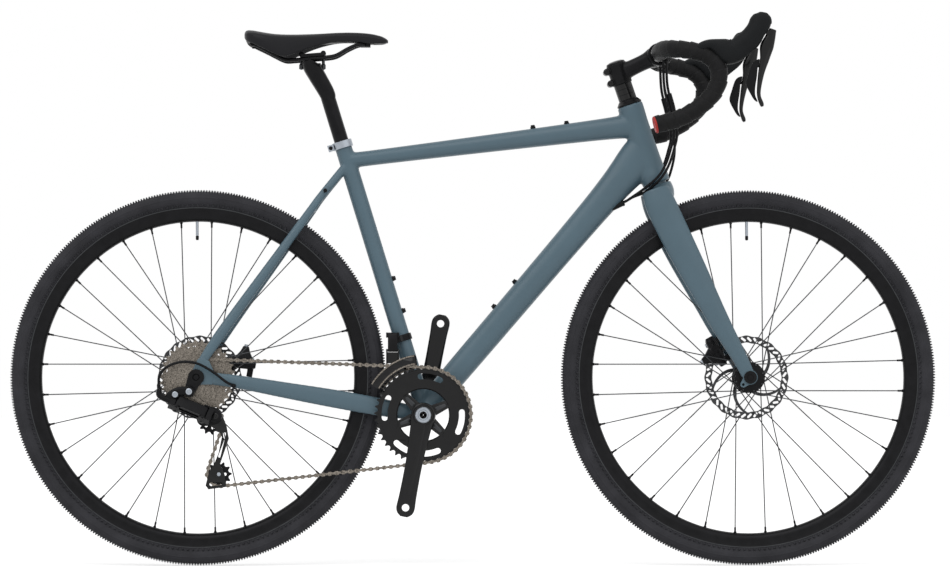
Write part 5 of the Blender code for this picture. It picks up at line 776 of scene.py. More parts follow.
def make_tyre(which, sizes):
    """A casing turned round the axle, with rows of tread blocks standing on it along its surface."""
    right = flow(np.array(CASING), 30)
    profile = np.vstack([right * (1, -1), right[-2::-1]])
    casing = wheel_turned(which, profile, 256)
    order = np.argsort(right[:, 1])
    places = []
    pattern = [(0.0, 0.0, 0.0013, 0.0046), (0.5, 0.0, 0.0013, 0.0046)]
    for side in (-1, 1):
        pattern += [(0.04, side * 0.0092, 0.0013, 0.0026), (0.54, side * 0.0092, 0.0013, 0.0026)]
        pattern += [(0.08, side * 0.0146, 0.0017, 0.0034), (0.58, side * 0.015, 0.0012, 0.0024)]
    corners = np.array([(-1, -1), (1, -1), (1, 1), (-1, 1)], float)
    low = np.column_stack([corners * (1.25, 1.0), np.full(4, -0.25)])
    high = np.column_stack([corners * (0.62, 0.86), np.ones(4)])
    block = skin(np.stack([low, high]))
    for phase, y, half_length, half_width in pattern:
        angle = TAU * (np.arange(sizes.knob_pairs) + phase) / sizes.knob_pairs
        spoke = np.column_stack([np.cos(angle), np.zeros(len(angle)), np.sin(angle)])
        tangent = np.column_stack([-np.sin(angle), np.zeros(len(angle)), np.cos(angle)])
        radius = np.interp([abs(y) - 0.0005, abs(y), abs(y) + 0.0005], right[order, 1], right[order, 0])
        slope = (radius[2] - radius[0]) / 0.001 * np.sign(y)
        across = unit(LEFT + spoke * slope)
        outward = unit(spoke - LEFT * slope)
        spots = AXLES[which] + spoke * radius[1] + LEFT * y
        places.append(copies(block, spots, tangent * half_length, across * half_width, outward * sizes.knob_height))
    piece(which + "_tyre_tread", joined(casing, *places), "tyre", which + "_wheel", which + "_tyre", sharp=40)


def spoke_ends(which):
    """Both ends of each spoke: laced three times crossed, every fourth one repeating."""
    flanges = {"front": (-0.0345, 0.0225), "rear": (-0.0205, 0.034)}[which]
    i = np.arange(SPOKES)
    left = i % 2
    lean = np.where(i % 4 < 2, 1, -1)
    outward = np.where(left, 1, -1)
    rim_angle = math.radians(-4.9) - TAU * i / SPOKES
    hub_angle = rim_angle - lean * math.radians(67.5)
    hub_y = np.where(left, flanges[1], flanges[0]) + outward * lean * 0.00125
    hub = AXLES[which] + np.column_stack([0.026 * np.cos(hub_angle), hub_y, 0.026 * np.sin(hub_angle)])
    rim = AXLES[which] + np.column_stack([RIM_INNER * np.cos(rim_angle), outward * 0.0015,
        RIM_INNER * np.sin(rim_angle)])
    return hub, rim


def make_rim(which):
    """A box-section rim with spoke nipples, a lip at its edge whose lighter colour is a painted highlight, and a valve
    with its cap.
    """
    half = [
        (0.3115, 0.0), (0.3112, 0.007), (0.3128, 0.0102), (0.3172, 0.0108), (0.3181, 0.0113), (0.3181, 0.0121),
        (0.3172, 0.0125), (0.3158, 0.0122), (0.314, 0.0117), (0.304, 0.0117), (0.2985, 0.0111), (0.2945, 0.0085),
        (0.2922, 0.0045), (0.2915, 0.0),
    ]
    profile = np.vstack([half, np.array(half[-2:0:-1]) * (1, -1)])
    hub, rim = spoke_ends(which)
    way = unit(hub - rim)
    nipples = bars(rim - way * 0.002, rim + way * 0.01, 0.0019, 10)
    collars = bars(rim - way * 0.001, rim + way * 0.0018, 0.0028, 10)
    piece(which + "_rim_hoop", joined(wheel_turned(which, profile), nipples, collars), "black_alloy", which + "_wheel",
        which + "_rim", sharp=30)
    # The lip at the rim's outer edge is real, but its lighter steel colour on the black alloy rim is a painted
    # highlight.
    lip = [(0.3166, 0.0124), (0.3184, 0.0124), (0.3184, 0.013), (0.3166, 0.0129)]
    highlight_lips = both_sides(wheel_turned(which, lip))
    piece(which + "_rim_lip_highlight", highlight_lips, "spoke_steel", which + "_wheel", slot="black_alloy", sharp=30)
    up = np.array([math.sin(math.radians(-0.49)), 0, math.cos(math.radians(-0.49))])
    profile = [
        (0, 0.0), (0.0014, 0.0), (0.0017, 0.0006), (0.0017, 0.006), (0.0024, 0.007), (0.0028, 0.009), (0.0028, 0.034),
        (0.0044, 0.0345), (0.0044, 0.037), (0, 0.037),
    ]
    stem = turned(profile, AXLES[which] + up * 0.2585, up, 20)
    piece(which + "_valve", stem, "silver", which + "_wheel")
    cap = turned([(0, 0), (0.0022, 0.0004), (0.0029, 0.002), (0.003, 0.008), (0.0025, 0.0084), (0, 0.0084)],
        AXLES[which] + up * 0.257, up, 20)
    piece(which + "_valve_cap", cap, "black_plastic", which + "_wheel")


def make_hub(which):
    """A turned hub shell with two flanges, and 32 round spokes with their heads."""
    low, right, left, high = {"front": (-0.0497, -0.0345, 0.0225, 0.0497),
        "rear": (-0.02695, -0.0205, 0.034, 0.0707)}[which]
    disc = ROTOR_Y[which]
    middle = (right + left) / 2
    right_step = max(low + 0.0008, right - 0.0068)
    flange = [
        (0.0168, -0.0024), (0.0282, -0.0021), (0.029, -0.0012), (0.029, 0.0012), (0.0282, 0.0021), (0.0168, 0.0024),
    ]
    profile = [(0.0066, low), (0.0108, low), (0.0108, right_step), (0.0165, right_step + 0.001)]
    profile += [(radius, right + y) for radius, y in flange]
    profile += [(0.015, right + 0.008), (0.014, middle), (0.015, left - 0.008)]
    profile += [(radius, left + y) for radius, y in flange]
    profile += [(0.0166, left + 0.0045), (0.0166, disc + 0.0024), (0.01, disc + 0.003), (0.01, high), (0.0066, high)]
    piece(which + "_hub", wheel_turned(which, profile, 64), "black_alloy", which + "_wheel", which + "_hub_spokes",
        sharp=30)
    hub, rim = spoke_ends(which)
    spokes = bars(hub, rim + unit(hub - rim) * 0.006, 0.00105, 10)
    heads = bars(hub - LEFT * 0.0034, hub + LEFT * 0.0034, 0.0015, 8, AHEAD)
    piece(which + "_spokes", joined(spokes, heads), "spoke_steel", which + "_wheel", which + "_hub_spokes")


def make_rotor(which):
    """A wavy brake band pierced with slanted slots, on five thin bent arms."""
    y = ROTOR_Y[which]
    angle = TAU * np.arange(360) / 360
    edge = 0.0786 + 0.0009 * np.cos(20 * angle)
    loops = [np.column_stack([edge * np.cos(angle), edge * np.sin(angle)])]
    reach = np.linspace(0.0655, 0.024, 14)
    bend = math.radians(52) * (reach - 0.024) / 0.0415
    for k in range(5):
        first = TAU * k / 5 + bend + 0.004 / reach
        last = TAU * (k + 1) / 5 + bend - 0.004 / reach
        outer = np.linspace(first[0], last[0], 30)[1:-1]
        inner = np.linspace(last[-1], first[-1], 8)[1:-1]
        turn = np.concatenate([outer, last, inner, first[::-1]])
        wave = 0.0655 + 0.0007 * np.cos(20 * outer)
        far = np.concatenate([wave, reach, np.full(6, 0.024), reach[::-1]])
        loops.append(np.column_stack([far * np.cos(turn), far * np.sin(turn)]))
    for k in range(40):
        a = TAU * (k + 0.5) / 40
        lean = 0.035 * (1 if k % 8 < 4 else -1)
        ends = [polar(radius, a + turn) for radius, turn in ((0.07, -lean), (0.0744, lean))]
        loops.append(capsule(*ends, 0.0021, count=6))
    loops.append(ring(0.0172, 28))
    band = side_slab(loops, y - 0.0009, y + 0.0009, AXLES[which][[0, 2]])
    piece(which + "_rotor_band", band, "rotor_steel", which + "_wheel", which + "_rotor", bevel=0.00015)
    lock = wheel_turned(which, [(0.011, y + 0.0009), (0.0186, y + 0.0009), (0.0186, y + 0.0022), (0.0172, y + 0.0032),
        (0.011, y + 0.0032)], 48)
    piece(which + "_rotor_lock", lock, "black_alloy", which + "_wheel")


def make_axles():
    """Two through axles with their heads on the left, and the front one's cap on the right."""
    for which, body, right, reach, head_y, rise in (("front", "steering", 0.0582, 0.1164, 0.0588, 0.0044),
                                                    ("rear", "frame_body", 0.0828, 0.1605, 0.0783, 0.0042)):
        centre = AXLES[which]
        shaft = [(0, 0), (0.0048, 0), (0.006, 0.001), (0.006, reach), (0, reach)]
        head = [
            (0.004, 0), (0.0095, 0), (0.0095, 0.0034), (0.0086, rise), (0.0055, rise), (0.005, 0.003), (0.004, 0.003),
        ]
        parts = [turned(shaft, centre - LEFT * right, LEFT, 32), hoop(head, centre + LEFT * head_y, 36)]
        if which == "front":
            cap = [
                (0, 0), (0.0114, 0), (0.012, 0.0006), (0.012, 0.0016), (0.0112, 0.0022), (0.006, 0.0022),
                (0.0054, 0.001), (0, 0.0008),
            ]
            parts.append(turned(cap, centre - LEFT * 0.0586, -LEFT, 40))
        piece(which + "_axle_bar", joined(*parts), "black_alloy", body, which + "_axle")


# Cranks, chain and sprockets

def pitch_radius(teeth):
    """The radius of the circle that the rollers' middles lie on: pitch / (2 sin(pi / teeth))."""
    return PITCH / (2 * math.sin(math.pi / teeth))


def chain_course():
    """Rollers, sprocket angles, distances along the chain and where it meets, rounds and leaves each sprocket."""
    turns = [
        (BRACKET[[0, 2]], 44, 1, RING_Y), (TENSION, 11, 1, COG_Y), (GUIDE, 11, -1, COG_Y),
        (AXLES["rear"][[0, 2]], COG_IN_USE, 1, COG_Y),
    ]
    headings, straights = [], []
    for (centre, teeth, way, _), (there, more, other, _) in zip(turns, turns[1:] + turns[:1]):
        gap = there - centre
        shift = way * pitch_radius(teeth) - other * pitch_radius(more)
        headings.append(math.atan2(gap[1], gap[0]) - math.asin(shift / np.hypot(*gap)))
        straights.append(math.sqrt(gap @ gap - shift**2))
    rows, done, spans = [], 0.0, []
    share = np.linspace(0, 1, 200)
    for k, (centre, teeth, way, y) in enumerate(turns):
        swept_angle = (way * (headings[k - 1] - headings[k])) % TAU
        angle = headings[k - 1] + way * (math.pi / 2 - swept_angle * share)
        length = swept_angle * PITCH * teeth / TAU
        radius = pitch_radius(teeth)
        rows.append(np.column_stack([done + share * length, centre[0] + radius * np.cos(angle), np.full(200, y),
            centre[1] + radius * np.sin(angle)]))
        spans.append((done, done + length / 2, done + length))
        done += length + straights[k]
    table = np.vstack(rows + [[done, *rows[0][0, 1:]]])
    along = done * (np.arange(CHAIN_LINKS) + 0.5) / CHAIN_LINKS
    rollers = np.column_stack([np.interp(along, table[:, 0], table[:, k]) for k in (1, 2, 3)])
    phases = []
    for (_, middle, _), (centre, *_) in zip(spans, turns):
        x, _, z = rollers[np.argmin(np.abs(along - middle))]
        phases.append(math.atan2(z - centre[1], x - centre[0]))
    return rollers, phases, along, spans


ROLLERS, PHASES, CHAIN_REACH, CHAIN_SPANS = chain_course()


def toothed(teeth, phase=0.0, tip=0.0021, tip_half=0.001):
    """A sprocket's outline: round valleys at every tooth pitch, each as wide as a roller, with flat tips."""
    pitch = pitch_radius(teeth)
    step = TAU / teeth
    bend = np.radians([-68, -34, 0, 34, 68])
    outward = np.concatenate([[pitch + tip], pitch - 0.004 * np.cos(bend), [pitch + tip]])
    tangent = np.concatenate([[0], 0.004 * np.sin(bend), [0]])
    edge = step / 2 - tip_half / pitch
    turn = np.concatenate([[-edge], np.arctan2(tangent[1:-1], outward[1:-1]), [edge]])
    far = np.hypot(outward, tangent)
    angle = phase + step * np.arange(teeth)[:, None] + turn[None]
    return np.column_stack([(far * np.cos(angle)).ravel(), (far * np.sin(angle)).ravel()])


def make_chain():
    """Figure-of-eight plates outside and inside in turn, with rollers and pins; its low part follows the cage."""
    here, there = ROLLERS, np.roll(ROLLERS, -1, axis=0)
    along = unit(there - here)
    up = unit(np.cross(along, LEFT))
    side = np.cross(up, along)
    middle = (here + there) / 2
    half = PITCH / 2
    shape = np.vstack([
        arc(0.0043, 115, 245, 7, (-half, 0)), [(-0.0012, -0.0019), (0.0012, -0.0019)],
        arc(0.0043, -65, 65, 7, (half, 0)), [(0.0012, 0.0019), (-0.0012, 0.0019)],
    ])
    knuckle, cage = "rear_derailleur_knuckle", "rear_derailleur_cage"
    (_, _, leave_ring), (meet_tension, round_tension, _), (_, round_guide, leave_guide), (meet_cog, *_) = CHAIN_SPANS
    past_arm, fixed = (leave_ring + share * (meet_tension - leave_ring) for share in (0.14, 0.45))
    section = np.searchsorted([past_arm, round_tension, round_guide, meet_cog], CHAIN_REACH) % 4
    for k, (name, body, bodies, ends) in enumerate((
            ("links", "frame_body", (), ()),
            ("lower_run", None, (knuckle, cage), (fixed, meet_tension)),
            ("pulley_run", cage, (), ()),
            ("cog_run", None, (cage, knuckle), (leave_guide, meet_cog)))):
        chosen = np.flatnonzero(section == k)
        parts = []
        for odd, inner_y, outer_y in ((0, 0.00205, 0.00275), (1, 0.00125, 0.00195)):
            some = chosen[chosen % 2 == odd]
            for sign in (-1, 1):
                grid = np.stack([np.column_stack([shape[:, 0], np.full(len(shape), sign * y),
                    shape[:, 1]]) for y in (inner_y, outer_y)])
                parts.append(copies(skin(grid), middle[some], along[some], side[some], up[some]))
        parts.append(bars(here[chosen] - LEFT * 0.00125, here[chosen] + LEFT * 0.00125, 0.0038, 12, AHEAD))
        parts.append(bars(here[chosen] - LEFT * 0.003, here[chosen] + LEFT * 0.003, 0.0017, 10, AHEAD))
        made = piece("chain_" + name, joined(*parts), "chain_steel", body, *(["chain"] if name == "links" else ()))
        if bodies:
            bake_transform(made)


def make_chainrings():
    """A large ring with bent windows, a lip and shift pins, and a plain small ring."""
    windows = [bent_slot(0.0665, 0.0775, math.degrees(CRANK_ANGLE) + turn - spread,
        math.degrees(CRANK_ANGLE) + turn + spread) for turn, spread in ((180, 15), (90, 15), (-90, 15), (23, 10),
        (-23, 10))]
    centre = BRACKET[[0, 2]]
    large = side_slab([toothed(44, PHASES[0])] + windows + [ring(0.05, 64)], RING_Y - PLATE_HALF, RING_Y + PLATE_HALF,
        centre)
    pins = [rod(BRACKET + set_at(spot, RING_Y - 0.0016), BRACKET + set_at(spot, RING_Y + 0.0013), 0.0022,
        12) for spot in (polar(0.086, a) for a in np.radians([20, 65, 110, 155, 200, 245, 290, 335]))]
    face = RING_Y - PLATE_HALF
    lip = [(0.0795, face), (0.0795, RING_Y - 0.0017), (0.0835, RING_Y - 0.0017), (0.0842, face)]
    lip = hoop(lip, BRACKET, 128)
    piece("large_chainring", joined(large, lip), "gloss_black", "crankset", "chainring_large", bevel=0.00025)
    piece("shift_pins", joined(*pins), "rotor_steel", "crankset")
    small = side_slab([toothed(30), ring(0.048, 64)], SMALL_RING_Y - PLATE_HALF, SMALL_RING_Y + PLATE_HALF, centre)
    piece("small_chainring", small, "black_alloy", "crankset", "chainring_small", bevel=0.0002)


CRANK = [
    (-0.0215, 0.009, 0.0655, 0.0085), (-0.014, 0.0185, 0.0655, 0.0095), (0, 0.0222, 0.0655, 0.0098),
    (0.028, 0.0195, 0.0665, 0.0094), (0.09, 0.016, 0.068, 0.0078), (0.15, 0.0162, 0.0687, 0.0066),
    (0.176, 0.0172, 0.069, 0.0063), (0.1865, 0.0135, 0.069, 0.0063), (0.192, 0.0065, 0.069, 0.0062),
]
SPIDER_TIPS = [CRANK_ANGLE + math.radians(turn) for turn in (-125, -58, 58, 125)]
SPIDER_REACH = 0.055


def make_crank(side, name):
    """A forged arm with a raised ridge and a threaded hole for the pedal."""
    angle = CRANK_ANGLE if side < 0 else CRANK_ANGLE + math.pi
    way = set_at(polar(1, angle), 0)
    rows = [(*(BRACKET + way * reach + LEFT * side * y), half, thick / 2) for reach, half, y, thick in CRANK]
    arm = loft(rows, 80, LEFT, 44, 4)
    ridge_rows = [(*(BRACKET + way * reach + LEFT * side * (y + thick * 0.32)), half * share,
        thick * 0.3) for (reach, half, y, thick), share in zip(CRANK[2:6], (0.3, 0.42, 0.5, 0.3))]
    ridge = loft(ridge_rows, 50, LEFT, 32, 3)
    place = BRACKET + way * CRANK_LENGTH
    hole = rod(place + LEFT * side * 0.05, place + LEFT * side * 0.09, 0.007, 40)
    spindle = cross_rod(BRACKET, 0.09, 0.0068 if side < 0 else 0.012, 40)
    parts = [less(arm, hole, spindle), less(ridge, spindle)]
    parts.append(pipe(place + LEFT * side * 0.0662, place + LEFT * side * 0.0728, 0.0095, 0.0069, 40))
    if side < 0:
        boss = [
            (0.0125, -0.0441), (0.0232, -0.0441), (0.0232, -0.06), (0.0215, -0.0655), (0.0185, -0.072),
            (0.0125, -0.072),
        ]
        parts.append(hoop(boss, BRACKET, 64))
        for tip in SPIDER_TIPS:
            outline = capsule(polar(0.012, tip), polar(SPIDER_REACH, tip), 0.0115, 0.0068)
            parts.append(side_slab([outline], -0.0487, -0.044, BRACKET[[0, 2]], 0.0006))
    else:
        parts.append(hoop([(0.0125, 0.048), (0.02, 0.048), (0.02, 0.056), (0.0195, 0.07), (0.0125, 0.071)], BRACKET,
            56))
    piece(name + "_arm", joined(*parts), "gloss_black", "crankset", name, bevel=0.0003)


def make_crank_trim():
    """The spindle's cap, and the spider's bolts and pale insets."""
    cap = [
        (0.0068, -0.07), (0.015, -0.07), (0.015, -0.0752), (0.0138, -0.0768), (0.0098, -0.077), (0.009, -0.0755),
        (0.0068, -0.0752),
    ]
    bolts, insets = [], []
    for tip in SPIDER_TIPS:
        bolts.append(bolt(BRACKET + set_at(polar(SPIDER_REACH, tip), -0.0487), -LEFT, 0.0048, 0.0026, 24))
        inset = capsule(polar(0.028, tip), polar(0.043, tip), 0.004, 0.003)
        insets.append(side_slab([inset], -0.0494, -0.048, BRACKET[[0, 2]], 0.0003))
    piece("crank_cap", hoop(cap, BRACKET, 56), "silver", "crankset")
    piece("ring_bolts", joined(*bolts), "gloss_black", "crankset")
    piece("spider_insets", joined(*insets), "spoke_steel", "crankset", slot="silver")


def make_bracket_cups():
    """Both bearing cups with sixteen notches round their edges."""
    profile = [
        (0.0125, 0.0341), (0.0218, 0.0341), (0.0222, 0.0346), (0.0222, 0.0372), (0.0212, 0.0376), (0.0212, 0.0384),
        (0.0222, 0.0388), (0.0222, 0.043), (0.0216, 0.0438), (0.0125, 0.0438),
    ]
    for side, name in ((-1, "bb_cup_right"), (1, "bb_cup_left")):
        cup = hoop([(radius, side * y) for radius, y in profile], BRACKET, 64)
        notches = []
        for k in range(16):
            spoke = set_at(polar(1, TAU * k / 16), 0)
            notches.append(box(BRACKET + spoke * 0.0224 + LEFT * side * 0.0409, (0.0016, 0.0044, 0.0024), spoke))
        piece(name + "_ring", less(cup, joined(*notches)), "black_alloy", "frame_body", name, bevel=0.0002)


def make_cassette():
    """Ten toothed sprockets, the large ones pierced, on a carrier with its lock ring."""
    centre = AXLES["rear"][[0, 2]]
    parts = []
    for k, teeth in enumerate(COG_TEETH):
        y = OUTER_COG_Y + COG_SPACING * k
        loops = [toothed(teeth, PHASES[3] if teeth == COG_IN_USE else 0.13 * k, tip=0.0019, tip_half=0.0008)]
        pitch = pitch_radius(teeth)
        if teeth > 25:
            first = 30 * k
            loops += [bent_slot(pitch - 0.019, pitch - 0.01, 60 * i + first, 60 * i + first + 22) for i in range(6)]
        loops.append(ring(0.015, 32))
        parts.append(side_slab(loops, y - COG_HALF, y + COG_HALF, centre))
    carrier = [
        (0.012, -0.02735), (0.0178, -0.02735), (0.0178, -0.052), (0.016, -0.06), (0.0158, -0.0652), (0.0148, -0.0668),
        (0.012, -0.0668),
    ]
    lock = [(0.007, -0.065), (0.015, -0.065), (0.015, -0.0676), (0.012, -0.07), (0.0078, -0.0706), (0.007, -0.07)]
    piece("sprockets", joined(*parts, hoop(carrier, AXLES["rear"], 48)), "chain_steel", "cassette_body", "cassette")
    piece("lock_ring", hoop(lock, AXLES["rear"], 48), "black_alloy", "cassette_body", bevel=0.0003)


# Derailleurs

HANGER_BOLT = AXLES["rear"] + (-0.0124, 0.0, -0.0265)
RD_ANCHOR = AXLES["rear"] + (-0.033, -0.086, -0.048)
LINK_LENGTH = 0.052
SPREAD = 0.008
LINK_WAY = unit([0.923, 0.0, -0.385])
MOVE = np.array([-0.175, 0.8905, -0.42])
MOVE = unit(MOVE - LINK_WAY * (MOVE @ LINK_WAY))
PIN_WAY = unit(np.cross(LINK_WAY, MOVE))
HOUSING_STOP = AXLES["rear"] + (-0.0677, -0.093, -0.022)
HOUSING_STOP_WAY = unit([-0.08, -0.03, 1.0])
CAGE_FACE = -0.05885


def rd_point(along, move, height=0.0):
    """A point in the derailleur's own directions: along its links, across them and up their pins."""
    return RD_ANCHOR + LINK_WAY * along + MOVE * move + PIN_WAY * height


def rd_slab(loops, low, high, chamfer=0.0006):
    """A plate square to the link pins."""
    return slab(loops, high - low, rd_point(0, 0, (low + high) / 2), PIN_WAY, LINK_WAY, chamfer, 2)


def ears(along):
    """Two ears above and below both links, with the ends of their pins."""
    outline = capsule((along, -SPREAD), (along, SPREAD), 0.0062)
    near, far = 0.0103, 0.0131
    parts = [rd_slab([outline], near, far), rd_slab([outline], -far, -near)]
    for side in (-1, 1):
        parts.append(rod(rd_point(along, side * SPREAD, -0.0139), rd_point(along, side * SPREAD, 0.0139), 0.002, 20))
    return parts


def make_hanger():
    """The replaceable hanger between the dropout and the derailleur's bolt."""
    bolt_place = HANGER_BOLT[[0, 2]] - AXLES["rear"][[0, 2]]
    outline = np.vstack([
        arc(0.015, -25, 165, 20), [(-0.019, -0.014)], arc(0.0095, 170, 335, 14, bolt_place), [(0.006, -0.0155)],
    ])
    plate = side_slab([outline, ring(0.0064, 20), ring(0.0033, 16, bolt_place)], -0.0833, -0.0783,
        AXLES["rear"][[0, 2]], 0.0007, 2)
    piece("hanger_plate", plate, "black_alloy", "frame_body", "derailleur_hanger")


def make_fixed_knuckle():
    """The rear derailleur's knuckle on the hanger, with its housing stop, its boss and its bolts."""
    face = set_at(HANGER_BOLT[[0, 2]], -0.0836)
    back = RD_ANCHOR - LINK_WAY * 0.01
    head = turned([(0, 0), (0.0105, 0), (0.0105, 0.009), (0.0095, 0.0108), (0.007, 0.011), (0.007, 0.0128),
        (0.0062, 0.0132), (0, 0.0132)], face, -LEFT, 40)
    shank = rod(face + LEFT * 0.0043, face - LEFT * 0.004, 0.0028)
    arm = loft([(*(face + (0, -0.0065, 0)), 0.008, 0.0055), (*(face + (-0.018, -0.0065, 0.0005)), 0.0085, 0.0055),
        (*(back + (-0.005, -0.004, 0.008)), 0.009, 0.006), (*(back + (-0.004, -0.001, -0.002)), 0.007, 0.006)], 30,
        LEFT, 28, 3)
    stop = loft([(*(back + (-0.004, -0.004, 0.0)), 0.006, 0.006), (*(HOUSING_STOP - HOUSING_STOP_WAY * 0.012), 0.0052,
        0.0052), (*HOUSING_STOP, 0.0042, 0.0042)], 24, LEFT, 24)
    web = box(back, (0.01, 0.02, 0.0254), PIN_WAY, LINK_WAY)
    room = box(rd_point(0.033, 0), (0.0755, 0.06, 0.0206), PIN_WAY, LINK_WAY)
    fixed = joined(less(web, room), less(arm, room), less(stop, room))
    piece("b_knuckle", joined(fixed, head, shank, *ears(0.0)), "black_plastic", "frame_body", "rd_b_knuckle",
        bevel=0.0005)
    second = AXLES["rear"] + (-0.038, -0.09, -0.0318)
    knob = turned([(0, 0), (0.008, 0), (0.008, 0.005), (0.007, 0.0065), (0, 0.0065)], second, -LEFT, 36)
    piece("b_knuckle_boss", knob, "black_plastic", "frame_body")
    caps = [bolt(face - LEFT * 0.0126, -LEFT, 0.0058, 0.002, 28), bolt(second - LEFT * 0.006, -LEFT, 0.0054, 0.002, 28)]
    piece("b_knuckle_bolt", joined(*caps), "silver", "frame_body")


def make_cage_knuckle():
    """The rear derailleur's knuckle that carries the cage, with its flat cover and its bolt."""
    front = RD_ANCHOR + LINK_WAY * (LINK_LENGTH + 0.01)
    pivot = set_at(CAGE_PIVOT, -0.0592)
    hub = turned([(0.0044, 0), (0.0112, 0), (0.012, 0.0008), (0.012, 0.0185), (0.0105, 0.0205), (0.0075, 0.021),
        (0, 0.021), (0, 0.014), (0.0044, 0.014)], pivot, -LEFT, 48)
    web = box(front, (0.01, 0.02, 0.0254), PIN_WAY, LINK_WAY)
    room = box(rd_point(0.0182, 0), (0.0764, 0.06, 0.0206), PIN_WAY, LINK_WAY)
    shield = loop_flow([(-0.035, 0.013), (-0.027, 0.019), (-0.01, 0.018), (0.008, 0.011), (0.012, -0.002),
        (0.006, -0.012), (-0.01, -0.0175), (-0.026, -0.018), (-0.034, -0.012), (-0.037, 0.002)], 48)
    cover = side_slab([shield], -0.0626, -0.0598, CAGE_PIVOT, 0.001, 2)
    piece("p_knuckle", joined(less(web, room), less(hub, room), cover, *ears(LINK_LENGTH)), "black_plastic",
        "rear_derailleur_knuckle", "rd_p_knuckle", bevel=0.0005)
    cap = turned([(0, 0), (0.0056, 0), (0.0056, 0.0008), (0.0046, 0.0014), (0.0026, 0.0014), (0.0023, 0.0006),
        (0, 0.0005)], pivot - LEFT * 0.0209, -LEFT, 28)
    piece("p_knuckle_bolt", cap, "gloss_black", "rear_derailleur_knuckle")


def make_links():
    """The two links of the rear derailleur's parallelogram."""
    for side, name in ((-1, "outer_link"), (1, "inner_link")):
        shift = side * SPREAD
        loops = [capsule((0, shift), (LINK_LENGTH, shift), 0.0043), ring(0.0026, 14, (0, shift)),
            ring(0.0026, 14, (LINK_LENGTH, shift))]
        if side > 0:
            loops.append(capsule((0.012, shift), (LINK_LENGTH - 0.012, shift), 0.0022))
        piece("derailleur_" + name, rd_slab(loops, -0.01, 0.01, 0.0008), "black_plastic", "rear_derailleur_" + name,
            "rd_" + name)


def make_cage():
    """The cage's two pierced plates, with the axles of its pivot and of both pulleys."""
    x, z = CAGE_PIVOT
    low_x, low_z = TENSION
    plates = []
    for low, wide in ((CAGE_FACE, 0.0125), (-0.04695, 0.011)):
        outline = np.vstack([arc(wide, 35, 215, 18, CAGE_PIVOT), [(x - 0.015, z - 0.016), (x - 0.003, z - 0.023),
            (x + 0.008, z - 0.032), (x + 0.014, z - 0.046), (low_x - 0.0085, low_z + 0.02),
            (low_x - 0.018, low_z + 0.0055), (low_x - 0.0247, low_z - 0.0205), (low_x - 0.0195, low_z - 0.028),
            (low_x + 0.013, low_z - 0.0235), (low_x + 0.013, low_z - 0.0125), (low_x + 0.0085, low_z + 0.006),
            (low_x + 0.002, low_z + 0.0195), (x + 0.0235, z - 0.042), (x + 0.019, z - 0.017)]])
        slot = capsule((x + 0.0155, z - 0.033), (low_x + 0.0005, low_z + 0.033), 0.003, 0.0022)
        foot = capsule((low_x - 0.0145, low_z - 0.0185), (low_x + 0.004, low_z - 0.0175), 0.0035, 0.0025)
        plates.append(side_slab([outline, slot, foot], low, low + 0.0015, chamfer=0.0003))
    spots = [set_at(centre, CAGE_FACE) for centre in (GUIDE, TENSION)]
    plates += [rod(spot, spot + LEFT * 0.0134, 0.0026, 20) for spot in spots]
    plates.append(rod((x, -0.0581, z), (x, -0.07185, z), 0.0038, 28))
    piece("cage_plates", joined(*plates), "gloss_black", "rear_derailleur_cage", "rd_cage")
    heads = [bolt(spot, -LEFT, 0.0034, 0.0016, 24) for spot in spots]
    piece("pulley_bolts", joined(*heads), "silver", "rear_derailleur_cage")


def make_pulleys():
    """Two toothed pulleys, each pierced five times round its hub."""
    for name, centre, phase in (("guide", GUIDE, PHASES[2]), ("tension", TENSION, PHASES[1])):
        loops = [toothed(11, phase, tip=0.0012), ring(0.003, 20)]
        loops += [ring(0.003, 12, polar(0.0112, a)) for a in TAU * np.arange(5) / 5]
        wheel = side_slab(loops, COG_Y - PLATE_HALF, COG_Y + PLATE_HALF, centre)
        hub = pipe(set_at(centre, COG_Y - 0.0026), set_at(centre, COG_Y + 0.0026), 0.0062, 0.003)
        piece(name + "_pulley_wheel", joined(wheel, hub), "black_plastic", name + "_pulley", "rd_" + name + "_pulley",
            bevel=0.0002)


FD_PIVOT = np.array([-0.15098, -0.036, 0.43])
FD_DROP = (0.004, 0.028)


def make_front_derailleur():
    """A band on the seat tube with its yoke and pin, and the wide link that hangs in it."""
    clamp = np.vstack([arc(SEAT_TUBE_RADIUS + 0.0028, -80, 190, 40), [(-0.0245, -0.015), (-0.0245, -0.0285),
        (-0.003, -0.0285)]])
    band = slab([clamp, ring(SEAT_TUBE_RADIUS + SEAM, 48)], 0.012, seat(0.15), SEAT_UP, np.cross(LEFT, SEAT_UP), 0.0006,
        2)
    ear = 0.0123
    yoke = np.array([
        (-ear, -0.005), (-0.0093, -0.005), (-0.0093, 0.007), (0.0093, 0.007), (0.0093, -0.005), (ear, -0.005),
        (ear, 0.0125), (-ear, 0.0125),
    ])
    fork = slab([yoke], 0.0096, FD_PIVOT, UP, AHEAD, 0.0006, 2)
    pin = rod(FD_PIVOT - AHEAD * 0.012, FD_PIVOT + AHEAD * 0.012, 0.0016)
    piece("derailleur_band", joined(band, fork, pin), "black_alloy", "frame_body", "fd_body")
    drop = unit([0, -FD_DROP[0], -FD_DROP[1]])
    length = math.hypot(*FD_DROP)
    loops = [capsule((0, 0), (length, 0), 0.0036), ring(0.0021, 16), ring(0.0021, 16, (length, 0))]
    link = slab(loops, 0.018, FD_PIVOT, AHEAD, drop, 0.0006, 2)
    piece("derailleur_link", link, "black_alloy", "front_derailleur_link", "fd_link")


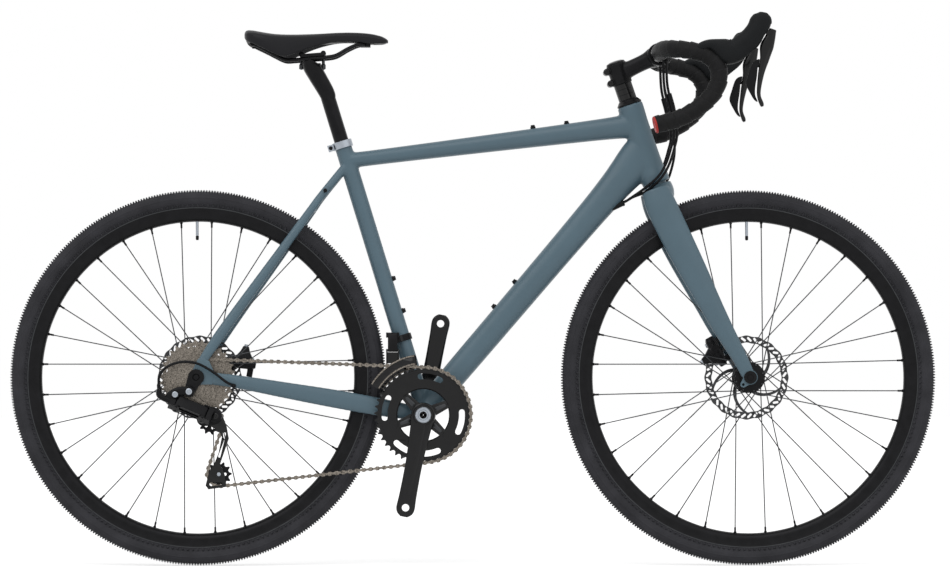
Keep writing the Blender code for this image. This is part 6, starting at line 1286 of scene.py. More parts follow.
def make_chain_guide():
    """The front derailleur's cage: two ribbed plates, their roof and tail, and two arms up to the link."""
    centre = BRACKET[[0, 2]]
    parts, ribs = [], []
    for inner, outer, begin, end, low, face in ((0.0945, 0.113, 98, 150, -0.0615, -0.0621),
                                                (0.087, 0.112, 97, 148, -0.0396, -0.0401)):
        outline = np.vstack([arc(inner, begin, end, 26), arc(outer, end, begin, 26)])
        parts.append(side_slab([outline], low, low + 0.0012, centre, 0.0003))
        for near, far in ((inner + 0.0004, inner + 0.003), (outer - 0.003, outer - 0.0004)):
            rib = np.vstack([arc(near, begin + 1, end - 1, 22), arc(far, end - 1, begin + 1, 22)])
            ribs.append(side_slab([rib], face, face + 0.0012, centre, 0.0003))
    middle = set_at(centre, -0.0499)
    roof, tail = math.radians(107), math.radians(148)
    parts.append(box(middle + set_at(polar(0.112, roof), 0), (0.014, 0.0226, 0.0016), np.array([-0.29, 0, 0.957])))
    parts.append(box(middle + set_at(polar(0.107, tail), 0), (0.0016, 0.0226, 0.01), np.array([0.53, 0, 0.848]),
        np.array([-0.848, 0, 0.53])))
    low_y, low_z = FD_PIVOT[1] - FD_DROP[0], FD_PIVOT[2] - FD_DROP[1]
    for side in (-1, 1):
        x = FD_PIVOT[0] + side * 0.0108
        foot = low_z - (0.02 if side > 0 else 0.031)
        parts.append(loft([(x, low_y, low_z + 0.002, 0.0042, 0.0015), (x, low_y + 0.001, low_z - 0.01, 0.0042, 0.0015),
            (x, low_y + 0.0015, foot, 0.0035, 0.0015)], 16, AHEAD, 20, 3))
    parts.append(box(np.array([FD_PIVOT[0], low_y + 0.0012, low_z - 0.0145]), (0.0231, 0.0018, 0.0208)))
    parts.append(rod((FD_PIVOT[0] - 0.0115, low_y, low_z), (FD_PIVOT[0] + 0.0115, low_y, low_z), 0.0016))
    piece("derailleur_guide", joined(*parts), "gloss_black", "front_derailleur_cage", "fd_cage", slot="silver",
        bevel=0.0003)
    piece("derailleur_guide_ribs", joined(*ribs), "chain_steel", "front_derailleur_cage", slot="silver")


# Brakes

CALIPER_FEET = (-0.3, 0.34)
CALIPER_PARTS = ((-0.5, 0.62), (-0.36, 0.95), (-0.05, 1.0), (0.3, 0.86), (0.5, 0.58))


def make_caliper(which):
    """A two-piston body on two feet, open for the disc, with its bolts and its bleed screw."""
    if which == "front":
        spot, length = (0.4582, 0.4001), 0.06
        along, outward = unit([0.491, 0, -0.871]), unit([-0.871, 0, -0.491])
        tube, body = FORK_BLADE, "steering"
    else:
        spot, length = (-0.437, 0.379), 0.056
        along, outward = unit([0.985, 0, -0.173]), unit([0.173, 0, 0.985])
        tube, body = CHAINSTAY, "frame_body"
    middle = set_at(spot, ROTOR_Y[which])
    rows = [(*(middle + along * length * share), 0.011 * size, 0.0145 * size) for share, size in CALIPER_PARTS]
    tip = middle + along * 0.004
    lobe = ((0.002, 0.02, 0.0125), (0.012, 0.016, 0.0115), (0.022, 0.0095, 0.0085), (0.032, 0.0055, 0.006))
    parts = [loft(rows, 24, LEFT, 28, 3.4), loft([(*(tip + outward * far), depth, width) for far, depth, width in lobe],
        24, LEFT, 28, 3)]
    for share in CALIPER_FEET:
        place = middle + along * length * share - outward * 0.01364 + LEFT * 0.007
        parts.append(box(place, (0.011, 0.013, 0.0198), outward, along))
    for side in (-1, 1):
        cap = middle - along * length * 0.1 + LEFT * side * 0.0125
        parts.append(turned([(0, 0), (0.0085, 0), (0.0085, 0.003), (0.0076, 0.004), (0.005, 0.0036), (0, 0.0036)], cap,
            LEFT * side, 32))
    room = rod(*(AXLES[which] + LEFT * (ROTOR_Y[which] + edge) for edge in (-0.0017, 0.0017)), 0.082, 96)
    rows = [(x, y, z, depth + SEAM, width + SEAM) for x, y, z, depth, width in tube]
    mount = loft(rows, 60, LEFT, 28, 2.3)
    whole = less(welded(joined(*parts), 0.0009, 2), room, mount)
    piece(which + "_caliper_body", whole, "black_alloy", body, which + "_caliper", sharp=45)
    screws = []
    for share in CALIPER_FEET:
        place = middle + along * length * share + outward * 0.0085 + LEFT * 0.007
        screws.append(bolt(place, outward, 0.004, 0.004, 24))
    screws.append(bolt(tip + outward * 0.0315, outward, 0.004, 0.0042, 24))
    piece(which + "_caliper_bolts", joined(*screws), "silver", body, bevel=0.0002)


# Cockpit

BAR_ROUTE = np.array([
    (0.0, 0.0, 0.0), (0.0, 0.095, 0.0), (0.004, 0.145, -0.001), (0.019, 0.182, -0.003), (0.049, 0.202, -0.0075),
    (0.079, 0.206, -0.017), (0.097, 0.2075, -0.038), (0.099, 0.209, -0.062), (0.089, 0.2105, -0.086),
    (0.07, 0.2125, -0.106), (0.047, 0.2145, -0.1225), (0.0216, 0.217, -0.1345), (-0.016, 0.22, -0.1445),
])
BAR_SIDE = unit([1.0, 1.0, 1.0])
HOOD = [
    (0.061, -0.004, 0.007, 0.012), (0.07, -0.0002, 0.009, 0.015), (0.08, 0.0026, 0.0096, 0.0168),
    (0.09, 0.0012, 0.0125, 0.0172), (0.104, -0.0042, 0.0192, 0.0184), (0.117, -0.0098, 0.0234, 0.0186),
    (0.13, -0.0078, 0.0216, 0.0186), (0.142, 0.0008, 0.0215, 0.0184), (0.156, 0.0125, 0.021, 0.0182),
    (0.1675, 0.029, 0.019, 0.0176), (0.1755, 0.043, 0.0205, 0.0164), (0.1795, 0.0545, 0.0168, 0.014),
    (0.181, 0.062, 0.007, 0.008),
]
HOOD_Y = 0.207
PADDLE_Y = 0.211
SLOT_HALF = 0.0078
LEVER_PIVOT = (0.1905, 0.0245)
LEVER_FLARE = 0.1
FLARE_FROM = -0.0055
LEVER = [
    (0.1985, 0.031, 0.0065, 0.0068), (0.192, 0.0125, 0.0105, 0.0072), (0.1868, -0.002, 0.0125, 0.007),
    (0.183, -0.023, 0.0088, 0.006), (0.176, -0.052, 0.0056, 0.005), (0.1715, -0.087, 0.0036, 0.0044),
    (0.1765, -0.106, 0.004, 0.0048), (0.1785, -0.111, 0.0022, 0.0026),
]
PADDLE = [
    (0.1719, -0.025), (0.17, -0.04), (0.1685, -0.056), (0.1655, -0.076), (0.1655, -0.09), (0.17, -0.102),
    (0.164, -0.099), (0.157, -0.088), (0.149, -0.07), (0.153, -0.052), (0.161, -0.03),
]


def bar_half():
    """The middle line of the handlebar's left half, in fine steps."""
    return flow(BAR_CENTRE + BAR_ROUTE, 480)


def make_bar():
    """The bare bar, thicker where the stem clamps it."""
    path = bar_half()
    reach = lengths(path)
    radius = np.interp(reach, [0, 0.036, 0.056], [BAR_CLAMP_RADIUS, BAR_CLAMP_RADIUS, BAR_RADIUS])
    half = swept(path[::2], radius[::2], radius[::2], BAR_SIDE, 40)
    piece("bar_tube", both_sides(half), "gloss_black", "steering", "handlebar")


def make_tape(side, name, sizes):
    """Tape wound round the bar: its radius steps up at the edge of each turn and falls to the next edge."""
    path = bar_half()
    reach = lengths(path)
    wanted = np.linspace(TAPE_START, reach[-1], 420)
    path = np.column_stack([np.interp(wanted, reach, column) for column in path.T])
    way = unit(np.gradient(path, axis=0))
    across = unit(BAR_SIDE - way * (way @ BAR_SIDE)[:, None])
    up = np.cross(way, across)
    angle = TAU * np.arange(44) / 44
    turn = ((wanted[:, None] - TAPE_START) / sizes.tape_pitch + angle[None] / TAU) % 1.0
    rise = np.clip(turn / 0.06, 0, 1)
    radius = TAPE_RADIUS - sizes.tape_lap + sizes.tape_lap * rise * (1 - 0.85 * turn)
    grid = path[:, None] + across[:, None] * (radius * np.cos(angle))[..., None]
    grid = grid + up[:, None] * (radius * np.sin(angle))[..., None]
    wound = skin(grid)
    if side < 0:
        wound = mirrored(wound)
    piece("wound_tape_" + name, wound, "tape", "steering", "bar_tape_" + name, sharp=60)


def make_bar_plug(side, name):
    """A domed plug in the bar's end."""
    path = bar_half()
    way = unit(path[-1] - path[-4])
    flip = np.array([1, side, 1])
    profile = [
        (0, 0.0), (0.015, 0.0), (0.0158, 0.0006), (0.0158, 0.0026), (0.014, 0.004), (0.006, 0.0046), (0.005, 0.004),
        (0, 0.004),
    ]
    piece("end_plug_" + name, turned(profile, path[-1] * flip, way * flip, 40), "red_plastic", "steering",
        "bar_plug_" + name)


def lever_pivot(side):
    """The middle of a brake lever's pivot."""
    return BAR_CENTRE + (LEVER_PIVOT[0], side * HOOD_Y, LEVER_PIVOT[1])


def make_hood(side, name):
    """A rubber hood with a horn at its front and a mouth for the lever."""
    rows = [(*(BAR_CENTRE + (x, side * HOOD_Y, z)), depth, width) for x, z, depth, width in HOOD]
    body = loft(rows, 90, LEFT, 44, 2.4)
    pivot = lever_pivot(side)
    mouth = cross_rod(pivot, SLOT_HALF, 0.0175, 56)
    turn = math.radians(15)
    back = np.array([(x - LEVER_PIVOT[0] - depth - 0.0022, z - LEVER_PIVOT[1]) for x, z, depth, _ in LEVER[:4]])
    back = back @ np.array([[math.cos(turn), -math.sin(turn)], [math.sin(turn), math.cos(turn)]])
    room = np.vstack([[(0.045, 0.004)], back[:3], [(-0.037, -0.032), (-0.048, -0.0395), (-0.048, -0.07),
        (0.045, -0.07)]])
    slot = side_slab([room[::-1]], pivot[1] - SLOT_HALF, pivot[1] + SLOT_HALF, pivot[[0, 2]])
    piece("hood_skin_" + name, less(body, mouth, slot), "hood_rubber", "steering", "hood_" + name, bevel=0.0007)


def make_lever(side, name):
    """A brake lever blade that narrows to a hooked tip, on its pivot pin."""
    rows = [(*(BAR_CENTRE + (x, side * (HOOD_Y + LEVER_FLARE * max(0.0, FLARE_FROM - z)), z)), depth, width) for x, z,
        depth, width in LEVER]
    blade = loft(rows, 70, LEFT, 32, 2.6)
    pin = cross_rod(lever_pivot(side), 0.0074, 0.0046, 28)
    piece("lever_blade_" + name, joined(blade, pin), "gloss_black", "brake_lever_" + name + "_body",
        "brake_lever_" + name)


def make_paddle(side, name):
    """A thin shift paddle behind the brake lever, with its hinge barrel."""
    origin = BAR_CENTRE + (0, side * PADDLE_Y, 0)
    plate = slab([loop_flow(PADDLE, 60)], 0.003, origin, -LEFT, AHEAD, 0.0008, 2)
    up = unit([0.13, 0, 0.991])
    hinge = origin + (0.1713, 0, -0.03)
    barrel = rod(hinge - up * 0.009, hinge + up * 0.006, 0.002, 20)
    piece("paddle_" + name, joined(plate, barrel), "black_plastic", "shift_paddle_" + name + "_body",
        "shift_paddle_" + name)


def make_stem():
    """A forged body welded between its two clamps, a faceplate with four screws, and the top cap."""
    high = STEM_LOW + STEM_CLAMP_HEIGHT
    clamp = turned([(0, 0), (0.0184, 0), (0.019, 0.0008), (0.019, 0.0392), (0.0184, 0.04), (0, 0.04)], steer(STEM_LOW),
        STEER_UP, 64)
    arm = loft([(*(steer(STEM_FOOT) + STEM_WAY * 0.004), 0.017, 0.0165), (*(steer(STEM_FOOT) + STEM_WAY * 0.03), 0.015,
        0.0155), (*(steer(STEM_FOOT) + STEM_WAY * 0.055), 0.0152, 0.017), (*(BAR_CENTRE - STEM_WAY * 0.012), 0.019,
        0.0215)], 40, LEFT, 40, 2.8)
    barrel = turned([(0, -0.0225), (0.0204, -0.0225), (0.0212, -0.0217), (0.0212, 0.0217), (0.0204, 0.0225),
        (0, 0.0225)], BAR_CENTRE, LEFT, 64)
    lugs, screws = [], []
    for height in (0.0105, -0.0125):
        place = steer(STEM_FOOT + height, -0.0215)
        lugs.append(cross_rod(place, 0.0148, 0.0062, 28))
        lugs.append(box(place + STEER_FORWARD * 0.005, (0.01, 0.024, 0.0095), STEER_UP, STEER_FORWARD))
        screws.append(bolt(place - LEFT * 0.0146, -LEFT, 0.0046, 0.002, 24))
    whole = welded(joined(clamp, arm, barrel, *lugs), 0.0011, 4)
    side = np.cross(LEFT, STEM_WAY)
    bores = (rod(steer(STEM_LOW - 0.02), steer(high + 0.02), 0.0146, 48), cross_rod(BAR_CENTRE, 0.05, 0.0162, 56),
        box(BAR_CENTRE + STEM_WAY * 0.0505, (0.1, 0.1, 0.1), side, STEM_WAY),
        box(steer(STEM_FOOT, -0.022), (0.03, 0.0016, 0.06), STEER_UP, STEER_FORWARD))
    piece("stem_body", less(whole, *bores), "black_alloy", "steering", "stem", sharp=45)
    face = [turned([(0, -0.0225), (0.0204, -0.0225), (0.0212, -0.0217), (0.0212, -0.01), (0.0206, -0.008),
        (0.0206, 0.008), (0.0212, 0.01), (0.0212, 0.0217), (0.0204, 0.0225), (0, 0.0225)], BAR_CENTRE, LEFT, 96)]
    for height in (-0.0165, 0.0165):
        for y in (-0.015, 0.015):
            place = BAR_CENTRE + side * height + LEFT * y
            face.append(rod(place, place + STEM_WAY * 0.015, 0.0046, 28))
            screws.append(bolt(place + STEM_WAY * 0.0146, STEM_WAY, 0.0036, 0.0019, 24))
    back = box(BAR_CENTRE - STEM_WAY * 0.049, (0.1, 0.1, 0.1), side, STEM_WAY)
    plate = welded(joined(*face), 0.001, 3)
    piece("faceplate_shell", less(plate, bores[1], back), "black_alloy", "steering", "stem_faceplate", sharp=45)
    piece("stem_screws", joined(*screws), "gloss_black", "steering")
    cap = [
        (0, 0.005), (0.004, 0.005), (0.0042, 0.0036), (0.0062, 0.0036), (0.0064, 0.0052), (0.012, 0.0047),
        (0.0172, 0.0026), (0.018, 0.0012), (0.018, 0), (0, 0),
    ]
    piece("steerer_cap", turned(cap, steer(high + SEAM), STEER_UP, 56), "gloss_black", "steering", "top_cap")


# Seat

RAIL_ROUTE = np.array([
    (-0.116, 0.027, 0.028), (-0.098, 0.0268, 0.021), (-0.068, 0.0255, 0.005), (-0.05, 0.0235, -0.003),
    (-0.033, 0.022, -0.0028), (0.0, 0.022, 0.0), (0.03, 0.022, 0.0024), (0.046, 0.0215, 0.006), (0.066, 0.0195, 0.0175),
    (0.084, 0.016, 0.0255), (0.096, 0.011, 0.027), (0.099, 0.0, 0.027),
])
SADDLE = np.array([
    (-0.126, 0.045, 0.0485, 0.036), (-0.121, 0.06, 0.052, 0.029), (-0.11, 0.069, 0.0515, 0.024),
    (-0.093, 0.0725, 0.0485, 0.016), (-0.073, 0.0705, 0.0455, 0.0065), (-0.053, 0.064, 0.0445, 0.0),
    (-0.033, 0.0545, 0.0448, 0.006), (-0.008, 0.042, 0.046, 0.016), (0.017, 0.0315, 0.0475, 0.024),
    (0.047, 0.0245, 0.0495, 0.03), (0.077, 0.0212, 0.05, 0.0305), (0.107, 0.02, 0.048, 0.028),
    (0.127, 0.0185, 0.0435, 0.0275), (0.137, 0.0145, 0.039, 0.029), (0.142, 0.007, 0.035, 0.032),
])


def make_seatpost():
    """A round post with a forged head, two clamp screws and the upper clamp plate."""
    bar = rod(seat(SEAT_TUBE_LENGTH - 0.2), seat(0.629), POST_RADIUS, 56)
    head = loft([(*seat(0.617), 0.013, 0.013), (*seat(0.633), 0.015, 0.015),
        (*(RAIL_CLAMP + (0, 0, -0.0155)), 0.017, 0.021), (*(RAIL_CLAMP + (0.001, 0, -0.0042)), 0.02, 0.027)], 30, LEFT,
        44, 3)
    room = [swept(rail, 0.0039, 0.0039, UP, 20) for rail in rails()]
    piece("post_tube", joined(bar, less(head, *room)), "black_alloy", "seat_assembly", "seatpost", sharp=45)
    screws = []
    for x in (-0.0205, 0.0205):
        foot = RAIL_CLAMP + (x, 0, -0.02)
        screws.append(turned([(0, 0), (0.0022, 0), (0.0026, 0.001), (0.0045, 0.0012), (0.0045, 0.009), (0.003, 0.011),
            (0.0026, 0.032), (0, 0.032)], foot, UP, 24))
    piece("clamp_screws", joined(*screws), "spoke_steel", "seat_assembly", slot="black_alloy", bevel=0.0002)
    upper = box(RAIL_CLAMP + (0.001, 0, 0.0062), (0.044, 0.054, 0.006), np.array([-0.08, 0, 1]))
    caps = [cross_rod(RAIL_CLAMP + (x, 0, z), 0.009, 0.005, 28) for x, z in ((-0.0205, 0.0085), (0.0205, 0.0105))]
    piece("clamp_plate", joined(*[less(part, *room) for part in (upper, *caps)]), "black_alloy", "seat_assembly",
        "saddle_clamp", bevel=0.0008)


def rails():
    """The middle lines of the saddle's two rails."""
    left = flow(RAIL_CLAMP + RAIL_ROUTE, 60)
    return [left, left * (1, -1, 1)]


def make_saddle():
    """A padded cover with drawn-in sides and a shallow channel, its base shell and its bent rails."""
    x, half, top, low = flow(SADDLE, 110).T
    dip = 0.0035 * np.clip((x + 0.108) / 0.02, 0, 1) * np.clip((0.13 - x) / 0.02, 0, 1)
    rim = np.minimum(0.0055, half * 0.25)
    under = np.maximum(low + 0.001, top - 0.0165)
    zero = np.zeros(len(x))
    ys = np.stack([
        zero, half * 0.14, half * 0.28, half * 0.62, half * 0.82, half * 0.94, half, half * 0.995, half * 0.975,
        half - rim * 0.7, half - rim * 1.2, half - rim * 1.8, half * 0.45, zero,
    ])
    zs = np.stack([
        top - dip, top - dip * 0.75, top - dip * 0.15, top - 0.001, top - 0.0034, top - 0.0072,
        top - 0.35 * (top - low), low + 0.005, low + 0.0018, low, low + 0.0008, np.minimum(low + 0.004, under), under,
        under,
    ])
    ring_y = np.concatenate([ys, -ys[-2:0:-1]])
    ring_z = np.concatenate([zs, zs[-2:0:-1]])
    grid = RAIL_CLAMP + np.stack([np.broadcast_to(x, ring_y.shape), ring_y, ring_z], -1).transpose(1, 0, 2)
    cover = piece("saddle_pad", skin(grid), "saddle_skin", "seat_assembly", "saddle_cover", sharp=60, subdivide=1)
    inside = slice(14, -12)
    reach, floor = half[inside] * 0.44, under[inside] - 0.0003
    ring_y = np.stack([reach, -reach, -reach, reach])
    ring_z = np.stack([floor, floor, floor - 0.0026, floor - 0.0026])
    base = RAIL_CLAMP + np.stack([np.broadcast_to(x[inside], ring_y.shape), ring_y, ring_z], -1).transpose(1, 0, 2)
    sockets = [box(RAIL_CLAMP + (-0.1075, side * 0.027, 0.027), (0.013, 0.011, 0.01)) for side in (-1, 1)]
    sockets.append(box(RAIL_CLAMP + (0.1, 0, 0.0265), (0.018, 0.02, 0.0085)))
    room = [swept(rail, 0.0038, 0.0038, UP, 20) for rail in rails()]
    piece("saddle_base", joined(*[less(part, *room) for part in (skin(base), *sockets)]), "black_plastic",
        "seat_assembly", "saddle_shell", bevel=0.0007)
    both = joined(*[swept(rail, 0.0035, 0.0035, UP, 24) for rail in rails()])
    piece("rails_rod", both, "black_alloy", "seat_assembly", "saddle_rails")


# Hoses

def beside(rows, step):
    """A second hose beside the first: its route moved square to itself, seen from the side."""
    rows = np.array(rows, float)
    along = unit(np.gradient(rows[:, [0, 2]], axis=0))
    rows[:, 0] -= along[:, 1] * step
    rows[:, 2] += along[:, 0] * step
    return rows


FIRST_HOSE = np.array([
    (0.007, 0.0617, -0.0137), (0.007, 0.0575, -0.0137), (0.0065, 0.05, -0.029), (0.009, 0.047, -0.066),
    (0.019, 0.048, -0.105), (0.026, 0.048, -0.15), (0.021, 0.046, -0.177), (0.011, 0.045, -0.2075),
    (-0.0035, 0.042, -0.231), (-0.028, 0.03, -0.252), (-0.048, 0.016, -0.266),
])
SECOND_HOSE = np.vstack([[(0.0133, 0.0617, -0.0075), (0.0133, 0.0575, -0.0075)], beside(FIRST_HOSE[2:-2], 0.006),
    [(-0.024, 0.024, -0.257), (-0.048, 0.007, -0.267)]])
ENTRY = np.array([PORT + PORT_WAY * 0.008, PORT + PORT_WAY * SEAM])
CROWN = steer(FORK_LENGTH)
REAR_LOOP = np.vstack([AXLES["rear"] + np.array([(0.071, -0.075, -0.017), (0.067, -0.0775, -0.0148),
    (0.055, -0.085, -0.008), (0.03, -0.089, 0.011), (0.0008, -0.0905, 0.026), (-0.029, -0.092, 0.028),
    (-0.055, -0.093, 0.018), (-0.067, -0.0932, 0.002)]), [HOUSING_STOP + HOUSING_STOP_WAY * 0.01,
    HOUSING_STOP + HOUSING_STOP_WAY * SEAM]])


def make_hose(name, route, body, sleeve=None):
    """A round hose, smooth between its two straight ends, with a barrel adjuster where one is asked for."""
    path = np.vstack([route[:1], flow(route[1:-1], 56), route[-1:]])
    parts = swept(path, HOSE_RADIUS, HOSE_RADIUS, BAR_SIDE, 16)
    made = piece(name + "_line", parts, "black_plastic", body, name)
    moving = [made]
    if sleeve:
        middle = path[sleeve - 3 : sleeve + 4]
        moving.append(piece(name + "_barrel", swept(middle, 0.0046, 0.0046, BAR_SIDE, 20), "black_plastic", body,
            bevel=0.0004))
    for part in moving if not body else ():
        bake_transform(part)


def make_hoses():
    """Three lines into the down tube, one into the fork and one to the rear derailleur."""
    right, left = np.array([1, -1, 1]), np.array([1, 1, 1])
    make_hose("rear_brake_hose", np.vstack([BAR_CENTRE + FIRST_HOSE * right, ENTRY - LEFT * 0.008]), None)
    make_hose("rear_shift_housing", np.vstack([BAR_CENTRE + SECOND_HOSE * right, ENTRY - LEFT * 0.0022]), None, 16)
    make_hose("front_shift_housing", np.vstack([BAR_CENTRE + FIRST_HOSE * left, ENTRY + LEFT * 0.008]), None, 16)
    fork_route = np.vstack([BAR_CENTRE + np.vstack([SECOND_HOSE[:6], [(0.033, 0.053, -0.185), (0.025, 0.054, -0.22)]]),
        [CROWN + (0.0194, 0.056, 0.0062), CROWN + (0.0184, 0.053, -0.0033)]])
    make_hose("front_brake_hose", fork_route, "steering")
    make_hose("rd_housing", REAR_LOOP, "frame_body")


def make_ferrules():
    """Ends and collars where the derailleur's housing leaves the frame and where it enters the derailleur."""
    rear = [hoop([(0.0026, 0), (0.0036, 0.0), (0.0036, 0.008), (0.003, 0.0088), (0.0026, 0.0088)],
        HOUSING_STOP + HOUSING_STOP_WAY * 0.0004, 24, HOUSING_STOP_WAY)]
    way = unit(REAR_LOOP[1] - REAR_LOOP[0])
    rear.append(hoop([(0.0026, 0), (0.004, 0.0), (0.004, 0.005), (0.0032, 0.006), (0.0026, 0.006)],
        REAR_LOOP[0] - way * 0.0005, 24, way))
    piece("rear_ferrules", joined(*rear), "black_plastic", "frame_body")


# Stage

def make_camera(settings):
    """A long lens that looks at the drive side from far off."""
    camera = bpy.data.objects.new("view", bpy.data.cameras.new("view"))
    bpy.context.scene.collection.objects.link(camera)
    camera.location = (-0.1, -8.0, 0.318)
    aim = Vector((0.003, 0.0, 0.514)) - camera.location
    camera.rotation_euler = aim.to_track_quat("-Z", "Y").to_euler()
    camera.data.sensor_width = 36
    camera.data.lens = settings.lens
    camera.data.clip_end = 60
    bpy.context.scene.camera = camera


def seen_directly(nodes, links):
    """One for the camera's, mirrors' and glass's rays, and otherwise nothing."""
    path = nodes.new("ShaderNodeLightPath")
    seen = path.outputs["Is Camera Ray"]
    for kind in ("Glossy", "Transmission"):
        larger = nodes.new("ShaderNodeMath")
        larger.operation = "MAXIMUM"
        links.new(seen, larger.inputs[0])
        links.new(path.outputs[f"Is {kind} Ray"], larger.inputs[1])
        seen = larger.outputs[0]
    return seen


def make_world(settings):
    """Soft grey light for the object and plain white for the camera."""
    world = bpy.data.worlds.new("studio")
    bpy.context.scene.world = world
    world.use_nodes = True
    nodes, links = world.node_tree.nodes, world.node_tree.links
    soft = nodes["Background"]
    soft.inputs["Color"].default_value = (1, 1, 1, 1)
    soft.inputs["Strength"].default_value = settings.daylight
    white = add_node(nodes, "Background", Color=(1, 1, 1, 1), Strength=1.0)
    mix = nodes.new("ShaderNodeMixShader")
    links.new(seen_directly(nodes, links), mix.inputs["Fac"])
    links.new(soft.outputs[0], mix.inputs[1])
    links.new(white.outputs[0], mix.inputs[2])
    links.new(mix.outputs[0], nodes["World Output"].inputs["Surface"])


def make_floor():
    """A white floor that keeps the shadow and otherwise reads as white as the backdrop."""
    material = bpy.data.materials.new("floor_white")
    material.use_nodes = True
    nodes, links = material.node_tree.nodes, material.node_tree.links
    nodes.remove(nodes["Principled BSDF"])
    matt = add_node(nodes, "BsdfDiffuse", Color=(0.85, 0.85, 0.85, 1))
    glow = add_node(nodes, "Emission", Color=(1, 1, 1, 1))
    share = nodes.new("ShaderNodeMath")
    share.operation = "MULTIPLY"
    share.inputs[1].default_value = 0.55
    links.new(seen_directly(nodes, links), share.inputs[0])
    links.new(share.outputs[0], glow.inputs["Strength"])
    both = nodes.new("ShaderNodeAddShader")
    links.new(matt.outputs[0], both.inputs[0])
    links.new(glow.outputs[0], both.inputs[1])
    links.new(both.outputs[0], nodes["Material Output"].inputs["Surface"])
    corners = np.array([(-30, -6, -0.0006), (30, -6, -0.0006), (30, 50, -0.0006), (-30, 50, -0.0006)], float)
    floor = raw_object("floor", (corners, [[0, 1, 2, 3]]))
    floor.data.materials.append(material)


def make_lamp(name, strength, spread, way):
    """A soft sun that shines one way."""
    lamp = bpy.data.objects.new(name, bpy.data.lights.new(name, "SUN"))
    lamp.data.energy = strength
    lamp.data.angle = math.radians(spread)
    lamp.rotation_euler = Vector(way).to_track_quat("-Z", "Y").to_euler()
    bpy.context.scene.collection.objects.link(lamp)


def make_lamps(settings):
    """The key and fill lamps."""
    make_lamp("key", settings.key, 50, (0.35, 0.75, -0.85))
    make_lamp("fill", settings.fill, 70, (-0.55, 0.7, -0.6))
    bpy.context.scene.view_settings.view_transform = "Standard"


# Operators

class BICYCLE_OT_view(bpy.types.Operator):
    """Set up the camera that frames the bicycle from its drive side."""

    bl_idname = "bicycle.view"
    bl_label = "View"

    def execute(self, context):
        make_camera(context.scene.bicycle_stage)
        return {"FINISHED"}


class BICYCLE_OT_finishes(bpy.types.Operator):
    """Make the paint, alloy, rubber, tape, steel and plastic finishes."""

    bl_idname = "bicycle.finishes"
    bl_label = "Finishes"

    def execute(self, context):
        make_finishes(context.scene.bicycle_colours)
        return {"FINISHED"}


class BICYCLE_OT_hoses(bpy.types.Operator):
    """Run the brake hoses and the shift housings."""

    bl_idname = "bicycle.hoses"
    bl_label = "Hoses"

    def execute(self, context):
        make_hoses()
        make_ferrules()
        return {"FINISHED"}


class BICYCLE_OT_frame(bpy.types.Operator):
    """Build the welded frame with its port, bolts, collar and hanger."""

    bl_idname = "bicycle.frame"
    bl_label = "Frame"

    def execute(self, context):
        make_frame(context.scene.bicycle_sizes)
        make_frame_fittings()
        make_seat_collar()
        make_hanger()
        make_bracket_cups()
        return {"FINISHED"}


class BICYCLE_OT_fork(bpy.types.Operator):
    """Build the fork and the headset above it."""

    bl_idname = "bicycle.fork"
    bl_label = "Fork"

    def execute(self, context):
        make_fork(context.scene.bicycle_sizes)
        make_headset()
        return {"FINISHED"}


class BICYCLE_OT_tyres(bpy.types.Operator):
    """Build both tyres with their rows of tread blocks."""

    bl_idname = "bicycle.tyres"
    bl_label = "Tyres"

    def execute(self, context):
        for which in AXLES:
            make_tyre(which, context.scene.bicycle_sizes)
        return {"FINISHED"}


class BICYCLE_OT_wheels(bpy.types.Operator):
    """Build both rims, hubs, sets of spokes and axles."""

    bl_idname = "bicycle.wheels"
    bl_label = "Wheels"

    def execute(self, context):
        for which in AXLES:
            make_rim(which)
            make_hub(which)
        make_axles()
        return {"FINISHED"}


class BICYCLE_OT_brakes(bpy.types.Operator):
    """Build both rotors and calipers."""

    bl_idname = "bicycle.brakes"
    bl_label = "Brakes"

    def execute(self, context):
        for which in AXLES:
            make_rotor(which)
            make_caliper(which)
        return {"FINISHED"}


class BICYCLE_OT_cranks(bpy.types.Operator):
    """Build both crank arms and the chainrings."""

    bl_idname = "bicycle.cranks"
    bl_label = "Cranks"

    def execute(self, context):
        make_crank(-1, "crank_right")
        make_crank_trim()
        make_crank(1, "crank_left")
        make_chainrings()
        return {"FINISHED"}


class BICYCLE_OT_chain(bpy.types.Operator):
    """Lay the chain link by link, and stack the cassette."""

    bl_idname = "bicycle.chain"
    bl_label = "Chain"

    def execute(self, context):
        make_chain()
        make_cassette()
        return {"FINISHED"}


class BICYCLE_OT_derailleurs(bpy.types.Operator):
    """Build both derailleurs and the pulleys."""

    bl_idname = "bicycle.derailleurs"
    bl_label = "Derailleurs"

    def execute(self, context):
        make_fixed_knuckle()
        make_cage_knuckle()
        make_links()
        make_cage()
        make_pulleys()
        make_front_derailleur()
        make_chain_guide()
        return {"FINISHED"}


class BICYCLE_OT_handlebar(bpy.types.Operator):
    """Build the stem, the handlebar, its wound tape and its plugs."""

    bl_idname = "bicycle.handlebar"
    bl_label = "Handlebar"

    def execute(self, context):
        make_stem()
        make_bar()
        for side, name in SIDES:
            make_tape(side, name, context.scene.bicycle_sizes)
            make_bar_plug(side, name)
        return {"FINISHED"}


class BICYCLE_OT_levers(bpy.types.Operator):
    """Build the hoods, brake levers and shift paddles."""

    bl_idname = "bicycle.levers"
    bl_label = "Levers"

    def execute(self, context):
        for side, name in SIDES:
            make_hood(side, name)
            make_lever(side, name)
            make_paddle(side, name)
        return {"FINISHED"}


class BICYCLE_OT_saddle(bpy.types.Operator):
    """Build the saddle, its rails and the seatpost."""

    bl_idname = "bicycle.saddle"
    bl_label = "Saddle"

    def execute(self, context):
        make_seatpost()
        make_saddle()
        return {"FINISHED"}


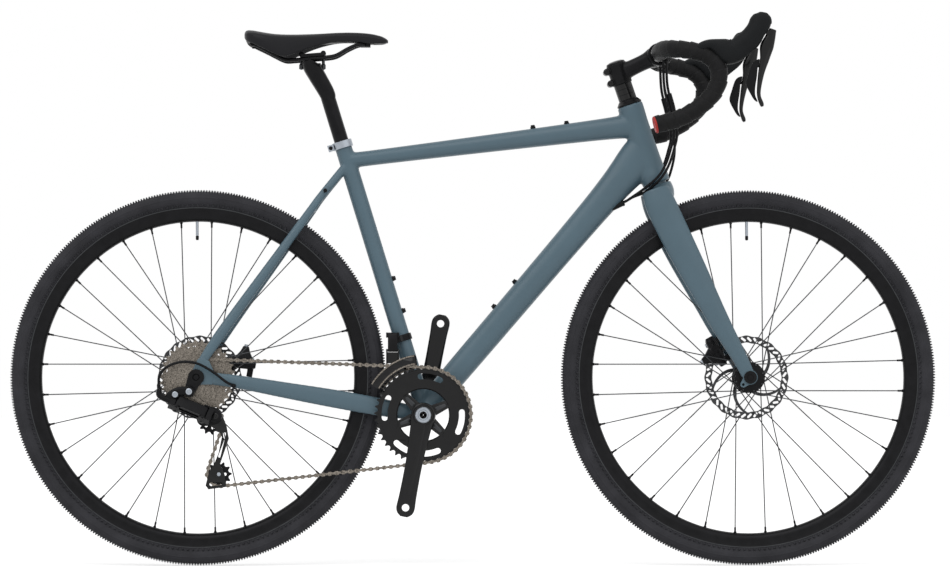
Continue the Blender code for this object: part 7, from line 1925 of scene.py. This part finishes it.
class BICYCLE_OT_stage(bpy.types.Operator):
    """Set the white floor, the backdrop and the soft lamps."""

    bl_idname = "bicycle.stage"
    bl_label = "Stage"

    def execute(self, context):
        make_world(context.scene.bicycle_stage)
        make_floor()
        make_lamps(context.scene.bicycle_stage)
        return {"FINISHED"}


OPERATORS = (BICYCLE_OT_view, BICYCLE_OT_finishes, BICYCLE_OT_hoses, BICYCLE_OT_frame, BICYCLE_OT_fork,
    BICYCLE_OT_tyres, BICYCLE_OT_wheels, BICYCLE_OT_brakes, BICYCLE_OT_cranks, BICYCLE_OT_chain, BICYCLE_OT_derailleurs,
    BICYCLE_OT_handlebar, BICYCLE_OT_levers, BICYCLE_OT_saddle, BICYCLE_OT_stage)


class BICYCLE_PT_pieces(bpy.types.Panel):
    """Lists the pieces in the order they are made."""

    bl_label = "Bicycle"
    bl_idname = "BICYCLE_PT_pieces"
    bl_space_type = "VIEW_3D"
    bl_region_type = "UI"
    bl_category = "Bicycle"

    def draw(self, context):
        for group in (context.scene.bicycle_colours, context.scene.bicycle_sizes, context.scene.bicycle_stage):
            box_layout = self.layout.box()
            for key in group.bl_rna.properties.keys():
                if key not in {"rna_type", "name"}:
                    box_layout.prop(group, key)
        for operator in OPERATORS:
            self.layout.operator(operator.bl_idname)


SETTINGS = {"bicycle_colours": BicycleColours, "bicycle_sizes": BicycleSizes, "bicycle_stage": BicycleStage}
CLASSES = (*SETTINGS.values(), *OPERATORS, BICYCLE_PT_pieces)


def register():
    """Register the classes and hang the settings on the scene."""
    for kind in CLASSES:
        bpy.utils.register_class(kind)
    for name, kind in SETTINGS.items():
        setattr(bpy.types.Scene, name, bpy.props.PointerProperty(type=kind))


def unregister():
    """Take the settings and the classes out again."""
    for name in SETTINGS:
        delattr(bpy.types.Scene, name)
    for kind in reversed(CLASSES):
        bpy.utils.unregister_class(kind)


def main():
    """Build everything through the operators."""
    register()
    for operator in OPERATORS:
        group, action = operator.bl_idname.split(".")
        getattr(getattr(bpy.ops, group), action)()


if __name__ == "__main__":
    main()
